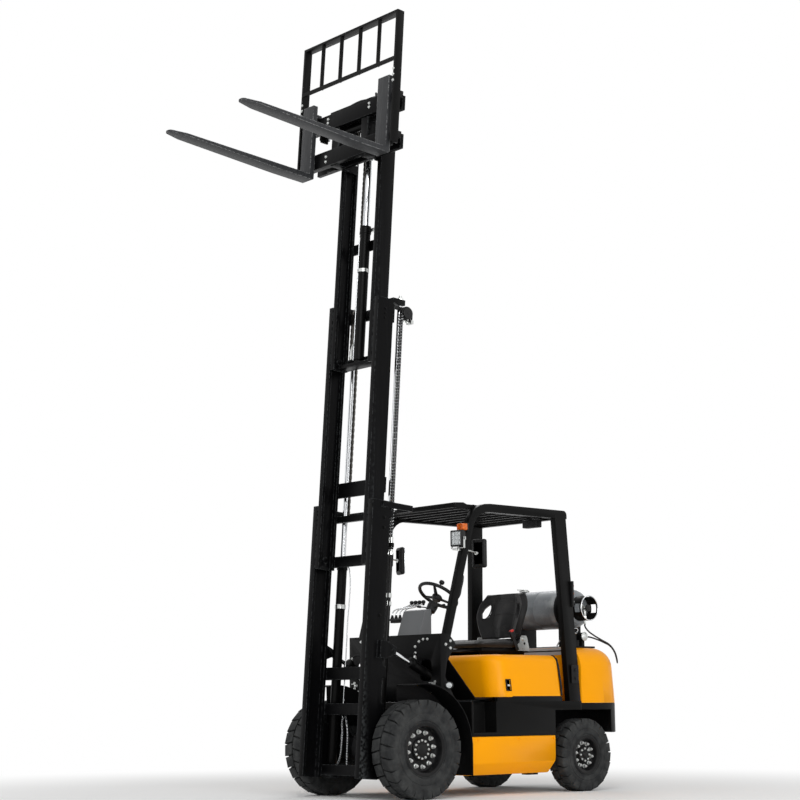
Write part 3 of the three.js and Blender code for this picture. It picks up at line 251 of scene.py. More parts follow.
@dataclass(frozen=True)
class WornSteelPaint(Finish):
    """Thin satin paint on rolled steel: long scuffs where stages slide, and rubbed edges that show grey."""

    scuff: str = "4a4a48"
    scuffed: float = 0.55
    edge: str = "8d8f90"

    def detail(self, tree: bpy.types.NodeTree, place: bpy.types.NodeSocket) -> dict:
        """Adds the scuffs, the rubbed edges and a fine rolled grain.

        Args:
            tree: The material's node tree.
            place: Object coordinates, in metres.

        Returns:
            What the shader's inputs get.
        """
        stretched = add_node(tree, "Mapping", {"Vector": place, "Scale": (1.0, 1.0, 0.06)}).outputs[0]
        noise = add_node(tree, "TexNoise", {"Vector": stretched, "Scale": per(11), "Detail": 5})
        streaks = noise.outputs["Fac"]
        long = {"Value": streaks, "From Min": 0.52, "From Max": 0.8, "To Max": self.scuffed}
        scuffs = {
            0: add_node(tree, "MapRange", long).outputs[0],
            6: linear(self.colour),
            7: linear(self.scuff),
        }
        # An edge is where the rounded normal turns away from the flat one.
        rounded_off = add_node(tree, "Bevel", {"Radius": 0.007}, samples=4).outputs[0]
        flat = add_node(tree, "NewGeometry").outputs["True Normal"]
        same = add_node(tree, "VectorMath", {0: rounded_off, 1: flat}, operation="DOT_PRODUCT")
        turned_away = {"Value": same.outputs["Value"], "From Min": 0.985, "From Max": 0.9}
        patches = add_node(tree, "TexNoise", {"Vector": place, "Scale": per(22), "Detail": 4})
        chance = {"Value": patches.outputs["Fac"], "From Min": 0.38, "From Max": 0.6}
        both = {
            0: add_node(tree, "MapRange", turned_away, interpolation_type="SMOOTHSTEP").outputs[0],
            1: add_node(tree, "MapRange", chance, interpolation_type="SMOOTHSTEP").outputs[0],
        }
        rubbed = {
            0: add_node(tree, "Math", both, operation="MULTIPLY").outputs[0],
            6: add_node(tree, "Mix", scuffs, data_type="RGBA").outputs[2],
            7: linear(self.edge),
        }
        spread = {"Value": streaks, "To Min": self.roughness + 0.1, "To Max": self.roughness - 0.12}
        grain = add_node(tree, "TexNoise", {"Vector": place, "Scale": per(6), "Detail": 2})
        skin = {"Height": grain.outputs["Fac"], "Distance": 0.15 * MM, "Strength": RELIEF}
        return {
            "Base Color": add_node(tree, "Mix", rubbed, data_type="RGBA").outputs[2],
            "Roughness": add_node(tree, "MapRange", spread).outputs[0],
            "Normal": add_node(tree, "Bump", skin).outputs[0],
        }


@dataclass(frozen=True)
class CastPaint(EnamelPaint):
    """Enamel over sand-cast iron, whose skin is pitted and gently uneven under the paint."""

    def detail(self, tree: bpy.types.NodeTree, place: bpy.types.NodeSocket) -> dict:
        """Adds the paint's patterns, then the casting's skin in place of the orange peel.

        Args:
            tree: The material's node tree.
            place: Object coordinates, in metres.

        Returns:
            What the shader's inputs get.
        """
        coarse = add_node(tree, "TexNoise", {"Vector": place, "Scale": per(26), "Detail": 2}).outputs["Fac"]
        fine = add_node(tree, "TexNoise", {"Vector": place, "Scale": per(5), "Detail": 3}).outputs["Fac"]
        pits = add_node(tree, "Math", {0: coarse, 1: fine}, operation="ADD").outputs[0]
        skin = add_node(tree, "Bump", {"Height": pits, "Distance": 0.5 * MM, "Strength": RELIEF})
        return {**EnamelPaint.detail(self, tree, place), "Normal": skin.outputs[0]}


@dataclass(frozen=True)
class TyreRubber(Finish):
    """Cured solid rubber: near black, dulled by a grey bloom and by dust that lies in it unevenly."""

    bloom: str = "6e6f6e"

    def detail(self, tree: bpy.types.NodeTree, place: bpy.types.NodeSocket) -> dict:
        """Adds the bloom and the small scratches and pits of use.

        Args:
            tree: The material's node tree.
            place: Object coordinates, in metres.

        Returns:
            What the shader's inputs get.
        """
        cloud = add_node(tree, "TexNoise", {"Vector": place, "Scale": per(60), "Detail": 6}).outputs["Fac"]
        hazy = {"Value": cloud, "From Min": 0.35, "From Max": 0.75, "To Max": 0.5}
        share = add_node(tree, "MapRange", hazy).outputs[0]
        colours = {0: share, 6: linear(self.colour), 7: linear(self.bloom)}
        pits = add_node(tree, "TexNoise", {"Vector": place, "Scale": per(3.5), "Detail": 4})
        skin = {"Height": pits.outputs["Fac"], "Distance": 0.5 * MM, "Strength": RELIEF}
        return {
            "Base Color": add_node(tree, "Mix", colours, data_type="RGBA").outputs[2],
            "Normal": add_node(tree, "Bump", skin).outputs[0],
        }


@dataclass(frozen=True)
class TurnedMetal(Finish):
    """Ground and plated metal: bright, with fine marks that break up its reflection."""

    mark_mm: float = 3.0

    def detail(self, tree: bpy.types.NodeTree, place: bpy.types.NodeSocket) -> dict:
        """Adds the fine marks to the shine and the surface.

        Args:
            tree: The material's node tree.
            place: Object coordinates, in metres.

        Returns:
            What the shader's inputs get.
        """
        noise = add_node(tree, "TexNoise", {"Vector": place, "Scale": per(self.mark_mm), "Detail": 4})
        marks = noise.outputs["Fac"]
        spread = {"Value": marks, "To Min": self.roughness * 0.6, "To Max": self.roughness * 1.5}
        skin = {"Height": marks, "Distance": 0.02 * MM, "Strength": RELIEF}
        return {
            "Roughness": add_node(tree, "MapRange", spread).outputs[0],
            "Normal": add_node(tree, "Bump", skin).outputs[0],
        }


@dataclass(frozen=True)
class MouldedPlastic(Finish):
    """Moulded plastic with the fine leather-like grain that its tool is etched with."""

    grain_mm: float = 1.8
    worn: str = "6a6a68"

    def detail(self, tree: bpy.types.NodeTree, place: bpy.types.NodeSocket) -> dict:
        """Adds the grain and a faint unevenness of tone.

        Args:
            tree: The material's node tree.
            place: Object coordinates, in metres.

        Returns:
            What the shader's inputs get.
        """
        grain = {"Vector": place, "Scale": per(self.grain_mm)}
        cells = add_node(tree, "TexVoronoi", grain, feature="SMOOTH_F1")
        cloud = add_node(tree, "TexNoise", {"Vector": place, "Scale": per(80), "Detail": 4}).outputs["Fac"]
        share = add_node(tree, "MapRange", {"Value": cloud, "From Min": 0.5, "To Max": 0.2}).outputs[0]
        colours = {0: share, 6: linear(self.colour), 7: linear(self.worn)}
        skin = {"Height": cells.outputs["Distance"], "Distance": 0.12 * MM, "Strength": RELIEF}
        return {
            "Base Color": add_node(tree, "Mix", colours, data_type="RGBA").outputs[2],
            "Normal": add_node(tree, "Bump", skin).outputs[0],
        }


@dataclass(frozen=True)
class GrainedVinyl(Finish):
    """Vinyl coated cloth pressed with a leather grain, shinier on its crests than in its creases."""

    grain_mm: float = 3.2
    rubbed: str = "2b2a29"

    def detail(self, tree: bpy.types.NodeTree, place: bpy.types.NodeSocket) -> dict:
        """Adds the grain, its two shines and soft wrinkles.

        Args:
            tree: The material's node tree.
            place: Object coordinates, in metres.

        Returns:
            What the shader's inputs get.
        """
        wavy = add_node(tree, "TexNoise", {"Vector": place, "Scale": per(14), "Detail": 2.0})
        pulled = {0: 0.02, 4: place, 5: wavy.outputs["Color"]}
        bent = add_node(tree, "Mix", pulled, data_type="VECTOR").outputs[1]
        grain = {"Vector": bent, "Scale": per(self.grain_mm)}
        cells = add_node(tree, "TexVoronoi", grain, feature="DISTANCE_TO_EDGE")
        edges = {"Value": cells.outputs["Distance"], "From Min": 0.0, "From Max": 0.22}
        creases = add_node(tree, "MapRange", edges, interpolation_type="SMOOTHSTEP").outputs[0]
        spread = {"Value": creases, "To Min": self.roughness + 0.2, "To Max": self.roughness - 0.04}
        cloud = add_node(tree, "TexNoise", {"Vector": place, "Scale": per(90), "Detail": 5}).outputs["Fac"]
        sat_on = {"Value": cloud, "From Min": 0.45, "From Max": 0.95}
        share = add_node(tree, "MapRange", sat_on, interpolation_type="SMOOTHSTEP").outputs[0]
        colours = {0: share, 6: linear(self.colour), 7: linear(self.rubbed)}
        skin = {"Height": creases, "Distance": 0.3 * MM, "Strength": RELIEF}
        return {
            "Sheen Weight": 0.12,
            "Base Color": add_node(tree, "Mix", colours, data_type="RGBA").outputs[2],
            "Roughness": add_node(tree, "MapRange", spread).outputs[0],
            "Normal": add_node(tree, "Bump", skin).outputs[0],
        }


@dataclass(frozen=True)
class MeshCoat(Finish):
    """Hammered paint on a gas bottle: a fine regular dimpling under grey paint, which scatters the light."""

    hollow: str = "5d6164"
    rubbed: str = "b9bcbe"

    def detail(self, tree: bpy.types.NodeTree, place: bpy.types.NodeSocket) -> dict:
        """Adds the dimples, drawn at 7 mm so that they show from across a yard, and rubbed patches.

        Args:
            tree: The material's node tree.
            place: Object coordinates, in metres.

        Returns:
            What the shader's inputs get.
        """
        dimples = {"Vector": place, "Scale": per(7), "Randomness": 0.55}
        depth = add_node(tree, "TexVoronoi", dimples).outputs["Distance"]
        dots = add_node(tree, "MapRange", {"Value": depth, "From Max": 0.7, "To Max": 0.45}).outputs[0]
        paint = {0: dots, 6: linear(self.colour), 7: linear(self.hollow)}
        cloud = add_node(tree, "TexNoise", {"Vector": place, "Scale": per(120), "Detail": 5}).outputs["Fac"]
        handled = {"Value": cloud, "From Min": 0.5, "From Max": 0.85}
        worn = {
            0: add_node(tree, "MapRange", handled, interpolation_type="SMOOTHSTEP").outputs[0],
            6: add_node(tree, "Mix", paint, data_type="RGBA").outputs[2],
            7: linear(self.rubbed),
        }
        skin = {"Height": depth, "Distance": 0.5 * MM, "Strength": RELIEF}
        return {
            "Base Color": add_node(tree, "Mix", worn, data_type="RGBA").outputs[2],
            "Normal": add_node(tree, "Bump", skin).outputs[0],
        }


@dataclass(frozen=True)
class ClearLens(Finish):
    """Clear or coloured polycarbonate with moulded ribs that spread a lamp's light."""

    rib_mm: float = 9.0

    def detail(self, tree: bpy.types.NodeTree, place: bpy.types.NodeSocket) -> dict:
        """Adds the ribs and lets some light through.

        Args:
            tree: The material's node tree.
            place: Object coordinates, in metres.

        Returns:
            What the shader's inputs get.
        """
        bands = {"Vector": place, "Scale": per(self.rib_mm) / WAVE, "Distortion": 0.0}
        ribs = add_node(tree, "TexWave", bands, bands_direction="Z")
        skin = {"Height": ribs.outputs["Fac"], "Distance": 1.0 * MM, "Strength": RELIEF}
        return {"Transmission Weight": 0.35, "Normal": add_node(tree, "Bump", skin).outputs[0]}


@dataclass(frozen=True)
class BraidedWire(Finish):
    """A hose's steel braid: fine crossed strands, drawn at 4 mm so that they show."""

    strand_mm: float = 4.0
    gap: str = "3a3b3d"

    def detail(self, tree: bpy.types.NodeTree, place: bpy.types.NodeSocket) -> dict:
        """Adds crossed strands, bright on their crowns and dark between.

        Args:
            tree: The material's node tree.
            place: Object coordinates, in metres.

        Returns:
            What the shader's inputs get.
        """
        strands = {"Vector": place, "Scale": per(self.strand_mm) / WAVE}
        crossed = {
            0: add_node(tree, "TexWave", strands, bands_direction="DIAGONAL").outputs["Fac"],
            1: add_node(tree, "TexWave", strands, bands_direction="Z").outputs["Fac"],
        }
        both = add_node(tree, "Math", crossed, operation="MULTIPLY").outputs[0]
        crowns = {"Value": both, "From Min": 0.0, "From Max": 0.5}
        share = add_node(tree, "MapRange", crowns, interpolation_type="SMOOTHSTEP").outputs[0]
        colours = {0: share, 6: linear(self.gap), 7: linear(self.colour)}
        skin = {"Height": both, "Distance": 0.5 * MM, "Strength": RELIEF}
        return {
            "Base Color": add_node(tree, "Mix", colours, data_type="RGBA").outputs[2],
            "Normal": add_node(tree, "Bump", skin).outputs[0],
        }


# Enamel on smooth sheet shines softly and evenly; on castings the same paint looks rougher.
YELLOW_ENAMEL = EnamelPaint("yellow_enamel", "ffa702", 0.3, shine=0.12, dusty=0.02, coat=0.0)
CAST_YELLOW = CastPaint("yellow_enamel_on_cast_iron", "ffa702", 0.34, shine=0.12, dusty=0.02, coat=0.0)
CAST_BLACK = CastPaint(
    "black_enamel_on_cast_iron", "0a0a0b", 0.42, shine=0.1, dust="262421", dusty=0.12, coat=0.0,
)
FRAME_BLACK = EnamelPaint(
    "black_powder_coat",
    "090909",
    0.34,
    shine=0.1,
    dust="22201e",
    dusty=0.10,
    peel_mm=3.0,
    coat=0.0,
)
SHEET_BLACK = EnamelPaint(
    "black_enamel_on_sheet_steel", "0a0a0b", 0.4, shine=0.1, dust="262421", dusty=0.12, coat=0.0,
)
# Steel that slides or carries loads shows its scuffs, and looks duller and greyer than the bodywork.
MAST_BLACK = WornSteelPaint(
    "satin_black_on_rolled_steel", "080809", 0.36, shine=0.07, scuff="121213", edge="3c3e3f",
)
FORK_BLACK = WornSteelPaint(
    "dark_grey_on_forged_steel", "2d2e30", 0.46, shine=0.25, scuff="4b4b4b", scuffed=0.6, edge="8d8e8e",
)
# Solid rubber is dull and greyed by its bloom; hoses and trim are newer and blacker.
RUBBER = TyreRubber("cured_tyre_rubber", "222324", 0.74, shine=0.2, bloom="505150")
HOSE = TyreRubber("hydraulic_hose_rubber", "101011", 0.5, shine=0.25, bloom="2a2a2b")
TRIM = TyreRubber("extruded_rubber_trim", "131314", 0.6, shine=0.2, bloom="2c2c2d")
RIM_BLACK = EnamelPaint(
    "black_enamel_on_pressed_steel", "0e0e0f", 0.38, shine=0.2, dust="3a3833", dusty=0.12, coat=0.0,
)
# Ground chrome mirrors sharply; zinc plate is paler and blurred; oiled chain is dark. The marks are
# coarser than real ones, so that they show.
CHROME = TurnedMetal("hard_chromed_steel", "dfe1e3", 0.12, 1.0)
ZINC = TurnedMetal("zinc_plated_steel", "cfd1cf", 0.3, 1.0, mark_mm=6)
STEEL = TurnedMetal("oiled_chain_steel", "5f5d59", 0.42, 1.0, mark_mm=8)
SPRING = TurnedMetal("bright_spring_wire", "c3c5c6", 0.25, 1.0, mark_mm=5)
BRAID = BraidedWire("braided_steel_hose", "c8cacc", 0.38, 0.9)
# Vinyl and moulded plastics are matt, with a grain that keeps them from looking like paint.
VINYL = GrainedVinyl("black_vinyl_seat_cloth", "111112", 0.44, shine=0.2)
GREY_ABS = MouldedPlastic("light_grey_moulded_abs", "5c5e60", 0.46, worn="505254")
BLACK_ABS = MouldedPlastic("black_moulded_nylon", "131314", 0.45, shine=0.25, worn="2b2b2b")
LAMP_ABS = MouldedPlastic("matt_black_lamp_housing", "101011", 0.5, shine=0.25, worn="242424")
RED_ABS = MouldedPlastic("red_moulded_button", "c0271d", 0.35, worn="a02018")
COVER_GREY = EnamelPaint("light_grey_enamel_on_sheet_steel", "c4c6c6", 0.36, dusty=0.1)
GAS_GREY = MeshCoat("grey_hammered_paint_on_steel", "8b9094", 0.4, 0.25)
ENGINE_GREY = CastPaint("grey_enamel_on_engine_castings", "6c7073", 0.5, dust="3d3b38", dusty=0.5)
# Lenses let light through and break it up with their ribs.
CLEAR = ClearLens("clear_polycarbonate_lens", "dfe3e4", 0.08)
AMBER = ClearLens("amber_polycarbonate_lens", "ff7a10", 0.15)
RED_LENS = ClearLens("red_polycarbonate_lens", "b3120c", 0.15)


# ---------------------------------------------------------------- working with pieces


def activate(*pieces: Piece) -> None:
    """Deselects everything, then selects these pieces and makes the first one active.

    Args:
        pieces: The pieces to work on next.
    """
    if bpy.context.object and bpy.context.object.mode != "OBJECT":
        bpy.ops.object.mode_set(mode="OBJECT")
    bpy.ops.object.select_all(action="DESELECT")
    for piece in pieces:
        piece.select_set(True)
    bpy.context.view_layer.objects.active = pieces[0]


@contextmanager
def editing(piece: Piece, parts: str = "FACE") -> Iterator[bmesh.types.BMesh]:
    """Opens a piece in edit mode with nothing selected, and closes it afterwards.

    Args:
        piece: The piece to edit.
        parts: VERT, EDGE or FACE, the select mode.

    Yields:
        The mesh being edited.
    """
    activate(piece)
    bpy.ops.object.mode_set(mode="EDIT")
    bpy.ops.mesh.select_mode(type=parts)
    bpy.ops.mesh.select_all(action="DESELECT")
    yield bmesh.from_edit_mesh(piece.data)
    bpy.ops.object.mode_set(mode="OBJECT")


def pick_edges(piece: Piece, shape: bmesh.types.BMesh, test: Callable[[Vector, Vector], bool]) -> None:
    """Selects the edges whose two ends pass a test.

    Args:
        piece: The piece in edit mode.
        shape: Its mesh.
        test: Takes the two ends of an edge.
    """
    for edge in shape.edges:
        edge.select_set(test(edge.verts[0].co, edge.verts[1].co))
    bmesh.update_edit_mesh(piece.data)


def pick_faces(piece: Piece, shape: bmesh.types.BMesh, test: Callable[[Vector, Vector], bool]) -> None:
    """Selects the faces whose middle and normal pass a test.

    Args:
        piece: The piece in edit mode.
        shape: Its mesh.
        test: Takes a face's middle and its normal.
    """
    for face in shape.faces:
        face.select_set(test(face.calc_center_median(), face.normal))
    bmesh.update_edit_mesh(piece.data)


def settle(piece: Piece, name: str) -> Piece:
    """Puts a piece's place into its mesh, and names it.

    Args:
        piece: The piece.
        name: Its name, which its mesh also gets.

    Returns:
        The same piece.
    """
    activate(piece)
    bpy.ops.object.transform_apply(location=True, rotation=True, scale=True)
    piece.name = name
    piece.data.name = name
    return piece


def smooth(piece: Piece, angle: float = SMOOTH_ANGLE) -> Piece:
    """Shades a piece smooth, apart from edges sharper than the angle.

    Args:
        piece: The piece.
        angle: Edges sharper than this stay sharp.

    Returns:
        The same piece.
    """
    activate(piece)
    bpy.ops.object.shade_smooth_by_angle(angle=angle)
    return piece


def soften(piece: Piece, width: float, steps: int = 2, angle: float = SMOOTH_ANGLE) -> Piece:
    """Rounds the edges of a piece that are sharper than an angle.

    Args:
        piece: The piece.
        width: The width of the rounding, in metres.
        steps: Faces across the rounding.
        angle: Edges flatter than this stay as they are.

    Returns:
        The same piece.
    """
    activate(piece)
    bevel = piece.modifiers.new("edges", "BEVEL")
    bevel.width = width
    bevel.segments = steps
    bevel.limit_method = "ANGLE"
    bevel.angle_limit = angle
    bevel.harden_normals = False
    bpy.ops.object.modifier_apply(modifier=bevel.name)
    return smooth(piece, math.radians(40))


def block(name: str, low: Point, high: Point, soft: float = 0.0, steps: int = 2) -> Piece:
    """A box between two corners with rounded edges.

    Args:
        name: The piece's name.
        low: One of its corners.
        high: The corner opposite.
        soft: The radius of its edges.
        steps: Faces across each rounded edge.

    Returns:
        The piece.
    """
    middle = [(a + b) / 2 for a, b in zip(low, high)]
    size = [abs(b - a) for a, b in zip(low, high)]
    activate_none()
    bpy.ops.mesh.primitive_cube_add(size=1, location=middle, scale=size)
    piece = settle(bpy.context.object, name)
    if soft:
        with editing(piece, "EDGE"):
            bpy.ops.mesh.select_all(action="SELECT")
            bpy.ops.mesh.bevel(offset=soft, segments=steps, affect="EDGES")
        smooth(piece)
    return piece


def activate_none() -> None:
    """Leaves nothing selected."""
    if bpy.context.object and bpy.context.object.mode != "OBJECT":
        bpy.ops.object.mode_set(mode="OBJECT")
    bpy.ops.object.select_all(action="DESELECT")


def rod(name: str, start: Point, end: Point, radius: float, sides: int = 20, soft: float = 0.0) -> Piece:
    """A round bar between two points, with its end rims rounded.

    Args:
        name: The piece's name.
        start: The middle of one end.
        end: The middle of the other end.
        radius: The bar's radius.
        sides: Flats round it.
        soft: The width of the rounding on its two rims.

    Returns:
        The piece.
    """
    a, b = Vector(start), Vector(end)
    turn = (b - a).to_track_quat("Z", "Y").to_euler()
    activate_none()
    bpy.ops.mesh.primitive_cylinder_add(
        vertices=sides, radius=radius, depth=(b - a).length, location=(a + b) / 2, rotation=turn
    )
    piece = settle(bpy.context.object, name)
    if soft:
        along = (b - a).normalized()
        with editing(piece, "EDGE") as shape:
            pick_edges(piece, shape, lambda p, q: abs((q - p).dot(along)) < 1e-6)
            bpy.ops.mesh.bevel(offset=soft, segments=2, affect="EDGES")
    return smooth(piece)


def drawn(name: str, points: Sequence[Vector]) -> Piece:
    """A chain of edges through points, drawn by extruding one vertex from point to point.

    Args:
        name: The piece's name.
        points: Where its vertices go, in order.

    Returns:
        The piece, with all of it in one open line.
    """
    activate_none()
    bpy.ops.mesh.primitive_plane_add(size=0.01, location=(0, 0, 0))
    piece = bpy.context.object
    piece.name = name
    bpy.ops.object.mode_set(mode="EDIT")
    bpy.ops.mesh.select_mode(type="VERT")
    bpy.ops.mesh.merge(type="CENTER")
    bpy.ops.transform.translate(value=points[0])
    for here, following in zip(points, points[1:]):
        bpy.ops.mesh.extrude_region_move(TRANSFORM_OT_translate={"value": following - here})
    bpy.ops.object.mode_set(mode="OBJECT")
    return piece


def plate(name: str, outline: Sequence[Pair], low: float, high: float, soft: float = 0.0) -> Piece:
    """An upright outline, filled and pushed sideways.

    Args:
        name: The piece's name.
        outline: Its corners in order, each as its place ahead and its height.
        low: Where the push starts.
        high: Where the push ends.
        soft: The rounding of its sharp edges.

    Returns:
        The piece.
    """
    push = (0.0, high - low, 0.0)
    piece = drawn(name, [Vector((x, low, z)) for x, z in outline])
    with editing(piece, "VERT"):
        bpy.ops.mesh.select_all(action="SELECT")
        bpy.ops.mesh.edge_face_add()
        bpy.ops.mesh.extrude_region_move(TRANSFORM_OT_translate={"value": push})
        bpy.ops.mesh.select_all(action="SELECT")
        bpy.ops.mesh.normals_make_consistent(inside=False)
    return soften(piece, soft) if soft else smooth(piece)


def turned(name: str, profile: Sequence[Pair], centre: Point, axis: Axis, steps: int = 48) -> Piece:
    """A profile spun a full turn about a line.

    Args:
        name: The piece's name.
        profile: Points of radius and place along the line; it may close on itself.
        centre: The point that the places along the line count from.
        axis: The line's direction.
        steps: Faces round it.

    Returns:
        The piece.
    """
    piece = drawn(name, [Vector((radius, 0, along)) for radius, along in profile])
    with editing(piece, "VERT"):
        bpy.ops.mesh.select_all(action="SELECT")
        bpy.ops.mesh.spin(steps=steps, angle=math.tau, center=(0, 0, 0), axis=(0, 0, 1))
        bpy.ops.mesh.select_all(action="SELECT")
        bpy.ops.mesh.remove_doubles(threshold=1e-5)
        bpy.ops.mesh.normals_make_consistent(inside=False)
    piece.rotation_euler = axis.value
    piece.location = centre
    return smooth(settle(piece, name))


def rounded(corners: Sequence[tuple[float, float, float]], steps: int = 6) -> list[Pair]:
    """An outline whose corners are rounded.

    Args:
        corners: Each corner with the radius that it is rounded to.
        steps: Points on each rounded corner.

    Returns:
        The outline's points.
    """
    outline: list[Pair] = []
    for i, (a, b, radius) in enumerate(corners):
        corner = Vector((a, b))
        if not radius:
            outline.append((a, b))
            continue
        before = (Vector(corners[i - 1][:2]) - corner).normalized()
        after = (Vector(corners[(i + 1) % len(corners)][:2]) - corner).normalized()
        reach = radius / math.tan(before.angle(after) / 2)
        start, end = corner + before * reach, corner + after * reach
        for k in range(steps + 1):
            t = k / steps
            point = start * (1 - t) ** 2 + corner * 2 * t * (1 - t) + end * t**2
            outline.append((point.x, point.y))
    return outline


def pipe(name: str, route: Sequence[Point], radius: float, sides: int = 8, bend: bool = True) -> Piece:
    """A round tube along a route.

    Args:
        name: The piece's name.
        route: The points that its middle line passes.
        radius: Its radius.
        sides: Flats round it.
        bend: Whether it curves smoothly through the points.

    Returns:
        The piece, as a mesh with its ends closed.
    """
    curve = bpy.data.curves.new(name, "CURVE")
    curve.dimensions = "3D"
    curve.bevel_depth = radius
    curve.bevel_resolution = max(0, sides // 2 - 2)
    curve.resolution_u = 6
    curve.use_fill_caps = True
    spline = curve.splines.new("BEZIER" if bend else "POLY")
    if bend:
        spline.bezier_points.add(len(route) - 1)
        for point, place in zip(spline.bezier_points, route):
            point.co = place
            point.handle_left_type = point.handle_right_type = "AUTO"
    else:
        spline.points.add(len(route) - 1)
        for point, place in zip(spline.points, route):
            point.co = (*place, 1)
    piece = bpy.data.objects.new(name, curve)
    bpy.context.scene.collection.objects.link(piece)
    activate(piece)
    bpy.ops.object.convert(target="MESH")
    return smooth(settle(bpy.context.object, name), math.radians(60))


def twin(piece: Piece, change: Matrix, name: str | None = None) -> Piece:
    """A copy of a piece with its own mesh, moved or turned by a matrix.

    Args:
        piece: The piece to copy.
        change: What moves, turns or mirrors the copy.
        name: The copy's name; None keeps the piece's.

    Returns:
        The copy.
    """
    copy = piece.copy()
    copy.data = piece.data.copy()
    copy.data.transform(change)
    if change.determinant() < 0:
        copy.data.flip_normals()
    bpy.context.scene.collection.objects.link(copy)
    copy.name = name or piece.name
    return copy


def joined(name: str, *pieces: Piece) -> Piece:
    """One piece made of several.

    Args:
        name: The joined piece's name.
        pieces: What goes into it.

    Returns:
        The joined piece.
    """
    activate(*pieces)
    if len(pieces) > 1:
        bpy.ops.object.join()
    piece = bpy.context.view_layer.objects.active
    piece.name = name
    piece.data.name = name
    return piece


def ring_of(name: str, piece: Piece, count: int, centre: Point, axis: Point, start: float = 0.0) -> Piece:
    """Copies of a piece at even steps round a line, joined; the first is turned by the start angle.

    Args:
        name: The joined piece's name.
        piece: The piece to repeat, which is used up.
        count: How many there are.
        centre: A point on the line.
        axis: The line's direction.
        start: The first one's turn, in degrees.

    Returns:
        The joined piece.
    """
    there, back = Matrix.Translation(centre), Matrix.Translation(-Vector(centre))
    turns = [Matrix.Rotation(math.radians(start) + math.tau * i / count, 4, axis) for i in range(count)]
    copies = [twin(piece, there @ turn @ back) for turn in turns]
    bpy.data.objects.remove(piece)
    return joined(name, *copies)


def row_of(name: str, piece: Piece, places: Sequence[Point]) -> Piece:
    """Copies of a piece, one moved by each vector, joined; the piece itself is used up.

    Args:
        name: The joined piece's name.
        piece: The piece to repeat, which is used up.
        places: How far each copy is moved.

    Returns:
        The joined piece.
    """
    copies = [twin(piece, Matrix.Translation(place)) for place in places]
    bpy.data.objects.remove(piece)
    return joined(name, *copies)


def mirrored(piece: Piece, name: str | None = None) -> Piece:
    """A copy of a piece on the truck's other side."""
    return twin(piece, Matrix.Scale(-1, 4, (0, 1, 0)), name)


def bolt(name: str, place: Point, facing: Point, radius: float, height: float) -> Piece:
    """A hexagon bolt head on a washer.

    Args:
        name: The piece's name.
        place: The middle of its seat.
        facing: The way that it faces.
        radius: The hexagon's corner radius.
        height: The head's height.

    Returns:
        The piece.
    """
    at, out = Vector(place), Vector(facing).normalized()
    washer = rod(name + "_washer", at, at + out * height * 0.25, radius * 1.25, 16, radius * 0.08)
    head = rod(name + "_head", at + out * height * 0.25, at + out * height, radius, 6, radius * 0.14)
    return joined(name, head, washer)


def refined(node: str, name: str, width: float, steps: int = 2) -> Piece:
    """A merged copy of a frame node with its flat faces whole and its edges rounded.

    Args:
        node: The frame node that it replaces.
        name: The new piece's name.
        width: The rounding of its edges.
        steps: Faces across each rounding.

    Returns:
        The piece.
    """
    source = frame()["nodes"][node]
    piece = source.copy()
    piece.data = source.data.copy()
    piece.parent = None
    piece.matrix_world = Matrix.Identity(4)
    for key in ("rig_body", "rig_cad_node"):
        if key in piece:
            del piece[key]
    bpy.context.scene.collection.objects.link(piece)
    piece.name = name
    piece.data.materials.clear()
    with editing(piece, "VERT"):
        bpy.ops.mesh.select_all(action="SELECT")
        bpy.ops.mesh.remove_doubles(threshold=2e-5)
        bpy.ops.mesh.tris_convert_to_quads(face_threshold=math.radians(1), shape_threshold=math.radians(120))
    soften(piece, width, steps)
    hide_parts(node)
    return piece


def frame() -> dict:
    """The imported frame, loaded once.
    """
    if not hasattr(frame, "loaded"):
        frame.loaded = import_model()
    return frame.loaded


def place(piece: Piece, body: str, finish: Finish | None, slot: str) -> Piece:
    """Gives a finished piece its material and its body.

    Args:
        piece: The piece.
        body: The body that it moves with.
        finish: Its finish; None leaves its materials as they are.
        slot: The record's material slot; not used.

    Returns:
        The same piece.
    """
    if finish:
        piece.data.materials.clear()
        piece.data.materials.append(finish.material())
    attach(piece, body)
    log.info("%s rides on %s, %d faces", piece.name, body, len(piece.data.polygons))
    return piece


def cut_out(piece: Piece, *tools: Piece) -> Piece:
    """Takes the shapes of the tools out of a piece, and removes the tools.

    Args:
        piece: The piece to cut.
        tools: The shapes to take out.

    Returns:
        The same piece.
    """
    for tool in tools:
        activate(piece)
        hole = piece.modifiers.new("cut", "BOOLEAN")
        hole.operation = "DIFFERENCE"
        hole.solver = "EXACT"
        hole.object = tool
        bpy.ops.object.modifier_apply(modifier=hole.name)
        bpy.data.objects.remove(tool)
    return piece


# ---------------------------------------------------------------- where things are

MAST_LEAN = math.radians(4.08)


def datum() -> float:
    """How far ahead of the object's middle the front axle lies."""
    low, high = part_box("tyre_front_left")
    return (low.x + high.x) / 2


def at(x: float, y: float, z: float) -> Point:
    """A point of the frame, from its place ahead of the front axle, to the left, and above the floor."""
    return datum() + x, y, z


def mast_turn() -> Matrix:
    """Leans a piece drawn on an upright mast back about the mast's pivot.

    Returns:
        The turn about the pivot, from an upright mast to the leaning one.
    """
    low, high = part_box("tyre_front_left")
    pivot = Vector((datum(), 0.0, (low.z + high.z) / 2))
    turn = Matrix.Rotation(-MAST_LEAN, 4, "Y")
    return Matrix.Translation(pivot) @ turn @ Matrix.Translation((0.0, 0.0, -pivot.z))


def leaned(piece: Piece) -> Piece:
    """Moves a piece drawn on an upright mast to where the leaning mast holds it."""
    piece.data.transform(mast_turn())
    return piece


def shifted(piece: Piece) -> Piece:
    """Moves a piece drawn from the front axle to its place in the frame."""
    piece.data.transform(Matrix.Translation((datum(), 0, 0)))
    return piece


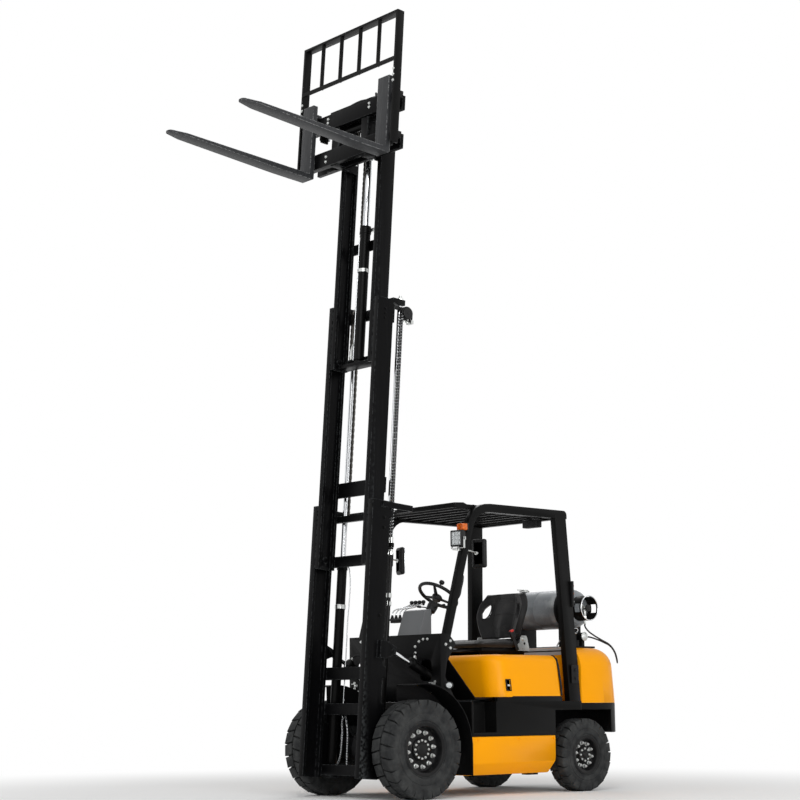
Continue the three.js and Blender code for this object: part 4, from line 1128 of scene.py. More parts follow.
# ---------------------------------------------------------------- camera, floor and light


@dataclass
class Studio:
    """A pale floor that fades to white, soft light from all round, and the camera near the floor."""

    camera_place: Point = (8.5518, 9.6972, 0.6511)
    camera_facing: Point = (-0.65187, -0.73910, 0.16969)
    camera_roll: float = math.radians(-0.4016)
    lens: float = 79.295
    floor_half: float = 40.0
    world_level: float = 0.62
    lights: dict[str, tuple[Point, float, float]] = field(
        default_factory=lambda: {
            "key": ((7.5, 7.0, 8.5), 5.0, 300.0),
            "side": ((3.2, 10.0, 3.2), 4.5, 330.0),
            "rim": ((-6.5, -6.0, 7.5), 4.0, 110.0),
            "front": ((9.5, -3.5, 4.0), 3.5, 60.0),
        }
    )

    def camera(self) -> None:
        """Adds the camera."""
        data = bpy.data.cameras.new("camera")
        data.lens = self.lens
        data.sensor_width = 36
        data.clip_end = 200
        camera = bpy.data.objects.new("camera", data)
        turn = Vector(self.camera_facing).to_track_quat("-Z", "Y").to_matrix().to_4x4()
        camera.matrix_world = Matrix.Translation(self.camera_place) @ turn @ Matrix.Rotation(
            self.camera_roll, 4, "Z",
        )
        bpy.context.scene.collection.objects.link(camera)
        bpy.context.scene.camera = camera

    def floor(self) -> None:
        """Adds the floor: pale round the truck, where it keeps the shadow, and white further off."""
        activate_none()
        bpy.ops.mesh.primitive_plane_add(size=2 * self.floor_half, location=(0, 0, 0))
        floor = settle(bpy.context.object, "floor")
        material = bpy.data.materials.new("pale_painted_floor")
        material.use_nodes = True
        tree = material.node_tree
        tree.nodes.clear()
        place = add_node(tree, "TexCoord").outputs["Object"]
        away = add_node(tree, "VectorMath", {0: place}, operation="LENGTH").outputs["Value"]
        cloud = add_node(tree, "TexNoise", {"Vector": place, "Scale": per(900), "Detail": 4.0}).outputs["Fac"]
        tones = {0: cloud, 6: linear("f7f7f6"), 7: linear("fbfbfb")}
        tone = add_node(tree, "Mix", tones, data_type="RGBA").outputs[2]
        paint = add_node(tree, "BsdfDiffuse", {"Color": tone})
        path = add_node(tree, "LightPath")
        seen = add_node(
            tree, "Math", {
                0: path.outputs["Is Camera Ray"],
                1: path.outputs["Is Glossy Ray"],
            }, operation="MAXIMUM"
        )
        seen = add_node(
            tree, "Math", {0: seen.outputs[0], 1: path.outputs["Is Transmission Ray"]}, operation="MAXIMUM",
        )
        fading = {"Value": away, "From Min": 2.2, "From Max": 6.0}
        fade = add_node(tree, "MapRange", fading, interpolation_type="SMOOTHSTEP").outputs[0]
        share = add_node(tree, "Math", {0: fade, 1: seen.outputs[0]}, operation="MULTIPLY").outputs[0]
        white = add_node(tree, "Emission", {"Color": (1, 1, 1, 1), "Strength": 1.0})
        mixed = add_node(tree, "MixShader", {0: share, 1: paint.outputs[0], 2: white.outputs[0]})
        add_node(tree, "OutputMaterial", {"Surface": mixed.outputs[0]})
        floor.data.materials.append(material)

    def world(self) -> None:
        """Lights everything evenly, and shows white behind the truck and in its shine."""
        world = bpy.data.worlds.new("soft_white_room")
        bpy.context.scene.world = world
        world.use_nodes = True
        tree = world.node_tree
        tree.nodes.clear()
        path = add_node(tree, "LightPath")
        seen = add_node(
            tree, "Math", {
                0: path.outputs["Is Camera Ray"],
                1: path.outputs["Is Glossy Ray"],
            }, operation="MAXIMUM"
        )
        seen = add_node(
            tree, "Math", {0: seen.outputs[0], 1: path.outputs["Is Transmission Ray"]}, operation="MAXIMUM",
        )
        height = add_node(
            tree, "SeparateXYZ", {0: add_node(tree, "TexCoord").outputs["Generated"]},
        ).outputs["Z"]
        soft = add_node(
            tree,
            "MapRange",
            {
                "Value": height,
                "From Min": -0.2,
                "From Max": 0.9,
                "To Min": self.world_level * 0.55,
                "To Max": self.world_level,
            },
        )
        dim = add_node(tree, "Background", {"Color": (1, 1, 1, 1), "Strength": soft.outputs[0]})
        white = add_node(tree, "Background", {"Color": (1, 1, 1, 1), "Strength": 1.0})
        mixed = add_node(tree, "MixShader", {0: seen.outputs[0], 1: dim.outputs[0], 2: white.outputs[0]})
        add_node(tree, "OutputWorld", {"Surface": mixed.outputs[0]})

    def lamps(self) -> None:
        """Adds large soft lamps that face the truck."""
        for name, (where, size, power) in self.lights.items():
            data = bpy.data.lights.new(name, "AREA")
            data.shape = "DISK"
            data.size = size
            data.energy = power
            lamp = bpy.data.objects.new(name, data)
            lamp.location = where
            lamp.rotation_euler = (
                Vector((0.0, 0.0, 2.0)) - Vector(where)
            ).to_track_quat("-Z", "Y").to_euler()
            bpy.context.scene.collection.objects.link(lamp)

    def build(self) -> None:
        """Sets up the whole studio."""
        bpy.context.scene.view_settings.view_transform = "Standard"
        self.camera()
        self.floor()
        self.world()
        self.lamps()


# ---------------------------------------------------------------- wheels


@dataclass
class Wheels:
    """Two wheels of one size: solid tyres with block lugs, on dished rims held by nuts.

    A boss is its radius and how far it stands out; nuts and hub bolts are their count, the radius of
    their circle and their own radius.
    """

    end: str
    radius: float
    width: float
    seat: float
    lugs: int
    disc_in: float
    boss: Pair
    bore: float
    nuts: tuple[int, float, float]
    hub_bolts: tuple[int, float, float]
    centre: Point = (0.0, 0.0, 0.0)

    def measure(self) -> None:
        """Takes the left wheel's middle from the frame."""
        low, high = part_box(f"tyre_{self.end}_left")
        self.centre = tuple((low + high) / 2)

    def carcass(self) -> Piece:
        """The tyre's body: beads, sidewalls with moulded rings, and the floor of the tread.

        Returns:
            The left tyre's body.
        """
        half, seat = self.width / 2, self.seat
        side_height = self.radius - seat
        wall = [
            (seat, half - 0.012), (seat + 0.008, half - 0.006), (seat + 0.02, half - 0.004),
            (seat + 0.023, half - 0.008), (seat + 0.026, half - 0.008), (seat + 0.03, half - 0.0025),
            (seat + side_height * 0.42, half - 0.001), (seat + side_height * 0.44, half - 0.004),
            (seat + side_height * 0.47, half - 0.004), (seat + side_height * 0.5, half - 0.001),
            (seat + side_height * 0.7, half - 0.003), (self.radius - 0.034, half - 0.009),
            (self.radius - 0.022, half - 0.02), (self.radius - 0.019, half - 0.04),
        ]
        profile = wall + [(self.radius - 0.018, 0.0)] + [(r, -y) for r, y in reversed(wall)]
        return turned(f"tyre_body_{self.end}", profile + [profile[0]], self.centre, Axis.Y, 72)

    def lug(self, out: float) -> Piece:
        """One lug at the top of the wheel, slanted back towards the shoulder.

        Args:
            out: 1 for the outer row and -1 for the inner row.

        Returns:
            The lug, still at the top.
        """
        pitch = math.tau * self.radius / self.lugs
        half, x, top = self.width / 2, self.centre[0], self.centre[2] + self.radius - 0.001
        lean = pitch * 0.2
        low = (x - pitch * 0.425, 0.007 * out, top - 0.03)
        high = (x + pitch * 0.425, (half - 0.002) * out, top)
        piece = block(f"lug_{self.end}", low, high)
        with editing(piece, "VERT") as shape:
            for vert in shape.verts:
                vert.select_set(vert.co.y * out > half * 0.5)
            shape.select_flush_mode()
            bpy.ops.transform.translate(value=(lean, 0, 0))
            bpy.ops.mesh.select_all(action="DESELECT")
        with editing(piece, "FACE") as shape:
            pick_faces(piece, shape, lambda c, n: n.y * out > 0.5)
            bpy.ops.mesh.extrude_region_move(TRANSFORM_OT_translate={"value": (0, 0, -self.radius * 0.085)})
            bpy.ops.transform.translate(value=(0, 0.0005 * out, 0))
        with editing(piece, "EDGE") as shape:
            pick_edges(
                piece,
                shape,
                lambda p, q: min(p.z, q.z) > top - 0.002 and min(p.y * out, q.y * out) > half - 0.01,
            )
            bpy.ops.mesh.bevel(offset=0.012, segments=2, affect="EDGES")
        soften(piece, 0.003, 1)
        piece.data.transform(Matrix.Translation((0, self.centre[1], 0)))
        return piece

    def tyre(self) -> Piece:
        """The left tyre with all its lugs, the two rows half a pitch apart.

        Returns:
            The left tyre.
        """
        rows = [
            ring_of("lugs", self.lug(1), self.lugs, self.centre, (0, 1, 0)),
            ring_of("lugs", self.lug(-1), self.lugs, self.centre, (0, 1, 0), 180 / self.lugs),
        ]
        return joined(f"tyre_{self.end}_left_rubber", self.carcass(), *rows)

    def rim(self) -> Piece:
        """The left rim: flange, barrel and dished disc with a raised hub.

        Returns:
            The left rim.
        """
        half, seat = self.width / 2, self.seat
        face = half - self.disc_in
        boss_radius, boss_out = self.boss
        profile = [
            (seat, half - 0.012), (seat, -(half - 0.012)), (seat - 0.012, -(half - 0.012)),
            (seat - 0.014, face - 0.026), (seat - 0.026, face - 0.014), (self.bore, face - 0.014),
            (self.bore, face + boss_out), (boss_radius - 0.006, face + boss_out),
            (boss_radius, face + boss_out - 0.006), (boss_radius + 0.002, face + 0.004),
            (boss_radius + 0.008, face), (seat - 0.034, face + 0.001), (seat - 0.022, face + 0.006),
            (seat - 0.016, face + 0.016), (seat - 0.0135, face + 0.03), (seat - 0.012, half - 0.013),
            (seat - 0.008, half - 0.006), (seat + 0.002, half - 0.002), (seat + 0.013, half - 0.0015),
            (seat + 0.015, half - 0.003), (seat + 0.015, half - 0.006), (seat + 0.001, half - 0.009),
        ]
        return turned(f"rim_{self.end}", profile + [profile[0]], self.centre, Axis.Y, 64)

    def nut_ring(self) -> Piece:
        """The wheel nuts on their studs, in a ring on the disc.

        Returns:
            The left wheel's nuts.
        """
        count, circle, radius = self.nuts
        x, y, z = self.centre
        face = y + self.width / 2 - self.disc_in
        nut = joined(
            "nut",
            rod(
                "nut_seat", (x, face - 0.002, z + circle), (x, face + 0.006, z + circle), radius * 1.35, 16,
                0.002,
            ),
            rod(
                "nut_hexagon", (x, face + 0.006, z + circle), (x, face + 0.022, z + circle), radius, 6,
                0.0015,
            ),
            rod(
                "nut_stud", (x, face + 0.018, z + circle), (x, face + 0.03, z + circle), radius * 0.52, 10,
                0.001,
            ),
        )
        return ring_of(f"nuts_{self.end}", nut, count, self.centre, (0, 1, 0), 8)

    def hub_ring(self) -> Piece:
        """The small bolts on the hub's face.

        Returns:
            The left wheel's hub bolts.
        """
        count, circle, radius = self.hub_bolts
        x, y, z = self.centre
        face = y + self.width / 2 - self.disc_in + self.boss[1]
        head = bolt("hub_bolt", (x, face - 0.001, z + circle), (0, 1, 0), radius, 0.008)
        return joined(f"hub_bolts_{self.end}", ring_of("hub_bolts", head, count, self.centre, (0, 1, 0)))

    def hub_cap(self) -> Piece:
        """The pressed cap that closes the hub's bore.

        Returns:
            The left wheel's hub cap.
        """
        x, y, z = self.centre
        face = y + self.width / 2 - self.disc_in + self.boss[1]
        profile = [
            (0.0, face + 0.010), (self.bore * 0.7, face + 0.009), (self.bore * 0.95, face + 0.003),
            (self.bore * 1.05, face - 0.004), (0.0, face - 0.004),
        ]
        return joined(f"hub_{self.end}", turned("hub_cap", profile, (x, 0, z), Axis.Y, 32))

    def build(self) -> None:
        """Makes the left wheel, then the right one as its mirror image."""
        self.measure()
        body = f"{self.end}_wheel"
        parts = {
            "tyre": (self.tyre(), RUBBER, "tyre_rubber", [f"tyre_{self.end}_"]),
            "rim": (
                joined(f"rim_{self.end}_left_pressing", self.rim()),
                RIM_BLACK,
                "rim_black",
                [f"rim_{self.end}_"],
            ),
            "nuts": (self.nut_ring(), ZINC, "chromed_rod", []),
            "hub_bolts": (self.hub_ring(), ZINC, "chromed_rod", []),
            "hub": (self.hub_cap(), RIM_BLACK, "rim_black", []),
        }
        for kind, (piece, finish, slot_name, nodes) in parts.items():
            piece.name = f"{self.end}_{kind}_left"
            other = mirrored(piece, f"{self.end}_{kind}_right")
            for side, made in (("left", piece), ("right", other)):
                for node in nodes:
                    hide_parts(node + side)
                place(made, f"{body}_{side}", finish, slot_name)


# ---------------------------------------------------------------- mast


@dataclass
class Mast:
    """The three stages with their cylinders, chains, pipes and hoses; sizes are taken on an upright mast."""

    outer: tuple[float, float, float, float] = (0.335, 0.220, 0.120, 2.050)
    middle: tuple[float, float, float, float] = (0.279, 0.235, 1.590, 3.540)
    cylinder: Point = (0.150, 0.252, 0.035)
    sheave: Point = (0.314, 0.092, 4.990)
    bolt_radius: float = 0.011

    def finished(self, piece: Piece, body: str, finish: Finish, slot_name: str) -> Piece:
        """Leans a piece drawn upright, and places it."""
        return place(leaned(piece), body, finish, slot_name)

    def stages(self) -> None:
        """Rounds the edges of the rails and cross plates of the three stages."""
        for node, body, width in (
            ("mast_outer", "outer_mast", 0.003),
            ("mast_middle", "middle_mast", 0.0025),
            ("mast_inner", "inner_mast", 0.0025),
        ):
            place(refined(node, node + "_rails", width), body, MAST_BLACK, "mast_black")

    def cylinders(self) -> None:
        """Turned lift cylinders: barrels with stepped glands, feet and clamps, and chromed rods."""
        x, y, radius = self.cylinder
        barrel_profile = [
            (0.0, 0.150), (radius * 0.8, 0.150), (radius * 0.8, 0.168), (radius, 0.178), (radius, 1.602),
            (radius + 0.0045, 1.606), (radius + 0.0045, 1.684), (radius + 0.002, 1.690),
            (radius + 0.002, 1.698), (0.0215, 1.700), (0.0215, 1.640), (0.0, 1.640),
        ]
        rod_profile = [
            (0.0, 1.66), (0.020, 1.66), (0.020, 3.49), (0.016, 3.495), (0.016, 3.512), (0.0, 3.512),
        ]
        clamp = [(radius, 1.32), (radius + 0.0045, 1.322), (radius + 0.0045, 1.352), (radius, 1.354)]
        for side, sign in SIDES.items():
            centre = (x, y * sign, 0)
            barrel = turned(f"lift_barrel_{side}", barrel_profile, centre, Axis.Z, 40)
            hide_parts(f"lift_cylinder_{side}")
            self.finished(barrel, "outer_mast", FRAME_BLACK, "mast_black")
            bar_piece = turned(f"lift_rod_{side}_ground", rod_profile, centre, Axis.Z, 32)
            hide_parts(f"lift_rod_{side}")
            self.finished(bar_piece, "middle_mast", CHROME, "chromed_rod")
            band = turned(f"barrel_clamp_{side}", clamp + [clamp[0]], centre, Axis.Z, 32)
            ear = block(
                "ear", (x - 0.012, (y + 0.034) * sign, 1.325), (x + 0.012, (y + 0.05) * sign, 1.349), 0.002,
            )
            self.finished(joined(f"barrel_band_{side}", band, ear), "outer_mast", ZINC, "chromed_rod")
            nut = rod(f"rod_nut_{side}", (x, y * sign, 3.56), (x, y * sign, 3.576), 0.021, 6, 0.002)
            stud = rod("rod_stud", (x, y * sign, 3.574), (x, y * sign, 3.592), 0.011, 12, 0.002)
            self.finished(joined(f"rod_nut_{side}", nut, stud), "middle_mast", ZINC, "chromed_rod")

    def free_lift(self) -> None:
        """The short middle cylinder, its rod, and the head that carries the chain wheels."""
        x = 0.306
        barrel_profile = [
            (0.0, 3.095), (0.030, 3.095), (0.030, 3.11), (0.0385, 3.118), (0.0385, 4.078), (0.0432, 4.082),
            (0.0432, 4.126), (0.040, 4.130), (0.040, 4.138), (0.0275, 4.140), (0.0275, 4.09), (0.0, 4.09),
        ]
        barrel = turned("free_lift_barrel", barrel_profile, (x, 0, 0), Axis.Z, 40)
        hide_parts("free_lift_cylinder")
        self.finished(barrel, "inner_mast", FRAME_BLACK, "mast_black")
        ring = [(0.0385, 3.78), (0.0425, 3.782), (0.0425, 3.806), (0.0385, 3.808)]
        self.finished(
            turned(
                "free_lift_clamp", ring + [ring[0]], (x, 0, 0), Axis.Z, 32,
            ), "inner_mast", ZINC, "chromed_rod"
        )
        piston = turned(
            "free_lift_piston", [(0.0, 4.10), (0.026, 4.10), (0.026, 4.958), (0.022, 4.962), (0.0, 4.962)],
            (x, 0, 0), Axis.Z, 36,
        )
        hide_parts("free_lift_rod")
        self.finished(piston, "lift_head", CHROME, "chromed_rod")
        sx, sy, sz = self.sheave
        yoke = block("yoke", (x - 0.033, -0.057, sz - 0.029), (x + 0.033, 0.057, sz + 0.029), 0.006)
        axle = rod("sheave_axle", (sx, -sy - 0.02, sz), (sx, sy + 0.02, sz), 0.0135, 20, 0.003)
        parts = [yoke, axle]
        groove = [
            (0.0145, -0.0125), (0.042, -0.0125), (0.0455, -0.012), (0.0455, -0.0095), (0.0375, -0.0085),
            (0.0375, 0.0085), (0.0455, 0.0095), (0.0455, 0.012), (0.042, 0.0125), (0.0145, 0.0125),
        ]
        for sign in SIDES.values():
            parts.append(turned("sheave", groove + [groove[0]], (sx, sy * sign, sz), Axis.Y, 40))
        self.finished(joined("chain_wheels", *parts), "lift_head", MAST_BLACK, "mast_black")

    def chain(self, name: str, x: float, y: float, low: float, high: float, pitch: float = 0.019) -> Piece:
        """A straight run of leaf chain, its inner and outer plates in turn on their pins.

        Args:
            name: The chain's name.
            x: Its place ahead on the mast.
            y: Its place across.
            low: Its lower end.
            high: Its upper end.
            pitch: From pin to pin.

        Returns:
            The run.
        """
        count = max(2, round((high - low) / pitch))
        step = (high - low) / count
        base = (x, y, low)
        half = step * 0.78
        outline = [
            (-0.0068, -half * 0.7), (0.0, -half), (0.0068, -half * 0.7), (0.0068, half * 0.7), (0.0, half),
            (-0.0068, half * 0.7),
        ]
        outline = [(base[0] + a, base[2] + b + step / 2) for a, b in outline]
        wide = joined(
            "wide_link",
            *[plate("leaf", outline, y + a, y + a + 0.0022) for a in (-0.0098, -0.0036, 0.0014, 0.0076)],
            rod("pin", (x, y - 0.0112, low), (x, y + 0.0112, low), 0.0032, 8),
        )
        narrow = joined(
            "narrow_link",
            *[plate("leaf", outline, y + a, y + a + 0.0022) for a in (-0.0067, -0.0011, 0.0045)],
            rod("pin", (x, y - 0.0112, low), (x, y + 0.0112, low), 0.0032, 8),
        )
        wides = row_of("wides", wide, [(0, 0, i * step) for i in range(0, count, 2)])
        narrows = row_of("narrows", narrow, [(0, 0, i * step) for i in range(1, count, 2)])
        return joined(name, wides, narrows)

    def wrap(self, name: str, x: float, y: float, z: float, radius: float, links: int = 7) -> Piece:
        """The half turn of leaf chain over a wheel, link by link.

        Args:
            name: The chain's name.
            x: The wheel's middle ahead on the mast.
            y: The wheel's middle across.
            z: The wheel's middle height.
            radius: From the wheel's middle to the chain's middle.
            links: Links over the wheel.

        Returns:
            The half turn.
        """
        centre = (x, y, z)
        pieces = []
        for i in range(links):
            turn = math.radians(-90 + 180 * (i + 0.5) / links)
            link = block(
                "over", (x - 0.0125, y - 0.0098, z + radius - 0.006),
                (x + 0.0125, y + 0.0098, z + radius + 0.006), 0.003, 1,
            )
            pivot = Matrix.Translation(centre)
            link.data.transform(pivot @ Matrix.Rotation(turn, 4, "Y") @ pivot.inverted())
            pieces.append(link)
        return joined(name, *pieces)

    def chains(self) -> None:
        """Lift chains: over the free-lift wheels to the carriage, and from stage to stage."""
        sx, sy, sz = self.sheave
        reach = 0.0435
        for side, sign in SIDES.items():
            y = sy * sign
            over = self.wrap(f"carriage_chain_over_{side}", sx, y, sz, reach)
            self.finished(over, "lift_head", STEEL, "mast_black")
            back = leaned(self.chain(f"carriage_chain_back_{side}", sx - reach, y, 4.16, sz))
            back.data.materials.append(STEEL.material())
            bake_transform(back)
            front = leaned(self.chain(f"carriage_chain_front_{side}", sx + reach, y, 4.70, sz))
            front.data.materials.append(STEEL.material())
            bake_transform(front)
            anchor = joined(
                f"chain_anchor_{side}",
                rod("anchor_rod", (sx + reach, y, 4.63), (sx + reach, y, 4.70), 0.007, 12, 0.001),
                block("anchor_lug", (0.345, y - 0.016, 4.640), (0.392, y + 0.016, 4.668), 0.003),
                rod("anchor_nut", (sx + reach, y, 4.625), (sx + reach, y, 4.639), 0.012, 6, 0.001),
            )
            self.finished(anchor, "fork_carriage", ZINC, "chromed_rod")
            tail = joined(
                f"chain_tail_{side}",
                rod("tail_rod", (sx - reach, y, 4.09), (sx - reach, y, 4.165), 0.007, 12, 0.001),
                block(
                    "tail_lug", (0.262, min(y, 0.03 * sign), 4.098),
                    (0.29, max(y + 0.012 * sign, 0.03 * sign), 4.122), 0.003,
                ),
                rod("tail_nut", (sx - reach, y, 4.082), (sx - reach, y, 4.097), 0.012, 6, 0.001),
            )
            self.finished(tail, "inner_mast", ZINC, "chromed_rod")
            self.stage_chain(side, sign)

    def stage_chain(self, side: str, sign: float) -> None:
        """The chain that lifts the inner stage, from the outer stage over the middle stage's wheel.

        Args:
            side: left or right.
            sign: 1 or -1.
        """
        y, wheel_x, wheel_z, radius = 0.172 * sign, 0.214, 3.502, 0.03
        groove = [
            (0.008, -0.011), (0.028, -0.011), (0.031, -0.0105), (0.031, -0.0085), (0.0255, -0.0075),
            (0.0255, 0.0075), (0.031, 0.0085), (0.031, 0.0105), (0.028, 0.011), (0.008, 0.011),
        ]
        wheel = joined(
            f"stage_wheel_{side}",
            turned("wheel", groove + [groove[0]], (wheel_x, y, wheel_z), Axis.Y, 32),
            rod("wheel_pin", (wheel_x, y - 0.02, wheel_z), (wheel_x, y + 0.02, wheel_z), 0.0085, 16, 0.001),
            block(
                "wheel_cheek", (wheel_x - 0.012, y + 0.013, wheel_z - 0.03),
                (0.236, y + 0.018, wheel_z + 0.02), 0.002,
            ),
            block(
                "wheel_cheek", (wheel_x - 0.012, y - 0.018, wheel_z - 0.03),
                (0.236, y - 0.013, wheel_z + 0.02), 0.002,
            ),
        )
        self.finished(wheel, "middle_mast", MAST_BLACK, "mast_black")
        over = self.wrap(f"stage_chain_over_{side}", wheel_x, y, wheel_z, radius, 5)
        self.finished(over, "middle_mast", STEEL, "mast_black")
        back = leaned(self.chain(f"stage_chain_back_{side}", wheel_x - radius, y, 2.00, wheel_z, 0.022))
        back.data.materials.append(STEEL.material())
        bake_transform(back)
        front = leaned(self.chain(f"stage_chain_front_{side}", wheel_x + radius, y, 3.11, wheel_z, 0.022))
        front.data.materials.append(STEEL.material())
        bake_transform(front)

    def armoured_hoses(self) -> None:
        """Two hoses in spring armour that hang behind the left rails, over a wheel on the middle stage."""
        for i, y in enumerate((0.292, 0.315)):
            x, top, low = 0.178, 3.44, 1.80
            turns = 74
            core = rod("core", (x, y, low), (x, y, top), 0.007, 12)
            core.data.materials.append(HOSE.material())
            route = []
            steps = 10
            for k in range(turns * steps + 1):
                angle = math.tau * k / steps
                route.append(
                    (
                        x + 0.0098 * math.cos(angle),
                        y + 0.0098 * math.sin(angle),
                        low + (top - low) * k / (turns * steps),
                    )
                )
            coil = pipe("coil", route, 0.0021, 4, bend=False)
            coil.data.materials.append(SPRING.material())
            hose = leaned(joined(f"armoured_hose_{i}", core, coil))
            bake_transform(hose)
        wheel_profile = [
            (0.010, 0.2805), (0.040, 0.2805), (0.044, 0.2825), (0.036, 0.2855), (0.036, 0.300),
            (0.044, 0.3035), (0.036, 0.307), (0.036, 0.323), (0.044, 0.328), (0.040, 0.331), (0.010, 0.331),
        ]
        hub_x, hub_z = 0.132, 3.452
        wheel = turned("hose_wheel", wheel_profile + [wheel_profile[0]], (hub_x, 0, hub_z), Axis.Y, 40)
        hub = rod("hose_wheel_pin", (hub_x, 0.2745, hub_z), (hub_x, 0.3325, hub_z), 0.0105, 16, 0.001)
        outline = [
            (hub_x - 0.016, hub_z - 0.012), (hub_x + 0.014, hub_z - 0.012), (hub_x + 0.04, hub_z + 0.02),
            (0.240, hub_z + 0.02), (0.240, hub_z + 0.05), (hub_x + 0.01, hub_z + 0.05),
        ]
        arm = plate("hose_wheel_arm", outline, 0.2745, 0.2785)
        self.finished(joined("hose_wheel", wheel, hub, arm), "middle_mast", BLACK_ABS, "black_plastic")
        union = block(
            "hose_union", (hub_x - 0.056, 0.2745, hub_z - 0.072), (hub_x - 0.032, 0.328, hub_z - 0.044),
            0.002,
        )
        strut = block(
            "union_strut", (hub_x - 0.056, 0.2745, hub_z - 0.06), (hub_x + 0.012, 0.2785, hub_z - 0.008),
            0.001,
        )
        self.finished(joined("hose_union_block", union, strut), "middle_mast", ZINC, "chromed_rod")
        for i, y in enumerate((0.292, 0.315)):
            turn = [math.radians(angle) for angle in (-10, 10, 40, 70, 100, 130, 160, 180)]
            loop = [(hub_x + 0.0445 * math.cos(a), y, hub_z + 0.0445 * math.sin(a)) for a in turn]
            loop.append((hub_x - 0.0445, y, hub_z - 0.045))
            self.finished(pipe(f"hose_over_wheel_{i}", loop, 0.0072, 10), "middle_mast", HOSE, "hose_rubber")

    def clamp(self, name: str, z: float, ys: Sequence[float], x: float = 0.178) -> Piece:
        """A block that clamps pipes to the rail, with a bolt between them.

        Args:
            name: The clamp's name.
            z: Its height.
            ys: Where the pipes pass.
            x: The pipes' place ahead on the mast.

        Returns:
            The clamp.
        """
        low, high = min(ys) - 0.016, max(ys) + 0.016
        body = block(name, (x - 0.014, low, z - 0.016), (x + 0.014, high, z + 0.016), 0.003)
        middle = (low + high) / 2
        head = bolt("clamp_bolt", (x - 0.014, middle, z), (-1, 0, 0), 0.008, 0.008)
        return joined(name, body, head)

    def pipes(self) -> None:
        """Oil pipes on the outer stage, from the floor valve to the hoses and to both lift cylinders."""
        for i, y in enumerate((0.292, 0.315)):
            end = rod("crimp", (0.178, y, 1.70), (0.178, y, 1.80), 0.0115, 16, 0.001)
            nut = rod("crimp_nut", (0.178, y, 1.675), (0.178, y, 1.70), 0.0135, 6, 0.001)
            self.finished(joined(f"hose_crimp_{i}", end, nut), "outer_mast", ZINC, "chromed_rod")
            route = [
                (0.178, y, 1.68), (0.178, y, 1.45), (0.180, y, 1.15),
                (0.186, y - 0.006, 0.98), (0.190, y - 0.014, 0.80), (0.190, y - 0.02, 0.62),
            ]
            self.finished(pipe(f"mast_pipe_{i}", route, 0.0062, 10), "outer_mast", HOSE, "hose_rubber")
        for i, z in enumerate((1.745, 1.39, 1.05)):
            self.finished(
                self.clamp(f"pipe_clamp_{i}", z, (0.292, 0.315)), "outer_mast",
                ZINC if i == 1 else FRAME_BLACK, "chromed_rod",
            )
        bracket = block("hose_bracket", (0.172, 0.27, 1.715), (0.222, 0.334, 1.727), 0.002)
        self.finished(bracket, "outer_mast", FRAME_BLACK, "mast_black")
        x, y, radius = self.cylinder
        for side, sign in SIDES.items():
            route = [
                (x, (y - radius - 0.004) * sign, 0.20), (x - 0.005, (y - 0.07) * sign, 0.24),
                (x - 0.01, (y - 0.09) * sign, 0.40), (x - 0.008, (y - 0.105) * sign, 0.55),
                (x - 0.004, (y - 0.14) * sign, 0.50), (x, (y - 0.165) * sign, 0.30),
                (x, (y - 0.17) * sign, 0.175),
            ]
            self.finished(pipe(f"braided_hose_{side}", route, 0.0078, 12), "outer_mast", BRAID, "chromed_rod")
            elbow = rod(
                f"cylinder_port_{side}", (x, (y - radius + 0.006) * sign, 0.20),
                (x, (y - radius - 0.016) * sign, 0.20), 0.0135, 6, 0.001,
            )
            self.finished(elbow, "outer_mast", ZINC, "chromed_rod")
            vent = [
                (x - 0.02, (y - 0.028) * sign, 1.655), (x - 0.034, (y - 0.045) * sign, 1.60),
                (x - 0.036, (y - 0.05) * sign, 1.2), (x - 0.036, (y - 0.05) * sign, 0.7),
                (x - 0.034, (y - 0.05) * sign, 0.3),
            ]
            self.finished(pipe(f"return_pipe_{side}", vent, 0.0042, 8), "outer_mast", CHROME, "chromed_rod")
        bridge = [
            (x, -(y - 0.17), 0.18), (x - 0.01, -0.05, 0.168), (x - 0.01, 0.05, 0.168), (x, y - 0.17, 0.18),
        ]
        self.finished(pipe("cross_pipe", bridge, 0.0075, 10), "outer_mast", ZINC, "chromed_rod")

    def stage_hoses(self) -> None:
        """The hoses that feed the free-lift cylinder and the carriage, beside the free-lift barrel."""
        for i, (y, finish, radius) in enumerate(((-0.062, HOSE, 0.0085), (-0.086, CHROME, 0.005))):
            route = [(0.29, y, 3.13), (0.288, y, 3.4), (0.288, y, 3.8), (0.29, y, 4.05)]
            self.finished(pipe(f"free_lift_feed_{i}", route, radius, 10), "inner_mast", finish, "hose_rubber")
        elbow = [(0.30, -0.03, 3.25), (0.298, -0.075, 3.25), (0.29, -0.11, 3.22), (0.285, -0.12, 3.14)]
        self.finished(pipe("free_lift_elbow", elbow, 0.008, 12), "inner_mast", ZINC, "chromed_rod")
        for i, y in enumerate((0.055, 0.075)):
            route = [(0.256, y, 3.10), (0.246, y, 3.30), (0.246, y, 3.90), (0.252, y, 4.10)]
            self.finished(pipe(f"shift_feed_{i}", route, 0.0072, 10), "inner_mast", HOSE, "hose_rubber")

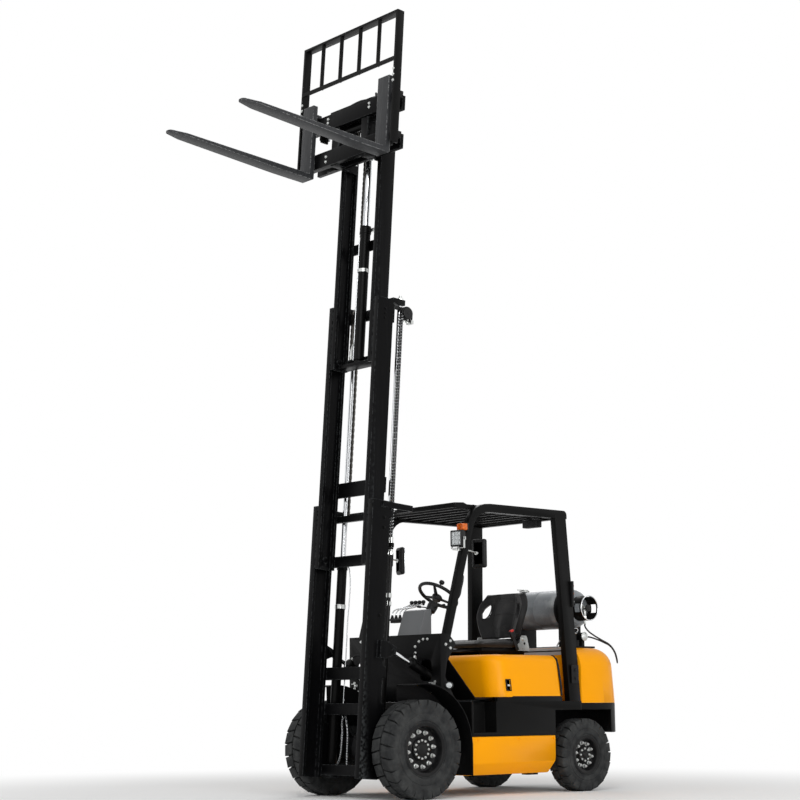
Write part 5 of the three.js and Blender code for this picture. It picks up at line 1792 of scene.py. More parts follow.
    def bolts(self) -> None:
        """Bolts on the rails, the stops and the blocks at the rails' tops."""
        half, back, _, high = self.outer
        heads = []
        for sign in SIDES.values():
            for z in (0.19, 0.24, 1.24, 1.86, 1.93):
                heads.append(
                    bolt("rail_bolt", (back + 0.05, half * sign, z), (0, sign, 0), self.bolt_radius, 0.009)
                )
            for z in (0.156, 0.196, 0.583, 0.617):
                heads.append(bolt("plate_bolt", (0.1915, 0.28 * sign, z), (-1, 0, 0), 0.009, 0.008))
        self.finished(joined("outer_mast_bolts", *heads), "outer_mast", FRAME_BLACK, "mast_black")
        blocks = []
        for sign in SIDES.values():
            y0, y1 = sorted(((half - 0.045) * sign, (half - 0.005) * sign))
            blocks.append(block("stop", (0.372, y0, high - 0.11), (0.3865, y1, high - 0.035), 0.002))
        self.finished(joined("outer_mast_stops", *blocks), "outer_mast", FRAME_BLACK, "mast_black")
        half, back, low, high = self.middle
        caps = []
        for sign in SIDES.values():
            caps.append(
                block(
                    "cap", (back - 0.018, (half - 0.04) * sign, high - 0.17),
                    (back + 0.004, (half - 0.002) * sign, high - 0.06), 0.004,
                )
            )
            for z in (high - 0.15, high - 0.115, high - 0.08):
                caps.append(bolt("cap_bolt", (0.31, half * sign, z), (0, sign, 0), 0.008, 0.007))
        self.finished(joined("middle_mast_caps", *caps), "middle_mast", FRAME_BLACK, "mast_black")

    def build(self) -> None:
        """Builds the whole mast."""
        self.stages()
        self.cylinders()
        self.free_lift()
        self.chains()
        self.armoured_hoses()
        self.pipes()
        self.stage_hoses()
        self.bolts()


# ---------------------------------------------------------------- carriage, backrest and forks


@dataclass
class ForkCarriage:
    """The carriage, side shifter, load backrest and forks; sizes are taken on an upright mast."""

    heel: float = 4.535
    face: float = 0.532
    fork_y: float = 0.438
    fork_width: float = 0.122

    def finished(self, piece: Piece, body: str, finish: Finish, slot_name: str = "mast_black") -> Piece:
        """Leans a piece drawn upright, and places it."""
        return place(leaned(piece), body, finish, slot_name)

    def plates(self) -> None:
        """Rounds the edges of the plates, frames and forks."""
        for node, body, width, finish in (
            ("carriage", "fork_carriage", 0.003, MAST_BLACK),
            ("side_shifter", "fork_frame", 0.003, MAST_BLACK),
            ("load_backrest", "fork_frame", 0.0035, FRAME_BLACK),
            ("fork_left", "fork_frame", 0.004, FORK_BLACK),
            ("fork_right", "fork_frame", 0.004, FORK_BLACK),
        ):
            place(refined(node, node + "_steel", width), body, finish, "mast_black")

    def shift_cylinder(self) -> None:
        """The cylinder that moves the frame sideways, with a chromed rod at each end and its two hoses."""
        z, x = self.heel + 0.335, 0.452
        half = [(0.027, 0.160), (0.031, 0.165), (0.031, 0.194), (0.026, 0.20), (0.0, 0.20)]
        barrel = [(radius, -y) for radius, y in reversed(half)] + half
        self.finished(turned("shift_barrel", barrel, (x, 0, z), Axis.Y, 32), "fork_carriage", FRAME_BLACK)
        for side, sign in SIDES.items():
            stick = rod(f"shift_rod_{side}", (x, 0.19 * sign, z), (x, 0.335 * sign, z), 0.013, 24, 0.001)
            self.finished(stick, "fork_frame", CHROME, "chromed_rod")
            eye = joined(
                f"shift_eye_{side}",
                rod("eye_nut", (x, 0.325 * sign, z), (x, 0.35 * sign, z), 0.021, 6, 0.002),
                block("eye_lug", (x - 0.02, 0.35 * sign, z - 0.03), (0.50, 0.366 * sign, z + 0.03), 0.003),
            )
            self.finished(eye, "fork_frame", FRAME_BLACK)
            seat = block(
                f"shift_seat_{side}", (0.416, 0.15 * sign, z - 0.034), (x + 0.012, 0.185 * sign, z + 0.034),
                0.003,
            )
            self.finished(seat, "fork_carriage", MAST_BLACK)
            port = rod(
                f"shift_port_{side}", (x + 0.022, 0.17 * sign, z), (x + 0.044, 0.17 * sign, z + 0.01), 0.009,
                6, 0.001,
            )
            hose = pipe(
                f"shift_hose_{side}",
                [
                    (x + 0.04, 0.17 * sign, z + 0.008), (x + 0.052, 0.165 * sign, z + 0.05),
                    (x + 0.045, 0.15 * sign, z + 0.13), (x + 0.01, 0.13 * sign + 0.02, z + 0.19),
                    (x - 0.03, 0.135, z + 0.175 - 0.01 * sign), (x - 0.045, 0.14 + 0.02 * sign, z + 0.165),
                ],
                0.0065,
                10,
            )
            self.finished(port, "fork_carriage", ZINC, "chromed_rod")
            self.finished(hose, "fork_carriage", HOSE, "hose_rubber")

    def valve(self) -> None:
        """The small valve block above the upper bar, its fittings, and the hose loops that feed it."""
        x, y, z = 0.405, 0.140, self.heel + 0.50
        body = joined(
            "shift_valve",
            block("valve_cube", (x - 0.028, y - 0.055, z - 0.017), (x + 0.028, y + 0.055, z + 0.045), 0.004),
            rod("valve_plug", (x, y + 0.055, z + 0.014), (x, y + 0.078, z + 0.014), 0.014, 6, 0.002),
            rod("valve_plug", (x, y - 0.055, z + 0.014), (x, y - 0.074, z + 0.014), 0.014, 6, 0.002),
            rod("valve_cap", (x, y, z + 0.045), (x, y, z + 0.066), 0.0155, 24, 0.003),
        )
        self.finished(body, "fork_carriage", GREY_ABS, "mast_black")
        for i, (reach, rise) in enumerate(((0.09, 0.11), (0.115, 0.085))):
            loop = pipe(
                f"valve_loop_{i}",
                [
                    (x - 0.01, y + 0.02 - 0.04 * i, z + 0.04),
                    (x - 0.03, y - 0.02, z + rise),
                    (x - reach, y - 0.06, z + rise - 0.01),
                    (x - reach - 0.02, y - 0.07, z - 0.03),
                    (x - reach - 0.01, y - 0.075 - 0.02 * i, z - 0.20),
                    (x - 0.1, y - 0.08 - 0.02 * i, z - 0.36),
                ],
                0.0072,
                10,
            )
            self.finished(loop, "fork_carriage", HOSE, "hose_rubber")

    def fork_details(self) -> None:
        """Hooks and locking pins that hold the forks."""
        heel = self.heel
        ahead, behind, lip = self.face - 0.006, self.face - 0.05, self.face - 0.036
        hook = [
            (ahead, heel + 0.49), (self.face + 0.02, heel + 0.49), (self.face + 0.02, heel + 0.528),
            (behind, heel + 0.528), (behind, heel + 0.488), (lip, heel + 0.488), (lip, heel + 0.503),
            (ahead, heel + 0.503),
        ]
        for side, sign in SIDES.items():
            y = self.fork_y * sign
            low, high = y - self.fork_width / 2 + 0.006, y + self.fork_width / 2 - 0.006
            hooks = joined(
                f"fork_hook_{side}",
                plate("upper_hook", hook, low, high, 0.003),
                rod(
                    "lock_pin", (self.face - 0.012, y, heel + 0.52), (self.face - 0.012, y, heel + 0.566),
                    0.009, 16, 0.002,
                ),
                rod(
                    "lock_knob", (self.face - 0.012, y, heel + 0.560), (self.face - 0.012, y, heel + 0.58),
                    0.016, 20, 0.004,
                ),
            )
            self.finished(hooks, "fork_frame", FORK_BLACK)

    def backrest_details(self) -> None:
        """Bolts of the backrest and its frame, and the slide pads on the carriage."""
        heel = self.heel
        heads = []
        for sign in SIDES.values():
            for z in (0.60, 0.645, 0.69):
                heads.append(
                    bolt("rest_bolt", (0.564, 0.535 * sign, heel + z - 0.06), (1, 0, 0), 0.009, 0.008)
                )
            for z in (0.12, 0.16, 0.43, 0.46):
                heads.append(
                    bolt("frame_bolt", (0.532, 0.40 * sign * 0.6, heel + z - 0.01), (1, 0, 0), 0.009, 0.008)
                )
        self.finished(joined("backrest_bolts", *heads), "fork_frame", ZINC, "chromed_rod")
        pads = [
            block("slide_pad", (0.419, y - 0.05, heel + z), (0.432, y + 0.05, heel + z + 0.012), 0.002)
            for y in (-0.3, 0.3)
            for z in (0.075, 0.473)
        ]
        self.finished(joined("slide_pads", *pads), "fork_carriage", BLACK_ABS, "mast_black")

    def build(self) -> None:
        """Builds the carriage and all that it carries."""
        self.plates()
        self.shift_cylinder()
        self.valve()
        self.fork_details()
        self.backrest_details()


# ---------------------------------------------------------------- chassis, tanks and axles


@dataclass
class Chassis:
    """The frame, the side tanks, the floor, the cowl with its mudguards, and what hangs on them."""

    half: float = 0.550
    cowl_x: float = -0.215
    cowl_half: float = 0.500
    wheel_radius: float = 0.338

    def steel(self) -> None:
        """Rounds the edges of the frame's own nodes, and paints the rounded copies."""
        for node, width, finish, slot_name in (
            ("chassis_frame", 0.004, FRAME_BLACK, "frame_black"),
            ("fuel_side_tank", 0.008, YELLOW_ENAMEL, "body_yellow"),
            ("hydraulic_side_tank", 0.008, YELLOW_ENAMEL, "body_yellow"),
            ("front_cowl", 0.003, SHEET_BLACK, "sheet_black"),
            ("floor_plate", 0.002, SHEET_BLACK, "sheet_black"),
            ("front_fender_left", 0.002, SHEET_BLACK, "sheet_black"),
            ("front_fender_right", 0.002, SHEET_BLACK, "sheet_black"),
            ("engine_block", 0.012, ENGINE_GREY, "engine_grey"),
            ("steer_axle", 0.005, RIM_BLACK, "sheet_black"),
            ("drive_axle", 0.004, RIM_BLACK, "sheet_black"),
        ):
            place(refined(node, node + "_finished", width), "chassis", finish, slot_name)
        for side in SIDES:
            body = f"knuckle_{side}"
            place(
                refined(f"steering_knuckle_{side}", f"knuckle_{side}_casting", 0.004),
                body,
                RIM_BLACK,
                "sheet_black",
            )

    def tilt_cylinders(self) -> None:
        """The tilt cylinders: barrels with glands, ports and hoses, and chromed rods with their eyes."""
        for side, sign in SIDES.items():
            for kind, finish, slot_name, width in (
                ("barrel", FRAME_BLACK, "sheet_black", 0.0025),
                ("rod", CHROME, "chromed_rod", 0.0015),
            ):
                body = f"tilt_{kind}_{side}"
                place(refined(body, body + "_turned", width), body, finish, slot_name)
            low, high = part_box(f"tilt_barrel_{side}")
            y = (low.y + high.y) / 2
            along = Vector((math.cos(math.radians(25)), 0, math.sin(math.radians(25))))
            top = Vector((high.x - 0.02, y, high.z - 0.022))
            gland = rod(
                f"tilt_gland_{side}", tuple(top - along * 0.035), tuple(top - along * 0.002), 0.0375, 32,
                0.003,
            )
            port = rod(
                f"tilt_port_{side}", tuple(top - along * 0.03 + Vector((-0.012, 0, 0.03))),
                tuple(top - along * 0.03 + Vector((-0.022, 0, 0.053))), 0.011, 6, 0.001,
            )
            place(joined(f"tilt_gland_{side}", gland), f"tilt_barrel_{side}", FRAME_BLACK, "sheet_black")
            place(port, f"tilt_barrel_{side}", ZINC, "chromed_rod")
            start = top - along * 0.03 + Vector((-0.02, 0, 0.05))
            inward = Vector((0, -0.07 * sign, 0))
            route = [
                start, start + Vector((-0.016, 0, 0.02)) + inward * 0.3,
                start + Vector((-0.05, 0, 0.0)) + inward, start + Vector((-0.09, 0, -0.05)) + inward * 1.3,
            ]
            place(
                pipe(f"tilt_hose_{side}", [tuple(p) for p in route], 0.0062, 10),
                f"tilt_barrel_{side}",
                HOSE,
                "hose_rubber",
            )

    def cowl_details(self) -> None:
        """Bolts in groups on the cowl, the lamp on its side and the zinc tabs."""
        x = self.cowl_x
        heads = []
        cowl_places = (
            (0.235, 1.05), (0.235, 1.005), (0.235, 0.96), (0.235, 0.915), (0.275, 1.085), (0.32, 1.1),
            (0.365, 1.1), (0.44, 0.80), (0.44, 0.76), (0.40, 0.735),
        )
        for sign in SIDES.values():
            for y, z in cowl_places:
                heads.append(bolt("cowl_bolt", at(x, y * sign, z), (1, 0, 0), 0.0085, 0.008))
            for along, z in ((-0.095, 1.085), (-0.095, 1.035), (-0.05, 1.06)):
                heads.append(
                    bolt("wing_bolt", at(x + along, self.cowl_half * sign, z), (0, sign, 0), 0.0085, 0.007)
                )
        place(joined("cowl_bolts", *heads), "chassis", ZINC, "chromed_rod")
        tabs = []
        for sign in SIDES.values():
            tabs.append(block("tab", at(x, 0.405 * sign, 0.79), at(x + 0.03, 0.445 * sign, 0.796), 0.001))
            tabs.append(
                block("tab_foot", at(x, 0.405 * sign, 0.77), at(x + 0.004, 0.445 * sign, 0.796), 0.001)
            )
        place(joined("hose_tabs", *tabs), "chassis", ZINC, "chromed_rod")
        for side, sign in SIDES.items():
            lens_profile = [(0.0, 0.0), (0.0, 0.010), (0.012, 0.0095), (0.022, 0.006), (0.026, 0.0)]
            lens = turned("side_lens", lens_profile + [lens_profile[0]], (0, 0, 0), Axis.Y, 32)
            lens.data.transform(Matrix.Diagonal((1.25, sign, 0.82, 1)))
            if sign < 0:
                lens.data.flip_normals()
            lens.data.transform(
                Matrix.Translation(at(x - 0.075, self.cowl_half * sign + 0.001 * sign, 0.775))
            )
            place(joined(f"side_lamp_lens_{side}", lens), "chassis", CLEAR, "console_grey")
            ring = turned(
                "bezel",
                [
                    (0.025, -0.001), (0.034, -0.001), (0.034, 0.004), (0.031, 0.008), (0.026, 0.008),
                    (0.025, 0.004), (0.025, -0.001),
                ],
                (0, 0, 0),
                Axis.Y,
                32,
            )
            ring.data.transform(Matrix.Diagonal((1.25, sign, 0.82, 1)))
            if sign < 0:
                ring.data.flip_normals()
            ring.data.transform(Matrix.Translation(at(x - 0.075, self.cowl_half * sign, 0.775)))
            place(joined(f"side_lamp_bezel_{side}", ring), "chassis", LAMP_ABS, "black_plastic")

    def cowl_hoses(self) -> None:
        """Hoses and pipes that come through the cowl to the mast, with their crimped ends."""
        x = self.cowl_x
        for i, y in enumerate((0.16, 0.13, -0.12, -0.15)):
            route = [
                at(x - 0.005, y, 0.62), at(x + 0.02, y, 0.60), at(x + 0.05, y * 1.02, 0.54),
                at(x + 0.055, y * 1.05, 0.46), at(x + 0.03, y, 0.40),
            ]
            place(pipe(f"cowl_hose_{i}", route, 0.009, 10), "chassis", HOSE, "hose_rubber")
            end = rod(
                f"cowl_hose_end_{i}", at(x - 0.002, y, 0.622), at(x + 0.03, y, 0.592), 0.0115, 16, 0.001,
            )
            place(end, "chassis", ZINC, "chromed_rod")

    def step_and_floor(self) -> None:
        """Ribbed treads in the foot steps, a rubber mat with ribs on the floor, and the pedals."""
        ribs = []
        for sign in SIDES.values():
            for i in range(9):
                px = -0.498 - i * 0.023
                ribs.append(
                    block(
                        "rib", at(px - 0.005, (self.half - 0.105) * sign, 0.4405),
                        at(px + 0.005, (self.half - 0.012) * sign, 0.4445), 0.001, 1,
                    )
                )
        place(joined("step_ribs", *ribs), "chassis", FRAME_BLACK, "frame_black")
        mat = block("mat", at(-0.700, -0.46, 0.6825), at(-0.575, 0.46, 0.687), 0.002)
        lines = [
            block("mat_rib", at(-0.695, y - 0.008, 0.686), at(-0.58, y + 0.008, 0.6895), 0.0015, 1)
            for y in [0.44 - 0.04 * i for i in range(23)]
        ]
        place(joined("floor_mat", mat, *lines), "chassis", TRIM, "hose_rubber")
        arms = []
        for y, width in ((0.17, 0.032), (0.10, 0.032), (-0.16, 0.028)):
            pad = block("pad", (-0.030, y - width, -0.004), (0.030, y + width, 0.006), 0.004)
            bars = [
                block(
                    "pad_rib", (-0.026 + 0.0125 * i, y - width + 0.004, 0.005),
                    (-0.020 + 0.0125 * i, y + width - 0.004, 0.009), 0.001, 1,
                )
                for i in range(5)
            ]
            whole = joined("pad", pad, *bars)
            whole.data.transform(
                Matrix.Translation(at(-0.505, 0, 0.835)) @ Matrix.Rotation(math.radians(38), 4, "Y")
            )
            arms.append(whole)
            arms.append(
                pipe("pedal_arm", [at(-0.50, y, 0.832), at(-0.47, y, 0.86), at(-0.43, y, 0.90)], 0.006, 8)
            )
        place(joined("pedals", *arms), "chassis", BLACK_ABS, "black_plastic")

    def tank_details(self) -> None:
        """Feet and bolts on the side tanks, and the drain plugs under them."""
        parts = []
        for sign in SIDES.values():
            for x in (-0.60, -1.15):
                parts.append(
                    block(
                        "tank_foot", at(x - 0.05, 0.40 * sign, 0.132), at(x + 0.05, 0.47 * sign, 0.146),
                        0.002,
                    )
                )
            parts.append(
                rod("drain", at(-0.85, 0.42 * sign, 0.136), at(-0.85, 0.42 * sign, 0.146), 0.014, 6, 0.001)
            )
        place(joined("tank_feet", *parts), "chassis", FRAME_BLACK, "frame_black")
        bolts = [
            bolt("tank_bolt", at(x, self.half * sign, 0.395), (0, sign, 0), 0.008, 0.006)
            for sign in SIDES.values()
            for x in (-0.52, -0.93, -1.29)
        ]
        place(joined("tank_bolts", *bolts), "chassis", YELLOW_ENAMEL, "body_yellow")

    def build(self) -> None:
        """Builds the frame and all that is fixed to it."""
        self.steel()
        self.tilt_cylinders()
        self.cowl_details()
        self.cowl_hoses()
        self.step_and_floor()
        self.tank_details()


# ---------------------------------------------------------------- driver's place


@dataclass
class DriverPlace:
    """The console, the steering column and wheel, and the levers beside it."""

    hub: Point = (-0.632, 0.0, 1.405)
    base: Point = (-0.478, 0.0, 1.180)
    wheel_radius: float = 0.150
    rim: float = 0.013

    def console(self) -> None:
        """The moulded console: a rounded cover with a meter panel, gauges and screws."""
        cover = refined("instrument_console", "console_cover", 0.014, 4)
        place(cover, "chassis", GREY_ABS, "console_grey")
        low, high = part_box("instrument_console")
        x = low.x - datum()
        face = block("meter_panel", (-0.002, -0.075, -0.045), (0.004, 0.075, 0.045), 0.003)
        marks = [
            turned(
                "gauge",
                [(0.016, 0.0), (0.020, 0.0), (0.020, 0.006), (0.016, 0.006), (0.016, 0.0)],
                (0, y, 0),
                Axis.X,
                24,
            )
            for y in (-0.045, 0.0, 0.045)
        ]
        panel = joined("meter_panel", face, *marks)
        panel.data.transform(
            Matrix.Translation(at(x + 0.028, 0, 1.235)) @ Matrix.Rotation(
                math.radians(180), 4, "Z",
            ) @ Matrix.Rotation(math.radians(-12), 4, "Y")
        )
        place(panel, "chassis", LAMP_ABS, "black_plastic")
        screws = [
            bolt("console_screw", at(high.x - datum() - 0.001, y, z), (1, 0, 0), 0.005, 0.004)
            for y in (-0.095, 0.095)
            for z in (1.10, 1.02)
        ]
        place(joined("console_screws", *screws), "chassis", ZINC, "chromed_rod")

    def column(self) -> None:
        """The steering column: a rubber boot, the tube, a shroud under the hub, and the direction lever."""
        start, end = Vector(self.base), Vector(self.hub)
        along = (end - start).normalized()
        length = (end - start).length
        profile = [
            (0.0, -0.02), (0.050, -0.02), (0.052, 0.0), (0.046, 0.012), (0.048, 0.02), (0.041, 0.032),
            (0.043, 0.04), (0.034, 0.055), (0.024, 0.065), (0.023, length - 0.11), (0.036, length - 0.10),
            (0.040, length - 0.06), (0.038, length - 0.035), (0.022, length - 0.030), (0.0, length - 0.030),
        ]
        column = turned("column", profile, (0, 0, 0), Axis.Z, 36)
        column.data.transform(
            Matrix.Translation(at(*start)) @ along.to_track_quat("Z", "Y").to_matrix().to_4x4()
        )
        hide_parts("steering_column")
        place(column, "chassis", BLACK_ABS, "black_plastic")
        root = Vector(at(*(start + along * (length - 0.075))))
        for i, (side, finish) in enumerate(((1, BLACK_ABS), (-1, BLACK_ABS))):
            stalk = pipe(
                f"stalk_{i}",
                [
                    tuple(root + Vector((0, 0.03 * side, 0))),
                    tuple(root + Vector((0.0, 0.07 * side, 0.01))),
                    tuple(root + Vector((0.005, 0.125 * side, 0.016))),
                ],
                0.0045,
                8,
            )
            knob = rod(
                "knob", tuple(root + Vector((0.004, 0.115 * side, 0.015))),
                tuple(root + Vector((0.006, 0.15 * side, 0.02))), 0.009, 16, 0.003,
            )
            place(joined(f"column_stalk_{i}", stalk, knob), "chassis", finish, "black_plastic")

    def wheel(self) -> None:
        """The steering wheel: a rim, three spokes, a domed hub with a horn button, and a spinner knob."""
        radius, rim = self.wheel_radius, self.rim
        ring = [
            (radius + rim * math.cos(math.tau * i / 14), rim * math.sin(math.tau * i / 14))
            for i in range(14)
        ]
        hoop = turned("hoop", ring + [ring[0]], (0, 0, 0), Axis.Z, 56)
        hub = turned(
            "hub",
            [
                (0.0, -0.048), (0.026, -0.048), (0.034, -0.040), (0.040, -0.02), (0.040, -0.012),
                (0.032, -0.004), (0.022, 0.0), (0.0, 0.001),
            ],
            (0, 0, 0),
            Axis.Z,
            36,
        )
        spokes = []
        for i in range(3):
            turn = Matrix.Rotation(math.tau * i / 3, 4, "Z")
            spoke = block("spoke", (0.028, -0.015, -0.026), (radius - 0.004, 0.015, -0.014), 0.004)
            with editing(spoke, "VERT") as shape:
                for vert in shape.verts:
                    vert.select_set(vert.co.x > radius * 0.5)
                shape.select_flush_mode()
                bpy.ops.transform.translate(value=(0, 0, 0.018))
                bpy.ops.transform.resize(value=(1, 0.6, 0.8))
            spoke.data.transform(turn)
            spokes.append(spoke)
        knob_at = (radius * math.cos(2.4), radius * math.sin(2.4))
        knob = turned(
            "knob",
            [
                (0.0, 0.0), (0.006, 0.0), (0.006, 0.012), (0.018, 0.016), (0.021, 0.026), (0.018, 0.037),
                (0.009, 0.042), (0.0, 0.043),
            ],
            (*knob_at, 0.01),
            Axis.Z,
            24,
        )
        whole = joined("steering_wheel_moulding", hoop, hub, *spokes, knob)
        low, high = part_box("steering_wheel")
        middle = (low + high) / 2
        facing = Vector((self.base[0] - self.hub[0], 0, self.hub[2] - self.base[2]))
        facing = Vector(self.hub) - Vector(self.base)
        whole.data.transform(Matrix.Translation(middle) @ facing.to_track_quat("Z", "Y").to_matrix().to_4x4())
        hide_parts("steering_wheel")
        place(whole, "steering_wheel", BLACK_ABS, "black_plastic")

    def levers(self) -> None:
        """The hydraulic levers: bent rods with rubber boots and pear-shaped knobs on a plate."""
        low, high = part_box("hydraulic_levers")
        count = 4
        width = (high.y - low.y) * 0.72
        parts, knobs = [], []
        for i in range(count):
            y = (low.y + high.y) / 2 - width / 2 + width * i / (count - 1)
            foot = Vector((high.x - 0.045, y, low.z + 0.03))
            tip = Vector((low.x + 0.035, y, high.z - 0.03))
            route = [
                foot, foot + Vector((-0.005, 0, 0.05)), foot.lerp(tip, 0.6) + Vector((0.0, 0, 0.02)), tip,
            ]
            parts.append(pipe("lever", [tuple(p) for p in route], 0.005, 10))
            boot = turned(
                "boot",
                [
                    (0.0, -0.004), (0.017, -0.004), (0.017, 0.004), (0.012, 0.008), (0.0135, 0.013),
                    (0.009, 0.018), (0.01, 0.023), (0.006, 0.03), (0.0, 0.03),
                ],
                tuple(foot),
                Axis.Z,
                16,
            )
            knobs.append(boot)
            knob = turned(
                "knob",
                [
                    (0.0, -0.014), (0.006, -0.014), (0.009, -0.006), (0.015, 0.006), (0.0165, 0.014),
                    (0.013, 0.022), (0.006, 0.026), (0.0, 0.0265),
                ],
                tuple(tip),
                Axis.Z,
                18,
            )
            knobs.append(knob)
        plate_piece = block(
            "lever_plate", (high.x - 0.085, low.y + 0.004, low.z + 0.016),
            (high.x - 0.004, high.y - 0.004, low.z + 0.03), 0.004,
        )
        post = block(
            "lever_post", (high.x - 0.06, low.y + 0.03, low.z), (high.x - 0.02, high.y - 0.03, low.z + 0.018),
            0.003,
        )
        rods = joined("lever_rods", *parts)
        place(rods, "chassis", CHROME, "chromed_rod")
        tops = joined("lever_knobs", *knobs, plate_piece, post)
        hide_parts("hydraulic_levers")
        place(tops, "chassis", BLACK_ABS, "black_plastic")

    def build(self) -> None:
        """Builds what stands in front of the driver."""
        self.console()
        self.column()
        self.wheel()
        self.levers()


# ---------------------------------------------------------------- hood and seat


@dataclass
class Hood:
    """The engine hood, which lifts with the seat on it, its rubber trim and its latches."""

    front: float = -0.722
    rear: float = -1.392
    bottom: float = 0.692
    top: float = 0.998
    half: float = 0.550
    side_lean: float = 0.045
    sheet: float = 0.005

    def shell(self) -> None:
        """The pressed hood: leaning sides, broad front corners, rounded top edges, open underneath."""
        low, high = at(self.rear, -self.half, self.bottom), at(self.front, self.half, self.top)
        piece = block("hood_shell", low, high)
        with editing(piece, "FACE") as shape:
            pick_faces(piece, shape, lambda c, n: n.z > 0.5)
            scale = (self.half - self.side_lean) / self.half
            bpy.ops.transform.resize(value=(1, scale, 1), center_override=(0, 0, self.top))
            bpy.ops.mesh.select_all(action="DESELECT")
            pick_faces(piece, shape, lambda c, n: n.z < -0.5)
            bpy.ops.mesh.delete(type="FACE")
        front = high[0]
        with editing(piece, "EDGE") as shape:
            pick_edges(piece, shape, lambda p, q: min(p.x, q.x) > front - 0.01 and abs(p.z - q.z) > 0.1)
            bpy.ops.mesh.bevel(offset=0.15, segments=10, affect="EDGES")
        with editing(piece, "EDGE") as shape:
            pick_edges(
                piece,
                shape,
                lambda p, q: min(p.z, q.z) > self.top - 0.001 and max(p.x, q.x) - low[0] > 0.01,
            )
            bpy.ops.mesh.bevel(offset=0.055, segments=6, affect="EDGES")
        with editing(piece, "EDGE") as shape:
            pick_edges(
                piece,
                shape,
                lambda p, q: max(p.x, q.x) < low[0] + 0.001
                and (
                    (round(p.x, 4) == round(q.x, 4) and min(p.z, q.z) > self.bottom + 0.01)
                    or abs(p.z - q.z) > 0.1
                ),
            )
            bpy.ops.mesh.bevel(offset=0.03, segments=4, affect="EDGES")
        with editing(piece, "FACE"):
            bpy.ops.mesh.select_all(action="SELECT")
            bpy.ops.mesh.remove_doubles(threshold=1e-4)
            bpy.ops.mesh.normals_make_consistent(inside=False)
        activate(piece)
        thick = piece.modifiers.new("sheet", "SOLIDIFY")
        thick.thickness = self.sheet
        thick.offset = -1
        bpy.ops.object.modifier_apply(modifier=thick.name)
        smooth(piece)
        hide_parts("engine_hood")
        place(piece, "hood", YELLOW_ENAMEL, "body_yellow")

    def trim(self) -> None:
        """Rubber trim round the hood's rear edge and along its lower edges."""
        x = self.rear + 0.004
        top = self.half - self.side_lean
        bow = [
            (self.half - 0.006, self.bottom + 0.01), (self.half - 0.008, self.bottom + 0.08),
            (top + 0.012, self.top - 0.09), (top - 0.004, self.top - 0.032),
            (top - 0.040, self.top - 0.006), (top - 0.09, self.top - 0.0045),
        ]
        route = [at(x, y, z) for y, z in bow] + [at(x, -y, z) for y, z in reversed(bow)]
        place(pipe("hood_rear_trim", route, 0.0075, 8, bend=False), "hood", TRIM, "hose_rubber")
        lows = []
        for sign in SIDES.values():
            edge = [
                at(self.rear + 0.02, (self.half - 0.003) * sign, self.bottom + 0.002),
                at(self.front - 0.15, (self.half - 0.003) * sign, self.bottom + 0.002),
            ]
            lows.append(pipe("low_trim", edge, 0.0045, 8, bend=False))
        place(joined("hood_low_trim", *lows), "hood", TRIM, "hose_rubber")

    def latches(self) -> None:
        """A recessed flush latch on each side: black dish, bezel and grey paddle."""
        for side, sign in SIDES.items():
            x, z = -0.845, 0.777
            lean = self.side_lean / (self.top - self.bottom)
            y = self.half - (z - self.bottom) * lean
            tilt = Matrix.Translation(at(x, y * sign, z)) @ Matrix.Rotation(-math.atan(lean) * -sign, 4, "X")
            bezel = block("bezel", (-0.026, -0.003, -0.043), (0.026, 0.004, 0.043), 0.005, 3)
            with editing(bezel, "FACE") as shape:
                pick_faces(bezel, shape, lambda c, n: n.y * sign > 0.9)
                bpy.ops.mesh.inset(thickness=0.006)
                bpy.ops.mesh.extrude_region_move(TRANSFORM_OT_translate={"value": (0, -0.005 * sign, 0)})
            lever = block(
                "lever", (-0.013, -0.003 if sign < 0 else 0.0, -0.010),
                (0.013, 0.0 if sign < 0 else 0.003, 0.004), 0.002,
            )
            bezel.data.transform(tilt)
            lever.data.transform(tilt)
            place(joined(f"latch_{side}", bezel), "hood", LAMP_ABS, "black_plastic")
            place(joined(f"latch_paddle_{side}", lever), "hood", ZINC, "chromed_rod")

    def build(self) -> None:
        """Builds the hood."""
        self.shell()
        self.trim()
        self.latches()


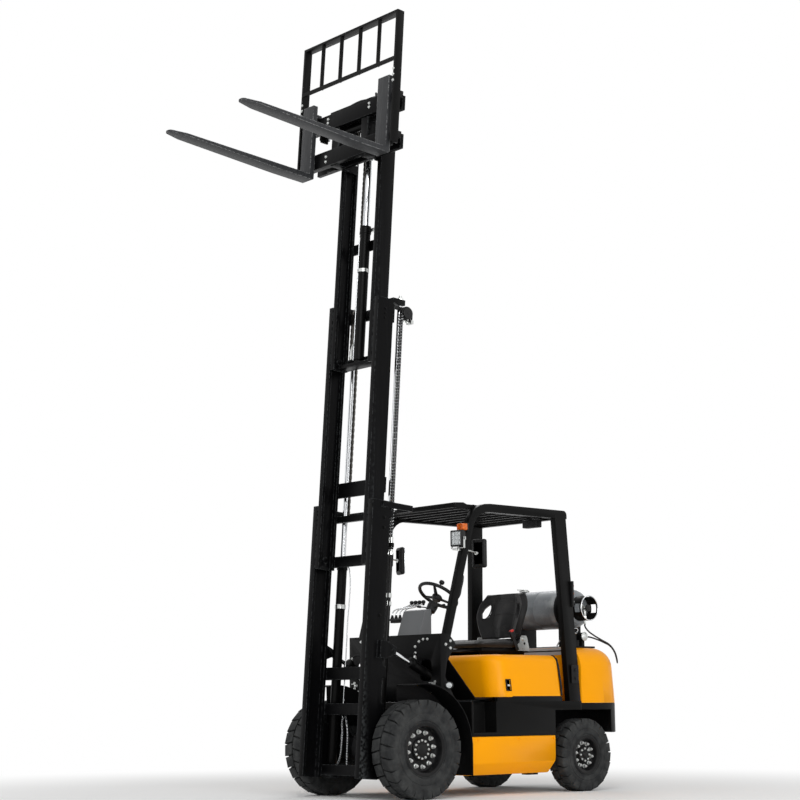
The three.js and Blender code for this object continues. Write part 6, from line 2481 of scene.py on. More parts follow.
@dataclass
class Seat:
    """The driver's seat: a long crowned cushion, a winged back with two hand holes, and its frame."""

    front: float = -0.865
    back: float = -1.310
    half: float = 0.235
    cushion_low: float = 1.052
    cushion_high: float = 1.132
    top: float = 1.492

    def cushion_point(self, a: float, b: float, c: float) -> Point:
        """A point of the cushion's skin.

        Args:
            a: From -1 at the back to 1 at the front.
            b: From -1 at the right to 1 at the left.
            c: -1 underneath and 1 on top.

        Returns:
            The point.
        """
        length = (self.front - self.back - 0.02) / 2
        middle = (self.front + self.back + 0.02) / 2
        corner = 1 - 0.11 * (abs(a) ** 6) * (abs(b) ** 6) - 0.035 * abs(c) ** 4
        half = self.half - 0.006 - 0.012 * max(0, -a)
        rise = 0.66 + 0.17 * math.cos(a * 1.35) + 0.13 * min(1, abs(b) * 1.45) ** 4 * (1 - 0.6 * max(0, a))
        rise -= 0.18 * max(0.0, a - 0.55) ** 2 * 4
        span = self.cushion_high - self.cushion_low
        edge = max(abs(a) ** 8, abs(b) ** 8)
        z = self.cushion_low + 0.003 + (span - 0.006) * (rise * (1 - 0.35 * edge) if c > 0 else 0.10 * edge)
        z_mid = self.cushion_low + span * 0.42
        if abs(c) < 0.99:
            z = z_mid + (z - z_mid) * abs(c) if c else z_mid
        bulge = 1 + 0.02 * (1 - abs(c))
        return at(middle + a * length * corner * bulge, b * half * corner * bulge, z)

    def cushion(self) -> None:
        """The cushion, crowned along its middle with raised bolsters and a rolled front, with sewn seams."""
        activate_none()
        bpy.ops.mesh.primitive_cube_add(size=2, location=(0, 0, 0))
        piece = bpy.context.object
        with editing(piece, "FACE") as shape:
            bpy.ops.mesh.select_all(action="SELECT")
            bpy.ops.mesh.subdivide(number_cuts=15)
            for vert in shape.verts:
                vert.co = self.cushion_point(*vert.co)
            bpy.ops.mesh.normals_make_consistent(inside=False)
        activate(piece)
        settle_soft = piece.modifiers.new("skin", "SUBSURF")
        settle_soft.levels = settle_soft.render_levels = 1
        bpy.ops.object.modifier_apply(modifier=settle_soft.name)
        piece.name = "seat_cushion_vinyl"
        smooth(piece, math.radians(70))
        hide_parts("seat_cushion")
        place(piece, "hood", VINYL, "seat_vinyl")
        seams = []
        for b in (-0.62, 0.62):
            seams.append(
                pipe(
                    "seam",
                    [self.raised(self.cushion_point(a / 10, b, 1)) for a in range(-9, 10, 2)],
                    0.0024,
                    6,
                )
            )
        for a in (-0.25, 0.35):
            seams.append(
                pipe(
                    "seam",
                    [self.raised(self.cushion_point(a, b / 10, 1)) for b in range(-6, 7, 2)],
                    0.002,
                    6,
                )
            )
        place(joined("cushion_seams", *seams), "hood", VINYL, "seat_vinyl")

    def raised(self, point: Point) -> Point:
        """A point just proud of the cushion's top."""
        return point[0], point[1], point[2] - 0.0006

    def half_width(self, v: float) -> float:
        """The back's half width, from its foot at 0 to its top at 1.

        Args:
            v: The height on the back, as a share of its whole height.

        Returns:
            Half of the back's width there.
        """
        swell = 0.072 * math.sin(min(1.0, v * 1.55) * math.pi / 2)
        return 0.168 + swell - 0.085 * max(0.0, v - 0.62) ** 2 * 5.2

    def back_point(self, u: float, v: float, out: float = 0.0) -> Point:
        """A point on the front of the seat's back.

        Args:
            u: From -1 at the right edge to 1 at the left edge.
            v: From 0 at the foot to 1 at the top.
            out: How far it stands off the surface, forwards.

        Returns:
            The point.
        """
        height = self.top - self.cushion_high - 0.016
        z = self.cushion_high + 0.008 + height * v
        lean = -0.070 * v - 0.012 * v * v
        wing = max(0.0, abs(u) - 0.42) / 0.58
        forward = 0.100 * wing**1.3 * (1 - 0.45 * v) * min(1.0, 0.55 + v)
        forward += 0.014 * math.cos(min(1, abs(u) * 2) * math.pi) * (1 - v)
        lumbar = 0.016 * math.exp(-(((v - 0.28) / 0.2) ** 2)) * (1 - min(1, abs(u) * 2))
        x = self.back + 0.004 + lean + forward + lumbar + out
        crown = 1 - 0.055 * abs(u) ** 3 * max(0.0, v - 0.6) * 2.5
        return at(x, u * self.half_width(v), self.cushion_high + (z - self.cushion_high) * crown)

    def hole_point(self, sign: int, angle: float, out: float = 0.0) -> Point:
        """A point on the rim of a wing's oval hand hole, which leans in at its top."""
        rise = math.sin(angle)
        return self.back_point(sign * (0.73 + 0.135 * math.cos(angle) - 0.05 * rise), 0.60 + 0.17 * rise, out)

    def open_hand_holes(self, piece: Piece, shape: bmesh.types.BMesh) -> None:
        """Opens an oval hole in each wing of the flat grid, and draws the grid's edge onto the oval.

        Args:
            piece: The seat back, still a flat grid.
            shape: Its mesh.
        """

        def reach(u: float, v: float) -> Vector:
            """Where a point of the grid lies from the middle of its wing's oval, as shares of its radii."""
            rise = (v - 0.60) / 0.17
            return Vector(((abs(u) - 0.73 + 0.05 * rise) / 0.135, rise))

        pick_faces(piece, shape, lambda c, n: reach(c.x, (c.y + 1) / 2).length < 0.95)
        bpy.ops.mesh.delete(type="FACE")
        for vert in shape.verts:
            if vert.is_boundary and abs(vert.co.x) < 0.999 and abs(vert.co.y) < 0.999:
                angle = math.atan2(*reversed(reach(vert.co.x, (vert.co.y + 1) / 2)))
                rise = math.sin(angle)
                vert.co.x = math.copysign(0.73 + 0.135 * math.cos(angle) - 0.05 * rise, vert.co.x)
                vert.co.y = 2 * (0.60 + 0.17 * rise) - 1

    def backrest(self) -> None:
        """The winged back: one curved shell with two oval hand holes, thick and soft at its edges."""
        activate_none()
        bpy.ops.mesh.primitive_grid_add(x_subdivisions=46, y_subdivisions=34, size=2, location=(0, 0, 0))
        piece = bpy.context.object
        with editing(piece, "FACE") as shape:
            self.open_hand_holes(piece, shape)
            for vert in shape.verts:
                vert.co = self.back_point(vert.co.x, (vert.co.y + 1) / 2)
            bpy.ops.mesh.select_all(action="SELECT")
            bpy.ops.mesh.normals_make_consistent(inside=False)
            if sum(face.normal.x for face in shape.faces) < 0:
                bpy.ops.mesh.flip_normals()
        activate(piece)
        thick = piece.modifiers.new("foam", "SOLIDIFY")
        thick.thickness, thick.offset = 0.05, -1
        bpy.ops.object.modifier_apply(modifier=thick.name)
        skin = piece.modifiers.new("skin", "SUBSURF")
        skin.levels = skin.render_levels = 1
        bpy.ops.object.modifier_apply(modifier=skin.name)
        piece.name = "seat_back_vinyl"
        smooth(piece, math.radians(50))
        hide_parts("seat_back")
        place(piece, "hood", VINYL, "seat_vinyl")
        lines = [
            [(s * (0.50 + 0.03 * math.sin(v * 3)), v) for v in [i / 10 for i in range(0, 10)]]
            for s in (-1, 1)
        ]
        lines += [
            [(u / 10, 0.52 + 0.02 * math.cos(u / 3)) for u in range(-5, 6)],
            [(u / 10, 0.22) for u in range(-5, 6)],
        ]
        lines += [[(-0.36, 0.80), (-0.36, 0.90), (0.36, 0.90), (0.36, 0.80), (-0.36, 0.80)]]
        seams = [
            pipe("seam", [self.back_point(u, v, 0.0005) for u, v in line], 0.0026, 6, bend=len(line) > 5)
            for line in lines
        ]
        for sign in (1, -1):
            rim = [self.hole_point(sign, math.tau * i / 24, 0.0015) for i in range(25)]
            seams.append(pipe("hole_piping", rim, 0.005, 8))
        place(joined("backrest_seams", *seams), "hood", VINYL, "seat_vinyl")
        slot_low, slot_high = self.back_point(-0.34, 0.815, -0.004), self.back_point(0.34, 0.885, 0.001)
        pad = block(
            "backrest_slot",
            (min(slot_low[0], slot_high[0]) - 0.004, slot_low[1], slot_low[2]),
            (max(slot_low[0], slot_high[0]), slot_high[1], slot_high[2]),
            0.004,
        )
        place(pad, "hood", BLACK_ABS, "seat_vinyl")

    def frame(self) -> None:
        """The seat's frame, its slide rails and levers, and the belt with its buckle."""
        place(refined("seat_frame", "seat_frame_steel", 0.004), "hood", FRAME_BLACK, "frame_black")
        bar_route = [
            at(-0.90, -0.14, 1.030), at(-0.835, -0.13, 1.028), at(-0.828, 0.0, 1.028),
            at(-0.835, 0.13, 1.028), at(-0.90, 0.14, 1.030),
        ]
        place(pipe("slide_bar", bar_route, 0.006, 10), "hood", FRAME_BLACK, "frame_black")
        stalk = block("buckle_stalk", at(-1.245, 0.243, 1.035), at(-1.215, 0.252, 1.135), 0.002)
        stalk.data.transform(
            Matrix.Translation(at(-1.23, 0, 1.05)) @ Matrix.Rotation(
                math.radians(24), 4, "Y",
            ) @ Matrix.Translation(at(-1.23, 0, 1.05)).inverted()
        )
        place(joined("buckle_stalk", stalk), "hood", BLACK_ABS, "black_plastic")
        buckle = block("buckle", (-0.024, -0.010, 0.0), (0.024, 0.010, 0.062), 0.006, 3)
        button = block("button", (-0.017, -0.0105, 0.05), (0.017, 0.0105, 0.066), 0.003)
        turn = Matrix.Translation(at(-1.196, 0.2475, 1.128)) @ Matrix.Rotation(math.radians(24), 4, "Y")
        buckle.data.transform(turn)
        button.data.transform(turn)
        place(joined("belt_buckle", buckle), "hood", BLACK_ABS, "black_plastic")
        place(joined("belt_button", button), "hood", RED_ABS, "black_plastic")
        reel = joined(
            "belt_reel",
            turned(
                "reel_case",
                [(0.0, 0.0), (0.034, 0.0), (0.038, 0.004), (0.038, 0.032), (0.034, 0.036), (0.0, 0.036)],
                at(-1.32, 0.195, 1.09),
                Axis.Y,
                32,
            ),
            bolt("reel_bolt", at(-1.32, 0.231, 1.09), (0, 1, 0), 0.011, 0.008),
        )
        place(reel, "hood", BLACK_ABS, "black_plastic")
        plate_outline = rounded(
            [
                (-1.375, 1.035, 0.01), (-1.225, 1.035, 0.02), (-1.235, 1.075, 0.02), (-1.275, 1.10, 0.02),
                (-1.285, 1.15, 0.02), (-1.345, 1.15, 0.02),
            ],
            4,
        )
        side_plates = []
        for sign in SIDES.values():
            made = shifted(
                plate(
                    "hinge_plate", plate_outline, min(0.2335 * sign, 0.2375 * sign),
                    max(0.2335 * sign, 0.2375 * sign),
                )
            )
            pin = rod(
                "hinge_pin", at(-1.305, 0.225 * sign, 1.125), at(-1.305, 0.243 * sign, 1.125), 0.012, 20,
                0.003,
            )
            side_plates += [made, pin]
        place(joined("recliner_plates", *side_plates), "hood", ZINC, "chromed_rod")
        strap = plate("strap", [(-0.0, -0.0), (0.05, 0.0), (0.052, 0.0022), (0.0, 0.0022)], -0.022, 0.022)
        strap.data.transform(
            Matrix.Translation(at(-1.30, 0.213, 1.126)) @ Matrix.Rotation(math.radians(-50), 4, "Y")
        )
        place(joined("belt_strap", strap), "hood", VINYL, "seat_vinyl")
        knob = joined(
            "recline_knob",
            rod("recline_shaft", at(-1.30, -0.20, 1.10), at(-1.30, -0.236, 1.10), 0.008, 12),
            turned(
                "recline_knob",
                [(0.0, 0.0), (0.024, 0.0), (0.028, 0.004), (0.028, 0.014), (0.024, 0.018), (0.0, 0.018)],
                at(-1.30, -0.252, 1.10),
                Axis.Y,
                24,
            ),
        )
        place(knob, "hood", BLACK_ABS, "black_plastic")

    def build(self) -> None:
        """Builds the seat."""
        self.frame()
        self.cushion()
        self.backrest()


# ---------------------------------------------------------------- counterweight, guard and bottle


@dataclass
class Counterweight:
    """The cast counterweight: a yellow upper part, a black lower part, and what is fixed to the rear."""

    def build(self) -> None:
        """Rounds the castings, and adds the grille, the tow pin, the nuts, and the radiator cover with its
        seal.
        """
        place(
            refined("counterweight_upper", "counterweight_upper_casting", 0.012, 3),
            "chassis",
            CAST_YELLOW,
            "weight_yellow",
        )
        place(
            refined("counterweight_lower", "counterweight_lower_casting", 0.006),
            "chassis",
            CAST_BLACK,
            "weight_black",
        )
        low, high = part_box("counterweight_upper")
        x = low.x
        z = high.z
        slats = [
            block(
                "slat", (x + 0.001, -0.20, z - 0.25 - 0.035 * i), (x + 0.006, 0.20, z - 0.235 - 0.035 * i),
                0.002,
            )
            for i in range(4)
        ]
        frame_piece = block(
            "grille_frame", (x + 0.0015, -0.225, z - 0.375), (x + 0.0035, 0.225, z - 0.21), 0.0008,
        )
        place(joined("rear_grille", frame_piece, *slats), "chassis", FRAME_BLACK, "frame_black")
        pin = joined(
            "tow_pin",
            rod("tow_shank", (x + 0.06, 0, 0.44), (x + 0.06, 0, 0.595), 0.013, 20, 0.002),
            turned(
                "tow_ring",
                [
                    (0.020 + 0.004 * math.cos(math.tau * i / 10), 0.004 * math.sin(math.tau * i / 10))
                    for i in range(11)
                ],
                (x + 0.06, 0, 0.612),
                Axis.Y,
                24,
            ),
        )
        place(pin, "chassis", ZINC, "weight_black")
        nuts = [bolt("weight_nut", (low.x + 0.35, y, z), (0, 0, 1), 0.016, 0.012) for y in (-0.36, 0.36)]
        place(joined("weight_bolts", *nuts), "chassis", ZINC, "weight_black")
        cover = block(
            "radiator_cover", (high.x - 0.10, -0.41, z - 0.062), (high.x + 0.0015, 0.41, z + 0.006), 0.014, 4,
        )
        place(cover, "chassis", COVER_GREY, "console_grey")
        strip = block(
            "radiator_cover_seal", (high.x - 0.02, -0.412, z - 0.028), (high.x + 0.0035, 0.412, z - 0.018),
            0.003,
        )
        place(strip, "chassis", TRIM, "hose_rubber")


@dataclass
class Guard:
    """The overhead guard: two bent side frames, the slatted roof, and what hangs on them."""

    leg_foot: Pair = (-0.277, 1.010)
    leg_head: Pair = (-0.610, 2.090)
    leg_y: float = 0.455
    top: float = 2.090

    def leg(self, z: float) -> float:
        """How far ahead the front leg's middle is at a height."""
        (x0, z0), (x1, z1) = self.leg_foot, self.leg_head
        return x0 + (x1 + 0.02 - x0) * (z - z0) / (z1 - z0) - 0.4 * max(0.0, z - 1.87) ** 2

    def steel(self) -> None:
        """Rounds the tubes, plates and slats."""
        for node, width in (("guard_side_left", 0.006), ("guard_side_right", 0.006), ("guard_roof", 0.002)):
            place(
                refined(node, node + "_welded", width, 3 if width > 0.003 else 1),
                "chassis",
                FRAME_BLACK,
                "frame_black",
            )
        rubbers = []
        for sign in SIDES.values():
            pad = block("foot_pad", at(-1.565, 0.551 * sign, 0.79), at(-1.49, 0.560 * sign, 0.925), 0.004, 3)
            rubbers += [
                pad,
                bolt("foot_bolt", at(-1.53, 0.560 * sign, 0.825), (0, sign, 0), 0.011, 0.009),
                bolt("foot_bolt", at(-1.525, 0.560 * sign, 0.89), (0, sign, 0), 0.011, 0.009),
            ]
        place(joined("post_feet", *rubbers), "chassis", TRIM, "hose_rubber")

    def work_lamp(self, side: str, sign: float) -> None:
        """A square lamp with nine lenses and cooling fins, on a bent zinc-plated bracket ahead of the leg.

        Args:
            side: left or right.
            sign: 1 on the left and -1 on the right.
        """
        z = 1.815
        x = self.leg(z) + 0.125
        y = (self.leg_y + 0.045) * sign
        turn = Matrix.Translation(at(x, y, z)) @ Matrix.Rotation(math.radians(12 * sign), 4, "Z")
        case = block("case", (-0.030, -0.050, -0.058), (0.014, 0.050, 0.058), 0.007, 3)
        with editing(case, "FACE") as shape:
            pick_faces(case, shape, lambda c, n: n.x > 0.9)
            bpy.ops.mesh.inset(thickness=0.006)
            bpy.ops.mesh.extrude_region_move(TRANSFORM_OT_translate={"value": (-0.006, 0, 0)})
        fins = [
            block("fin", (-0.042, -0.042 + 0.014 * i, -0.05), (-0.028, -0.037 + 0.014 * i, 0.05), 0.001, 1)
            for i in range(7)
        ]
        body = joined("lamp_case", case, *fins)
        body.data.transform(turn)
        place(joined(f"work_lamp_{side}", body), "chassis", LAMP_ABS, "black_plastic")
        cups = [
            turned(
                "cup",
                [(0.0, 0.0), (0.0115, 0.0), (0.0115, 0.004), (0.008, 0.0075), (0.0, 0.0085)],
                (0.006, -0.027 + 0.027 * i, -0.032 + 0.032 * k),
                Axis.X,
                16,
            )
            for i in range(3)
            for k in range(3)
        ]
        glass = block("glass", (0.006, -0.041, -0.049), (0.0085, 0.041, 0.049), 0.001, 1)
        lens = joined("lens", glass, *cups)
        lens.data.transform(turn)
        place(joined(f"work_lamp_lens_{side}", lens), "chassis", CLEAR, "console_grey")
        bracket = joined(
            "bracket",
            block("bracket_u", (-0.034, -0.056, -0.012), (-0.004, -0.0515, 0.012), 0.001),
            block("bracket_u", (-0.034, 0.0515, -0.012), (-0.004, 0.056, 0.012), 0.001),
            block("bracket_low", (-0.024, -0.056, -0.072), (-0.004, 0.056, -0.067), 0.001),
            block("bracket_side", (-0.024, -0.056, -0.072), (-0.004, -0.0515, 0.012), 0.001),
            block("bracket_side", (-0.024, 0.0515, -0.072), (-0.004, 0.056, 0.012), 0.001),
            rod("bracket_bolt", (-0.014, 0, -0.092), (-0.014, 0, -0.060), 0.006, 12, 0.001),
            bolt("bracket_nut", (-0.014, 0, -0.072), (0, 0, -1), 0.010, 0.008),
            block(
                "bracket_arm", (-0.155, -0.014 - 0.03 * sign, -0.082), (0.0, 0.014 - 0.03 * sign, -0.077),
                0.001,
            ),
        )
        bracket.data.transform(turn)
        place(joined(f"lamp_bracket_{side}", bracket), "chassis", ZINC, "chromed_rod")

    def indicator(self, side: str, sign: float) -> None:
        """An amber direction lamp with a ribbed lens on a black base, on the leg's front.

        Args:
            side: left or right.
            sign: 1 on the left and -1 on the right.
        """
        z = 1.905
        x = self.leg(z) + 0.068
        lens = block(
            "lens", at(x - 0.028, 0.43 * sign, z - 0.024), at(x + 0.022, 0.50 * sign, z + 0.024), 0.008, 3,
        )
        ribs = [
            block(
                "rib", at(x + 0.019, 0.437 * sign, z - 0.017 + 0.0085 * i - 0.0015),
                at(x + 0.0245, 0.493 * sign, z - 0.017 + 0.0085 * i + 0.0015), 0.0008, 1,
            )
            for i in range(5)
        ]
        place(joined(f"indicator_{side}", lens, *ribs), "chassis", AMBER, "console_grey")
        base = block(
            f"indicator_base_{side}", at(x - 0.042, 0.434 * sign, z - 0.028),
            at(x - 0.024, 0.496 * sign, z + 0.028), 0.003,
        )
        place(base, "chassis", LAMP_ABS, "black_plastic")

    def mirror(self, side: str, sign: float) -> None:
        """A driving mirror: moulded shell, glass, ball clamp and zinc-plated arm from the leg.

        Args:
            side: left or right.
            sign: 1 on the left and -1 on the right.
        """
        x, y, z = self.leg(1.72) - 0.19, (self.leg_y - 0.02) * sign, 1.725
        shell = block("shell", (-0.014, -0.058, -0.105), (0.020, 0.058, 0.105), 0.016, 4)
        with editing(shell, "FACE") as shape:
            pick_faces(shell, shape, lambda c, n: n.x > 0.9)
            bpy.ops.mesh.inset(thickness=0.010)
            bpy.ops.mesh.extrude_region_move(TRANSFORM_OT_translate={"value": (0.005, 0, 0)})
            bpy.ops.transform.resize(value=(1, 0.9, 0.93))
        glass = block("glass", (-0.0165, -0.049, -0.096), (-0.012, 0.049, 0.096), 0.002)
        turn = Matrix.Translation(at(x, y, z)) @ Matrix.Rotation(math.radians(20 * sign), 4, "Z")
        shell.data.transform(turn)
        glass.data.transform(turn)
        place(joined(f"mirror_shell_{side}", shell), "chassis", LAMP_ABS, "black_plastic")
        place(joined(f"mirror_glass_{side}", glass), "chassis", CHROME, "chromed_rod")
        arm = joined(
            f"mirror_arm_{side}",
            pipe(
                "mirror_arm",
                [
                    at(self.leg(z) - 0.02, self.leg_y * sign, z),
                    at(self.leg(z) - 0.05, (self.leg_y - 0.005) * sign, z + 0.012),
                    at(x + 0.02, y, z),
                ],
                0.0062,
                10,
            ),
            rod("ball", at(x + 0.018, y, z), at(x + 0.04, y, z), 0.0145, 16, 0.004),
            block(
                "arm_plate", at(self.leg(z) - 0.034, 0.437 * sign, z - 0.022),
                at(self.leg(z) - 0.026, 0.473 * sign, z + 0.022), 0.002,
            ),
        )
        place(arm, "chassis", ZINC, "chromed_rod")

    def handle(self, side: str, sign: float) -> None:
        """A grab handle behind the leg, with two feet bolted to it.

        Args:
            side: left or right.
            sign: 1 on the left and -1 on the right.
        """
        low, high = 1.39, 1.56
        gap = 0.050
        route = [
            at(self.leg(low) - 0.025, self.leg_y * sign, low), at(
                self.leg(low) - gap * 0.8, self.leg_y * sign, low + 0.006,
            ),
            at(
                self.leg(low + 0.03) - gap, self.leg_y * sign, low + 0.03,
            ), at(self.leg(1.46) - gap, self.leg_y * sign, 1.46),
            at(
                self.leg(high - 0.03) - gap, self.leg_y * sign, high - 0.03,
            ), at(self.leg(high) - gap * 0.8, self.leg_y * sign, high - 0.006),
            at(self.leg(high) - 0.025, self.leg_y * sign, high),
        ]
        feet = [
            block(
                "foot", at(self.leg(z) - 0.033, 0.44 * sign, z - 0.024),
                at(self.leg(z) - 0.022, 0.47 * sign, z + 0.024), 0.003,
            )
            for z in (low, high)
        ]
        place(
            joined(f"grab_handle_{side}", pipe("grip", route, 0.0105, 12), *feet),
            "chassis",
            BLACK_ABS,
            "black_plastic",
        )

    def rear_lamps(self) -> None:
        """The rear work lamp under the roof, and a stack of rear lamps on each post."""
        x, y = -1.40, 0.25
        case = block(
            "case", at(x - 0.045, y - 0.075, self.top - 0.120), at(x + 0.02, y + 0.075, self.top - 0.058),
            0.007, 3,
        )
        hanger = block(
            "hanger", at(x - 0.03, y - 0.018, self.top - 0.064), at(x + 0.03, y + 0.018, self.top - 0.046),
            0.002,
        )
        place(joined("rear_work_lamp", case, hanger), "chassis", LAMP_ABS, "black_plastic")
        glass = block(
            "rear_work_lamp_lens", at(x - 0.0485, y - 0.068, self.top - 0.115),
            at(x - 0.0445, y + 0.068, self.top - 0.063), 0.0015, 1,
        )
        place(glass, "chassis", CLEAR, "console_grey")
        for side, sign in SIDES.items():
            y = 0.5
            for i, finish in enumerate((RED_LENS, AMBER, CLEAR)):
                z = 1.52 - 0.06 * i
                px = -1.502 - 0.069
                lens = turned(
                    f"rear_lens_{i}_{side}",
                    [
                        (0.0, -0.010), (0.010, -0.009), (0.021, -0.005), (0.0235, 0.002), (0.0235, 0.008),
                        (0.0, 0.008),
                    ],
                    at(px, y * sign, z),
                    Axis.X,
                    24,
                )
                place(lens, "chassis", finish, "console_grey")
            box_piece = block(
                f"rear_lamp_box_{side}", at(px + 0.002, (y - 0.03) * sign, 1.36),
                at(px + 0.022, (y + 0.028) * sign, 1.555), 0.005,
            )
            place(box_piece, "chassis", LAMP_ABS, "black_plastic")

    def build(self) -> None:
        """Builds the guard."""
        self.steel()
        self.rear_lamps()
        for side, sign in SIDES.items():
            self.work_lamp(side, sign)
            self.indicator(side, sign)
            self.mirror(side, sign)
            self.handle(side, sign)


@dataclass
class GasBottle:
    """The gas bottle on its cradle, with its collar, valve, regulator, straps and hose."""

    x: float = -1.806
    z: float = 1.362
    radius: float = 0.150
    near: float = 0.375
    collar: float = 0.096
    collar_length: float = 0.092
    hose_radius: float = 0.006
    hose_route: tuple[Point, ...] = (
        (-1.806, 0.411, 1.243), (-1.806, 0.411, 1.226), (-1.826, 0.424, 1.190), (-1.866, 0.446, 1.156),
        (-1.918, 0.478, 1.120), (-1.958, 0.520, 1.084), (-1.988, 0.545, 1.030), (-2.010, 0.545, 0.980),
        (-2.038, 0.524, 0.950), (-2.064, 0.500, 0.956), (-2.084, 0.474, 0.990), (-2.090, 0.450, 1.034),
        (-2.066, 0.430, 1.078), (-2.024, 0.408, 1.104), (-1.964, 0.388, 1.128), (-1.900, 0.377, 1.144),
        (-1.852, 0.375, 1.148), (-1.8363, 0.375, 1.148),
    )

    def hose(self) -> None:
        """The gas hose from the valve to the regulator, a free loop beside the counterweight's corner."""
        curve = bpy.data.curves.new("gas_hose_rubber", "CURVE")
        curve.dimensions = "3D"
        curve.bevel_depth = self.hose_radius
        curve.bevel_resolution = 4
        curve.resolution_u = 12
        curve.use_fill_caps = True
        spline = curve.splines.new("BEZIER")
        spline.bezier_points.add(len(self.hose_route) - 1)
        for point, where in zip(spline.bezier_points, self.hose_route):
            point.co = at(*where)
            point.handle_left_type = point.handle_right_type = "AUTO"
        piece = bpy.data.objects.new("gas_hose_rubber", curve)
        bpy.context.scene.collection.objects.link(piece)
        curve.materials.append(HOSE.material())
        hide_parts("gas_hose")
        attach(piece, "chassis")

    def bottle(self) -> None:
        """The bottle's welded shell with domed ends and a seam, and the pierced collar round its valve."""
        radius, near = self.radius, self.near
        dome = [
            (0.0, 0.0), (0.045, 0.001), (0.085, 0.010), (0.115, 0.026), (0.136, 0.048), (0.147, 0.075),
            (radius, 0.105),
        ]
        seam = [(radius, 0.012), (radius - 0.0005, 0.010), (radius - 0.003, 0.006), (radius - 0.003, 0.0)]
        half = [(r, near - back) for r, back in dome] + seam
        profile = half + [(r, -y) for r, y in reversed(half)]
        shell = turned("bottle_shell", profile, at(self.x, 0, self.z), Axis.Y, 72)
        foot = turned(
            "foot_ring",
            [
                (0.096, -near + 0.004), (0.101, -near + 0.004), (0.101, -near - 0.0), (0.096, -near - 0.0),
                (0.096, -near + 0.004),
            ],
            at(self.x, 0, self.z),
            Axis.Y,
            48,
        )
        body = joined("bottle_painted_steel", shell, foot)
        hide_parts("gas_bottle")
        place(body, "chassis", GAS_GREY, "bottle_steel")
        outer, inner, end = self.collar, self.collar - 0.004, near + self.collar_length
        wall = [
            (inner, near - 0.03), (outer, near - 0.03), (outer, end - 0.008), (outer - 0.001, end - 0.006),
            (inner, end - 0.006), (inner, near - 0.03),
        ]
        ring = turned("collar", wall, at(self.x, 0, self.z), Axis.Y, 64)
        slots = [
            block(
                "slot", at(self.x - 0.036, near + 0.022, self.z + 0.05),
                at(self.x + 0.036, near + 0.070, self.z + 0.13),
            ),
            block(
                "slot", at(self.x - 0.13, near + 0.020, self.z - 0.032),
                at(self.x - 0.05, near + 0.072, self.z + 0.032),
            ),
            block(
                "slot", at(self.x - 0.028, near + 0.004, self.z - 0.13),
                at(self.x + 0.028, near + 0.064, self.z - 0.05),
            ),
            block(
                "slot", at(self.x + 0.05, near + 0.020, self.z - 0.032),
                at(self.x + 0.13, near + 0.072, self.z + 0.032),
            ),
        ]
        place(joined("bottle_collar", smooth(cut_out(ring, *slots))), "chassis", FRAME_BLACK, "bottle_steel")
        lip = [
            (
                outer - 0.002 + 0.0042 * math.cos(math.tau * i / 12),
                end - 0.0045 + 0.0042 * math.sin(math.tau * i / 12),
            )
            for i in range(13)
        ]
        place(
            joined("collar_lip", turned("lip", lip, at(self.x, 0, self.z), Axis.Y, 64)),
            "chassis",
            CHROME,
            "chromed_rod",
        )

    def valve(self) -> None:
        """The valve in the collar: body, hand wheel, relief valve, and the coupling that the hose leaves."""
        x, y, z = self.x, self.hose_route[0][1], self.z
        parts = [
            rod("valve_neck", at(x, self.near - 0.012, z), at(x, self.near + 0.02, z), 0.022, 8, 0.003),
            rod("valve_body", at(x, self.near + 0.015, z), at(x, self.near + 0.065, z), 0.015, 20, 0.003),
            rod("valve_drop", at(x, y, z), at(x, y, z - 0.06), 0.0115, 16, 0.001),
            rod("coupling", at(x, y, z - 0.058), at(x, y, z - 0.092), 0.0175, 6, 0.002),
            rod("tail", at(x, y, z - 0.09), at(x, y, self.hose_route[0][2]), 0.0095, 16, 0.001),
            rod("relief", at(x, y, z), at(x + 0.045, y, z + 0.035), 0.0105, 12, 0.002),
        ]
        place(joined("bottle_valve", *parts), "chassis", ZINC, "chromed_rod")
        wheel = turned(
            "valve_hand_wheel",
            [(0.0, 0.0), (0.020, 0.0), (0.026, 0.003), (0.026, 0.012), (0.020, 0.015), (0.0, 0.016)],
            at(x, self.near + 0.064, z),
            Axis.Y,
            20,
        )
        place(wheel, "chassis", BLACK_ABS, "black_plastic")

    def cradle(self) -> None:
        """The cradle, its straps with over-centre clamps, and the regulator with its pipes."""
        place(refined("bottle_cradle", "cradle_steel", 0.003), "chassis", SHEET_BLACK, "sheet_black")
        clamps = []
        for y in (-0.23, 0.25):
            clamps.append(
                block(
                    "clamp_base", at(self.x - 0.04, y - 0.017, self.z + 0.154),
                    at(self.x + 0.05, y + 0.017, self.z + 0.164), 0.003,
                )
            )
            clamps.append(
                block(
                    "clamp_lever", at(self.x - 0.03, y - 0.012, self.z + 0.168),
                    at(self.x + 0.075, y + 0.012, self.z + 0.175), 0.002,
                )
            )
            clamps.append(
                rod(
                    "clamp_pin", at(self.x + 0.02, y - 0.022, self.z + 0.168),
                    at(self.x + 0.02, y + 0.022, self.z + 0.168), 0.006, 12, 0.001,
                )
            )
            clamps.append(
                rod(
                    "clamp_pin", at(self.x - 0.03, y - 0.020, self.z + 0.163),
                    at(self.x - 0.03, y + 0.020, self.z + 0.163), 0.005, 12, 0.001,
                )
            )
        place(joined("strap_clamps", *clamps), "chassis", ZINC, "chromed_rod")
        x, y, z = self.x + 0.005, self.near, 1.148
        face = y + 0.0265
        cover = turned(
            "regulator_cover",
            [
                (0.0, 0.0), (0.030, 0.0), (0.034, 0.004), (0.034, 0.010), (0.022, 0.016), (0.012, 0.022),
                (0.0, 0.024),
            ],
            at(x, face, z),
            Axis.Y,
            32,
        )
        ring = ring_of(
            "regulator_screws",
            bolt("screw", at(x, face + 0.009, z + 0.029), (0, 1, 0), 0.0038, 0.004),
            6,
            at(x, face, z),
            (0, 1, 0),
        )
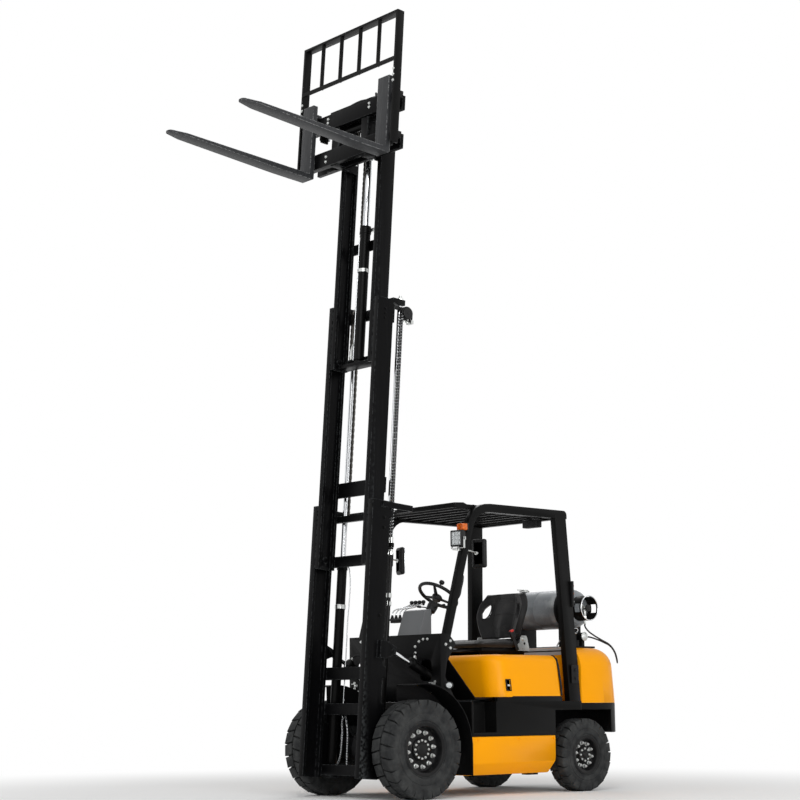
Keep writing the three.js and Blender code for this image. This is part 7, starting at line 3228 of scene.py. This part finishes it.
        place(joined("regulator", cover, ring), "chassis", ZINC, "chromed_rod")
        pipes_made = [
            pipe(
                "gas_pipe",
                [
                    at(x + 0.03, y - 0.02, z + 0.02), at(x + 0.07, y - 0.03, z + 0.03),
                    at(x + 0.10, y - 0.06, z + 0.02), at(x + 0.11, y - 0.12, z - 0.03),
                    at(x + 0.115, y - 0.15, z - 0.07),
                ],
                0.0055,
                10,
            ),
            pipe(
                "gas_pipe",
                [
                    at(x + 0.02, y - 0.026, z + 0.028), at(x + 0.02, y - 0.02, z + 0.055),
                    at(x + 0.06, y - 0.03, z + 0.062), at(x + 0.13, y - 0.04, z + 0.060),
                ],
                0.0048,
                10,
            ),
        ]
        place(joined("regulator_pipes", *pipes_made), "chassis", CHROME, "chromed_rod")

    def build(self) -> None:
        """Builds the bottle; its hose is made first, with the camera."""
        self.bottle()
        self.valve()
        self.cradle()


# ---------------------------------------------------------------- the whole truck


FRONT_WHEELS = Wheels(
    end="front",
    radius=0.338,
    width=0.186,
    seat=0.168,
    lugs=24,
    disc_in=0.062,
    boss=(0.078, 0.022),
    bore=0.046,
    nuts=(12, 0.120, 0.0125),
    hub_bolts=(12, 0.062, 0.0065),
)
REAR_WHEELS = Wheels(
    end="rear",
    radius=0.266,
    width=0.158,
    seat=0.126,
    lugs=22,
    disc_in=0.050,
    boss=(0.060, 0.026),
    bore=0.026,
    nuts=(10, 0.086, 0.0115),
    hub_bolts=(8, 0.045, 0.006),
)


def main() -> None:
    """Builds the studio and the hose, then the truck, one sub-assembly after another."""
    logging.basicConfig(level=logging.INFO, format="%(name)s: %(message)s")
    bpy.context.preferences.edit.use_global_undo = False
    frame()
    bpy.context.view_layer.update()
    Studio().build()
    bottle = GasBottle()
    bottle.hose()
    parts = (
        FRONT_WHEELS, REAR_WHEELS, Mast(), ForkCarriage(), Chassis(), DriverPlace(), Hood(), Seat(),
        Counterweight(), Guard(), bottle,
    )
    for part in parts:
        log.info("building the %s", type(part).__name__)
        part.build()


if __name__ == "__main__":
    main()
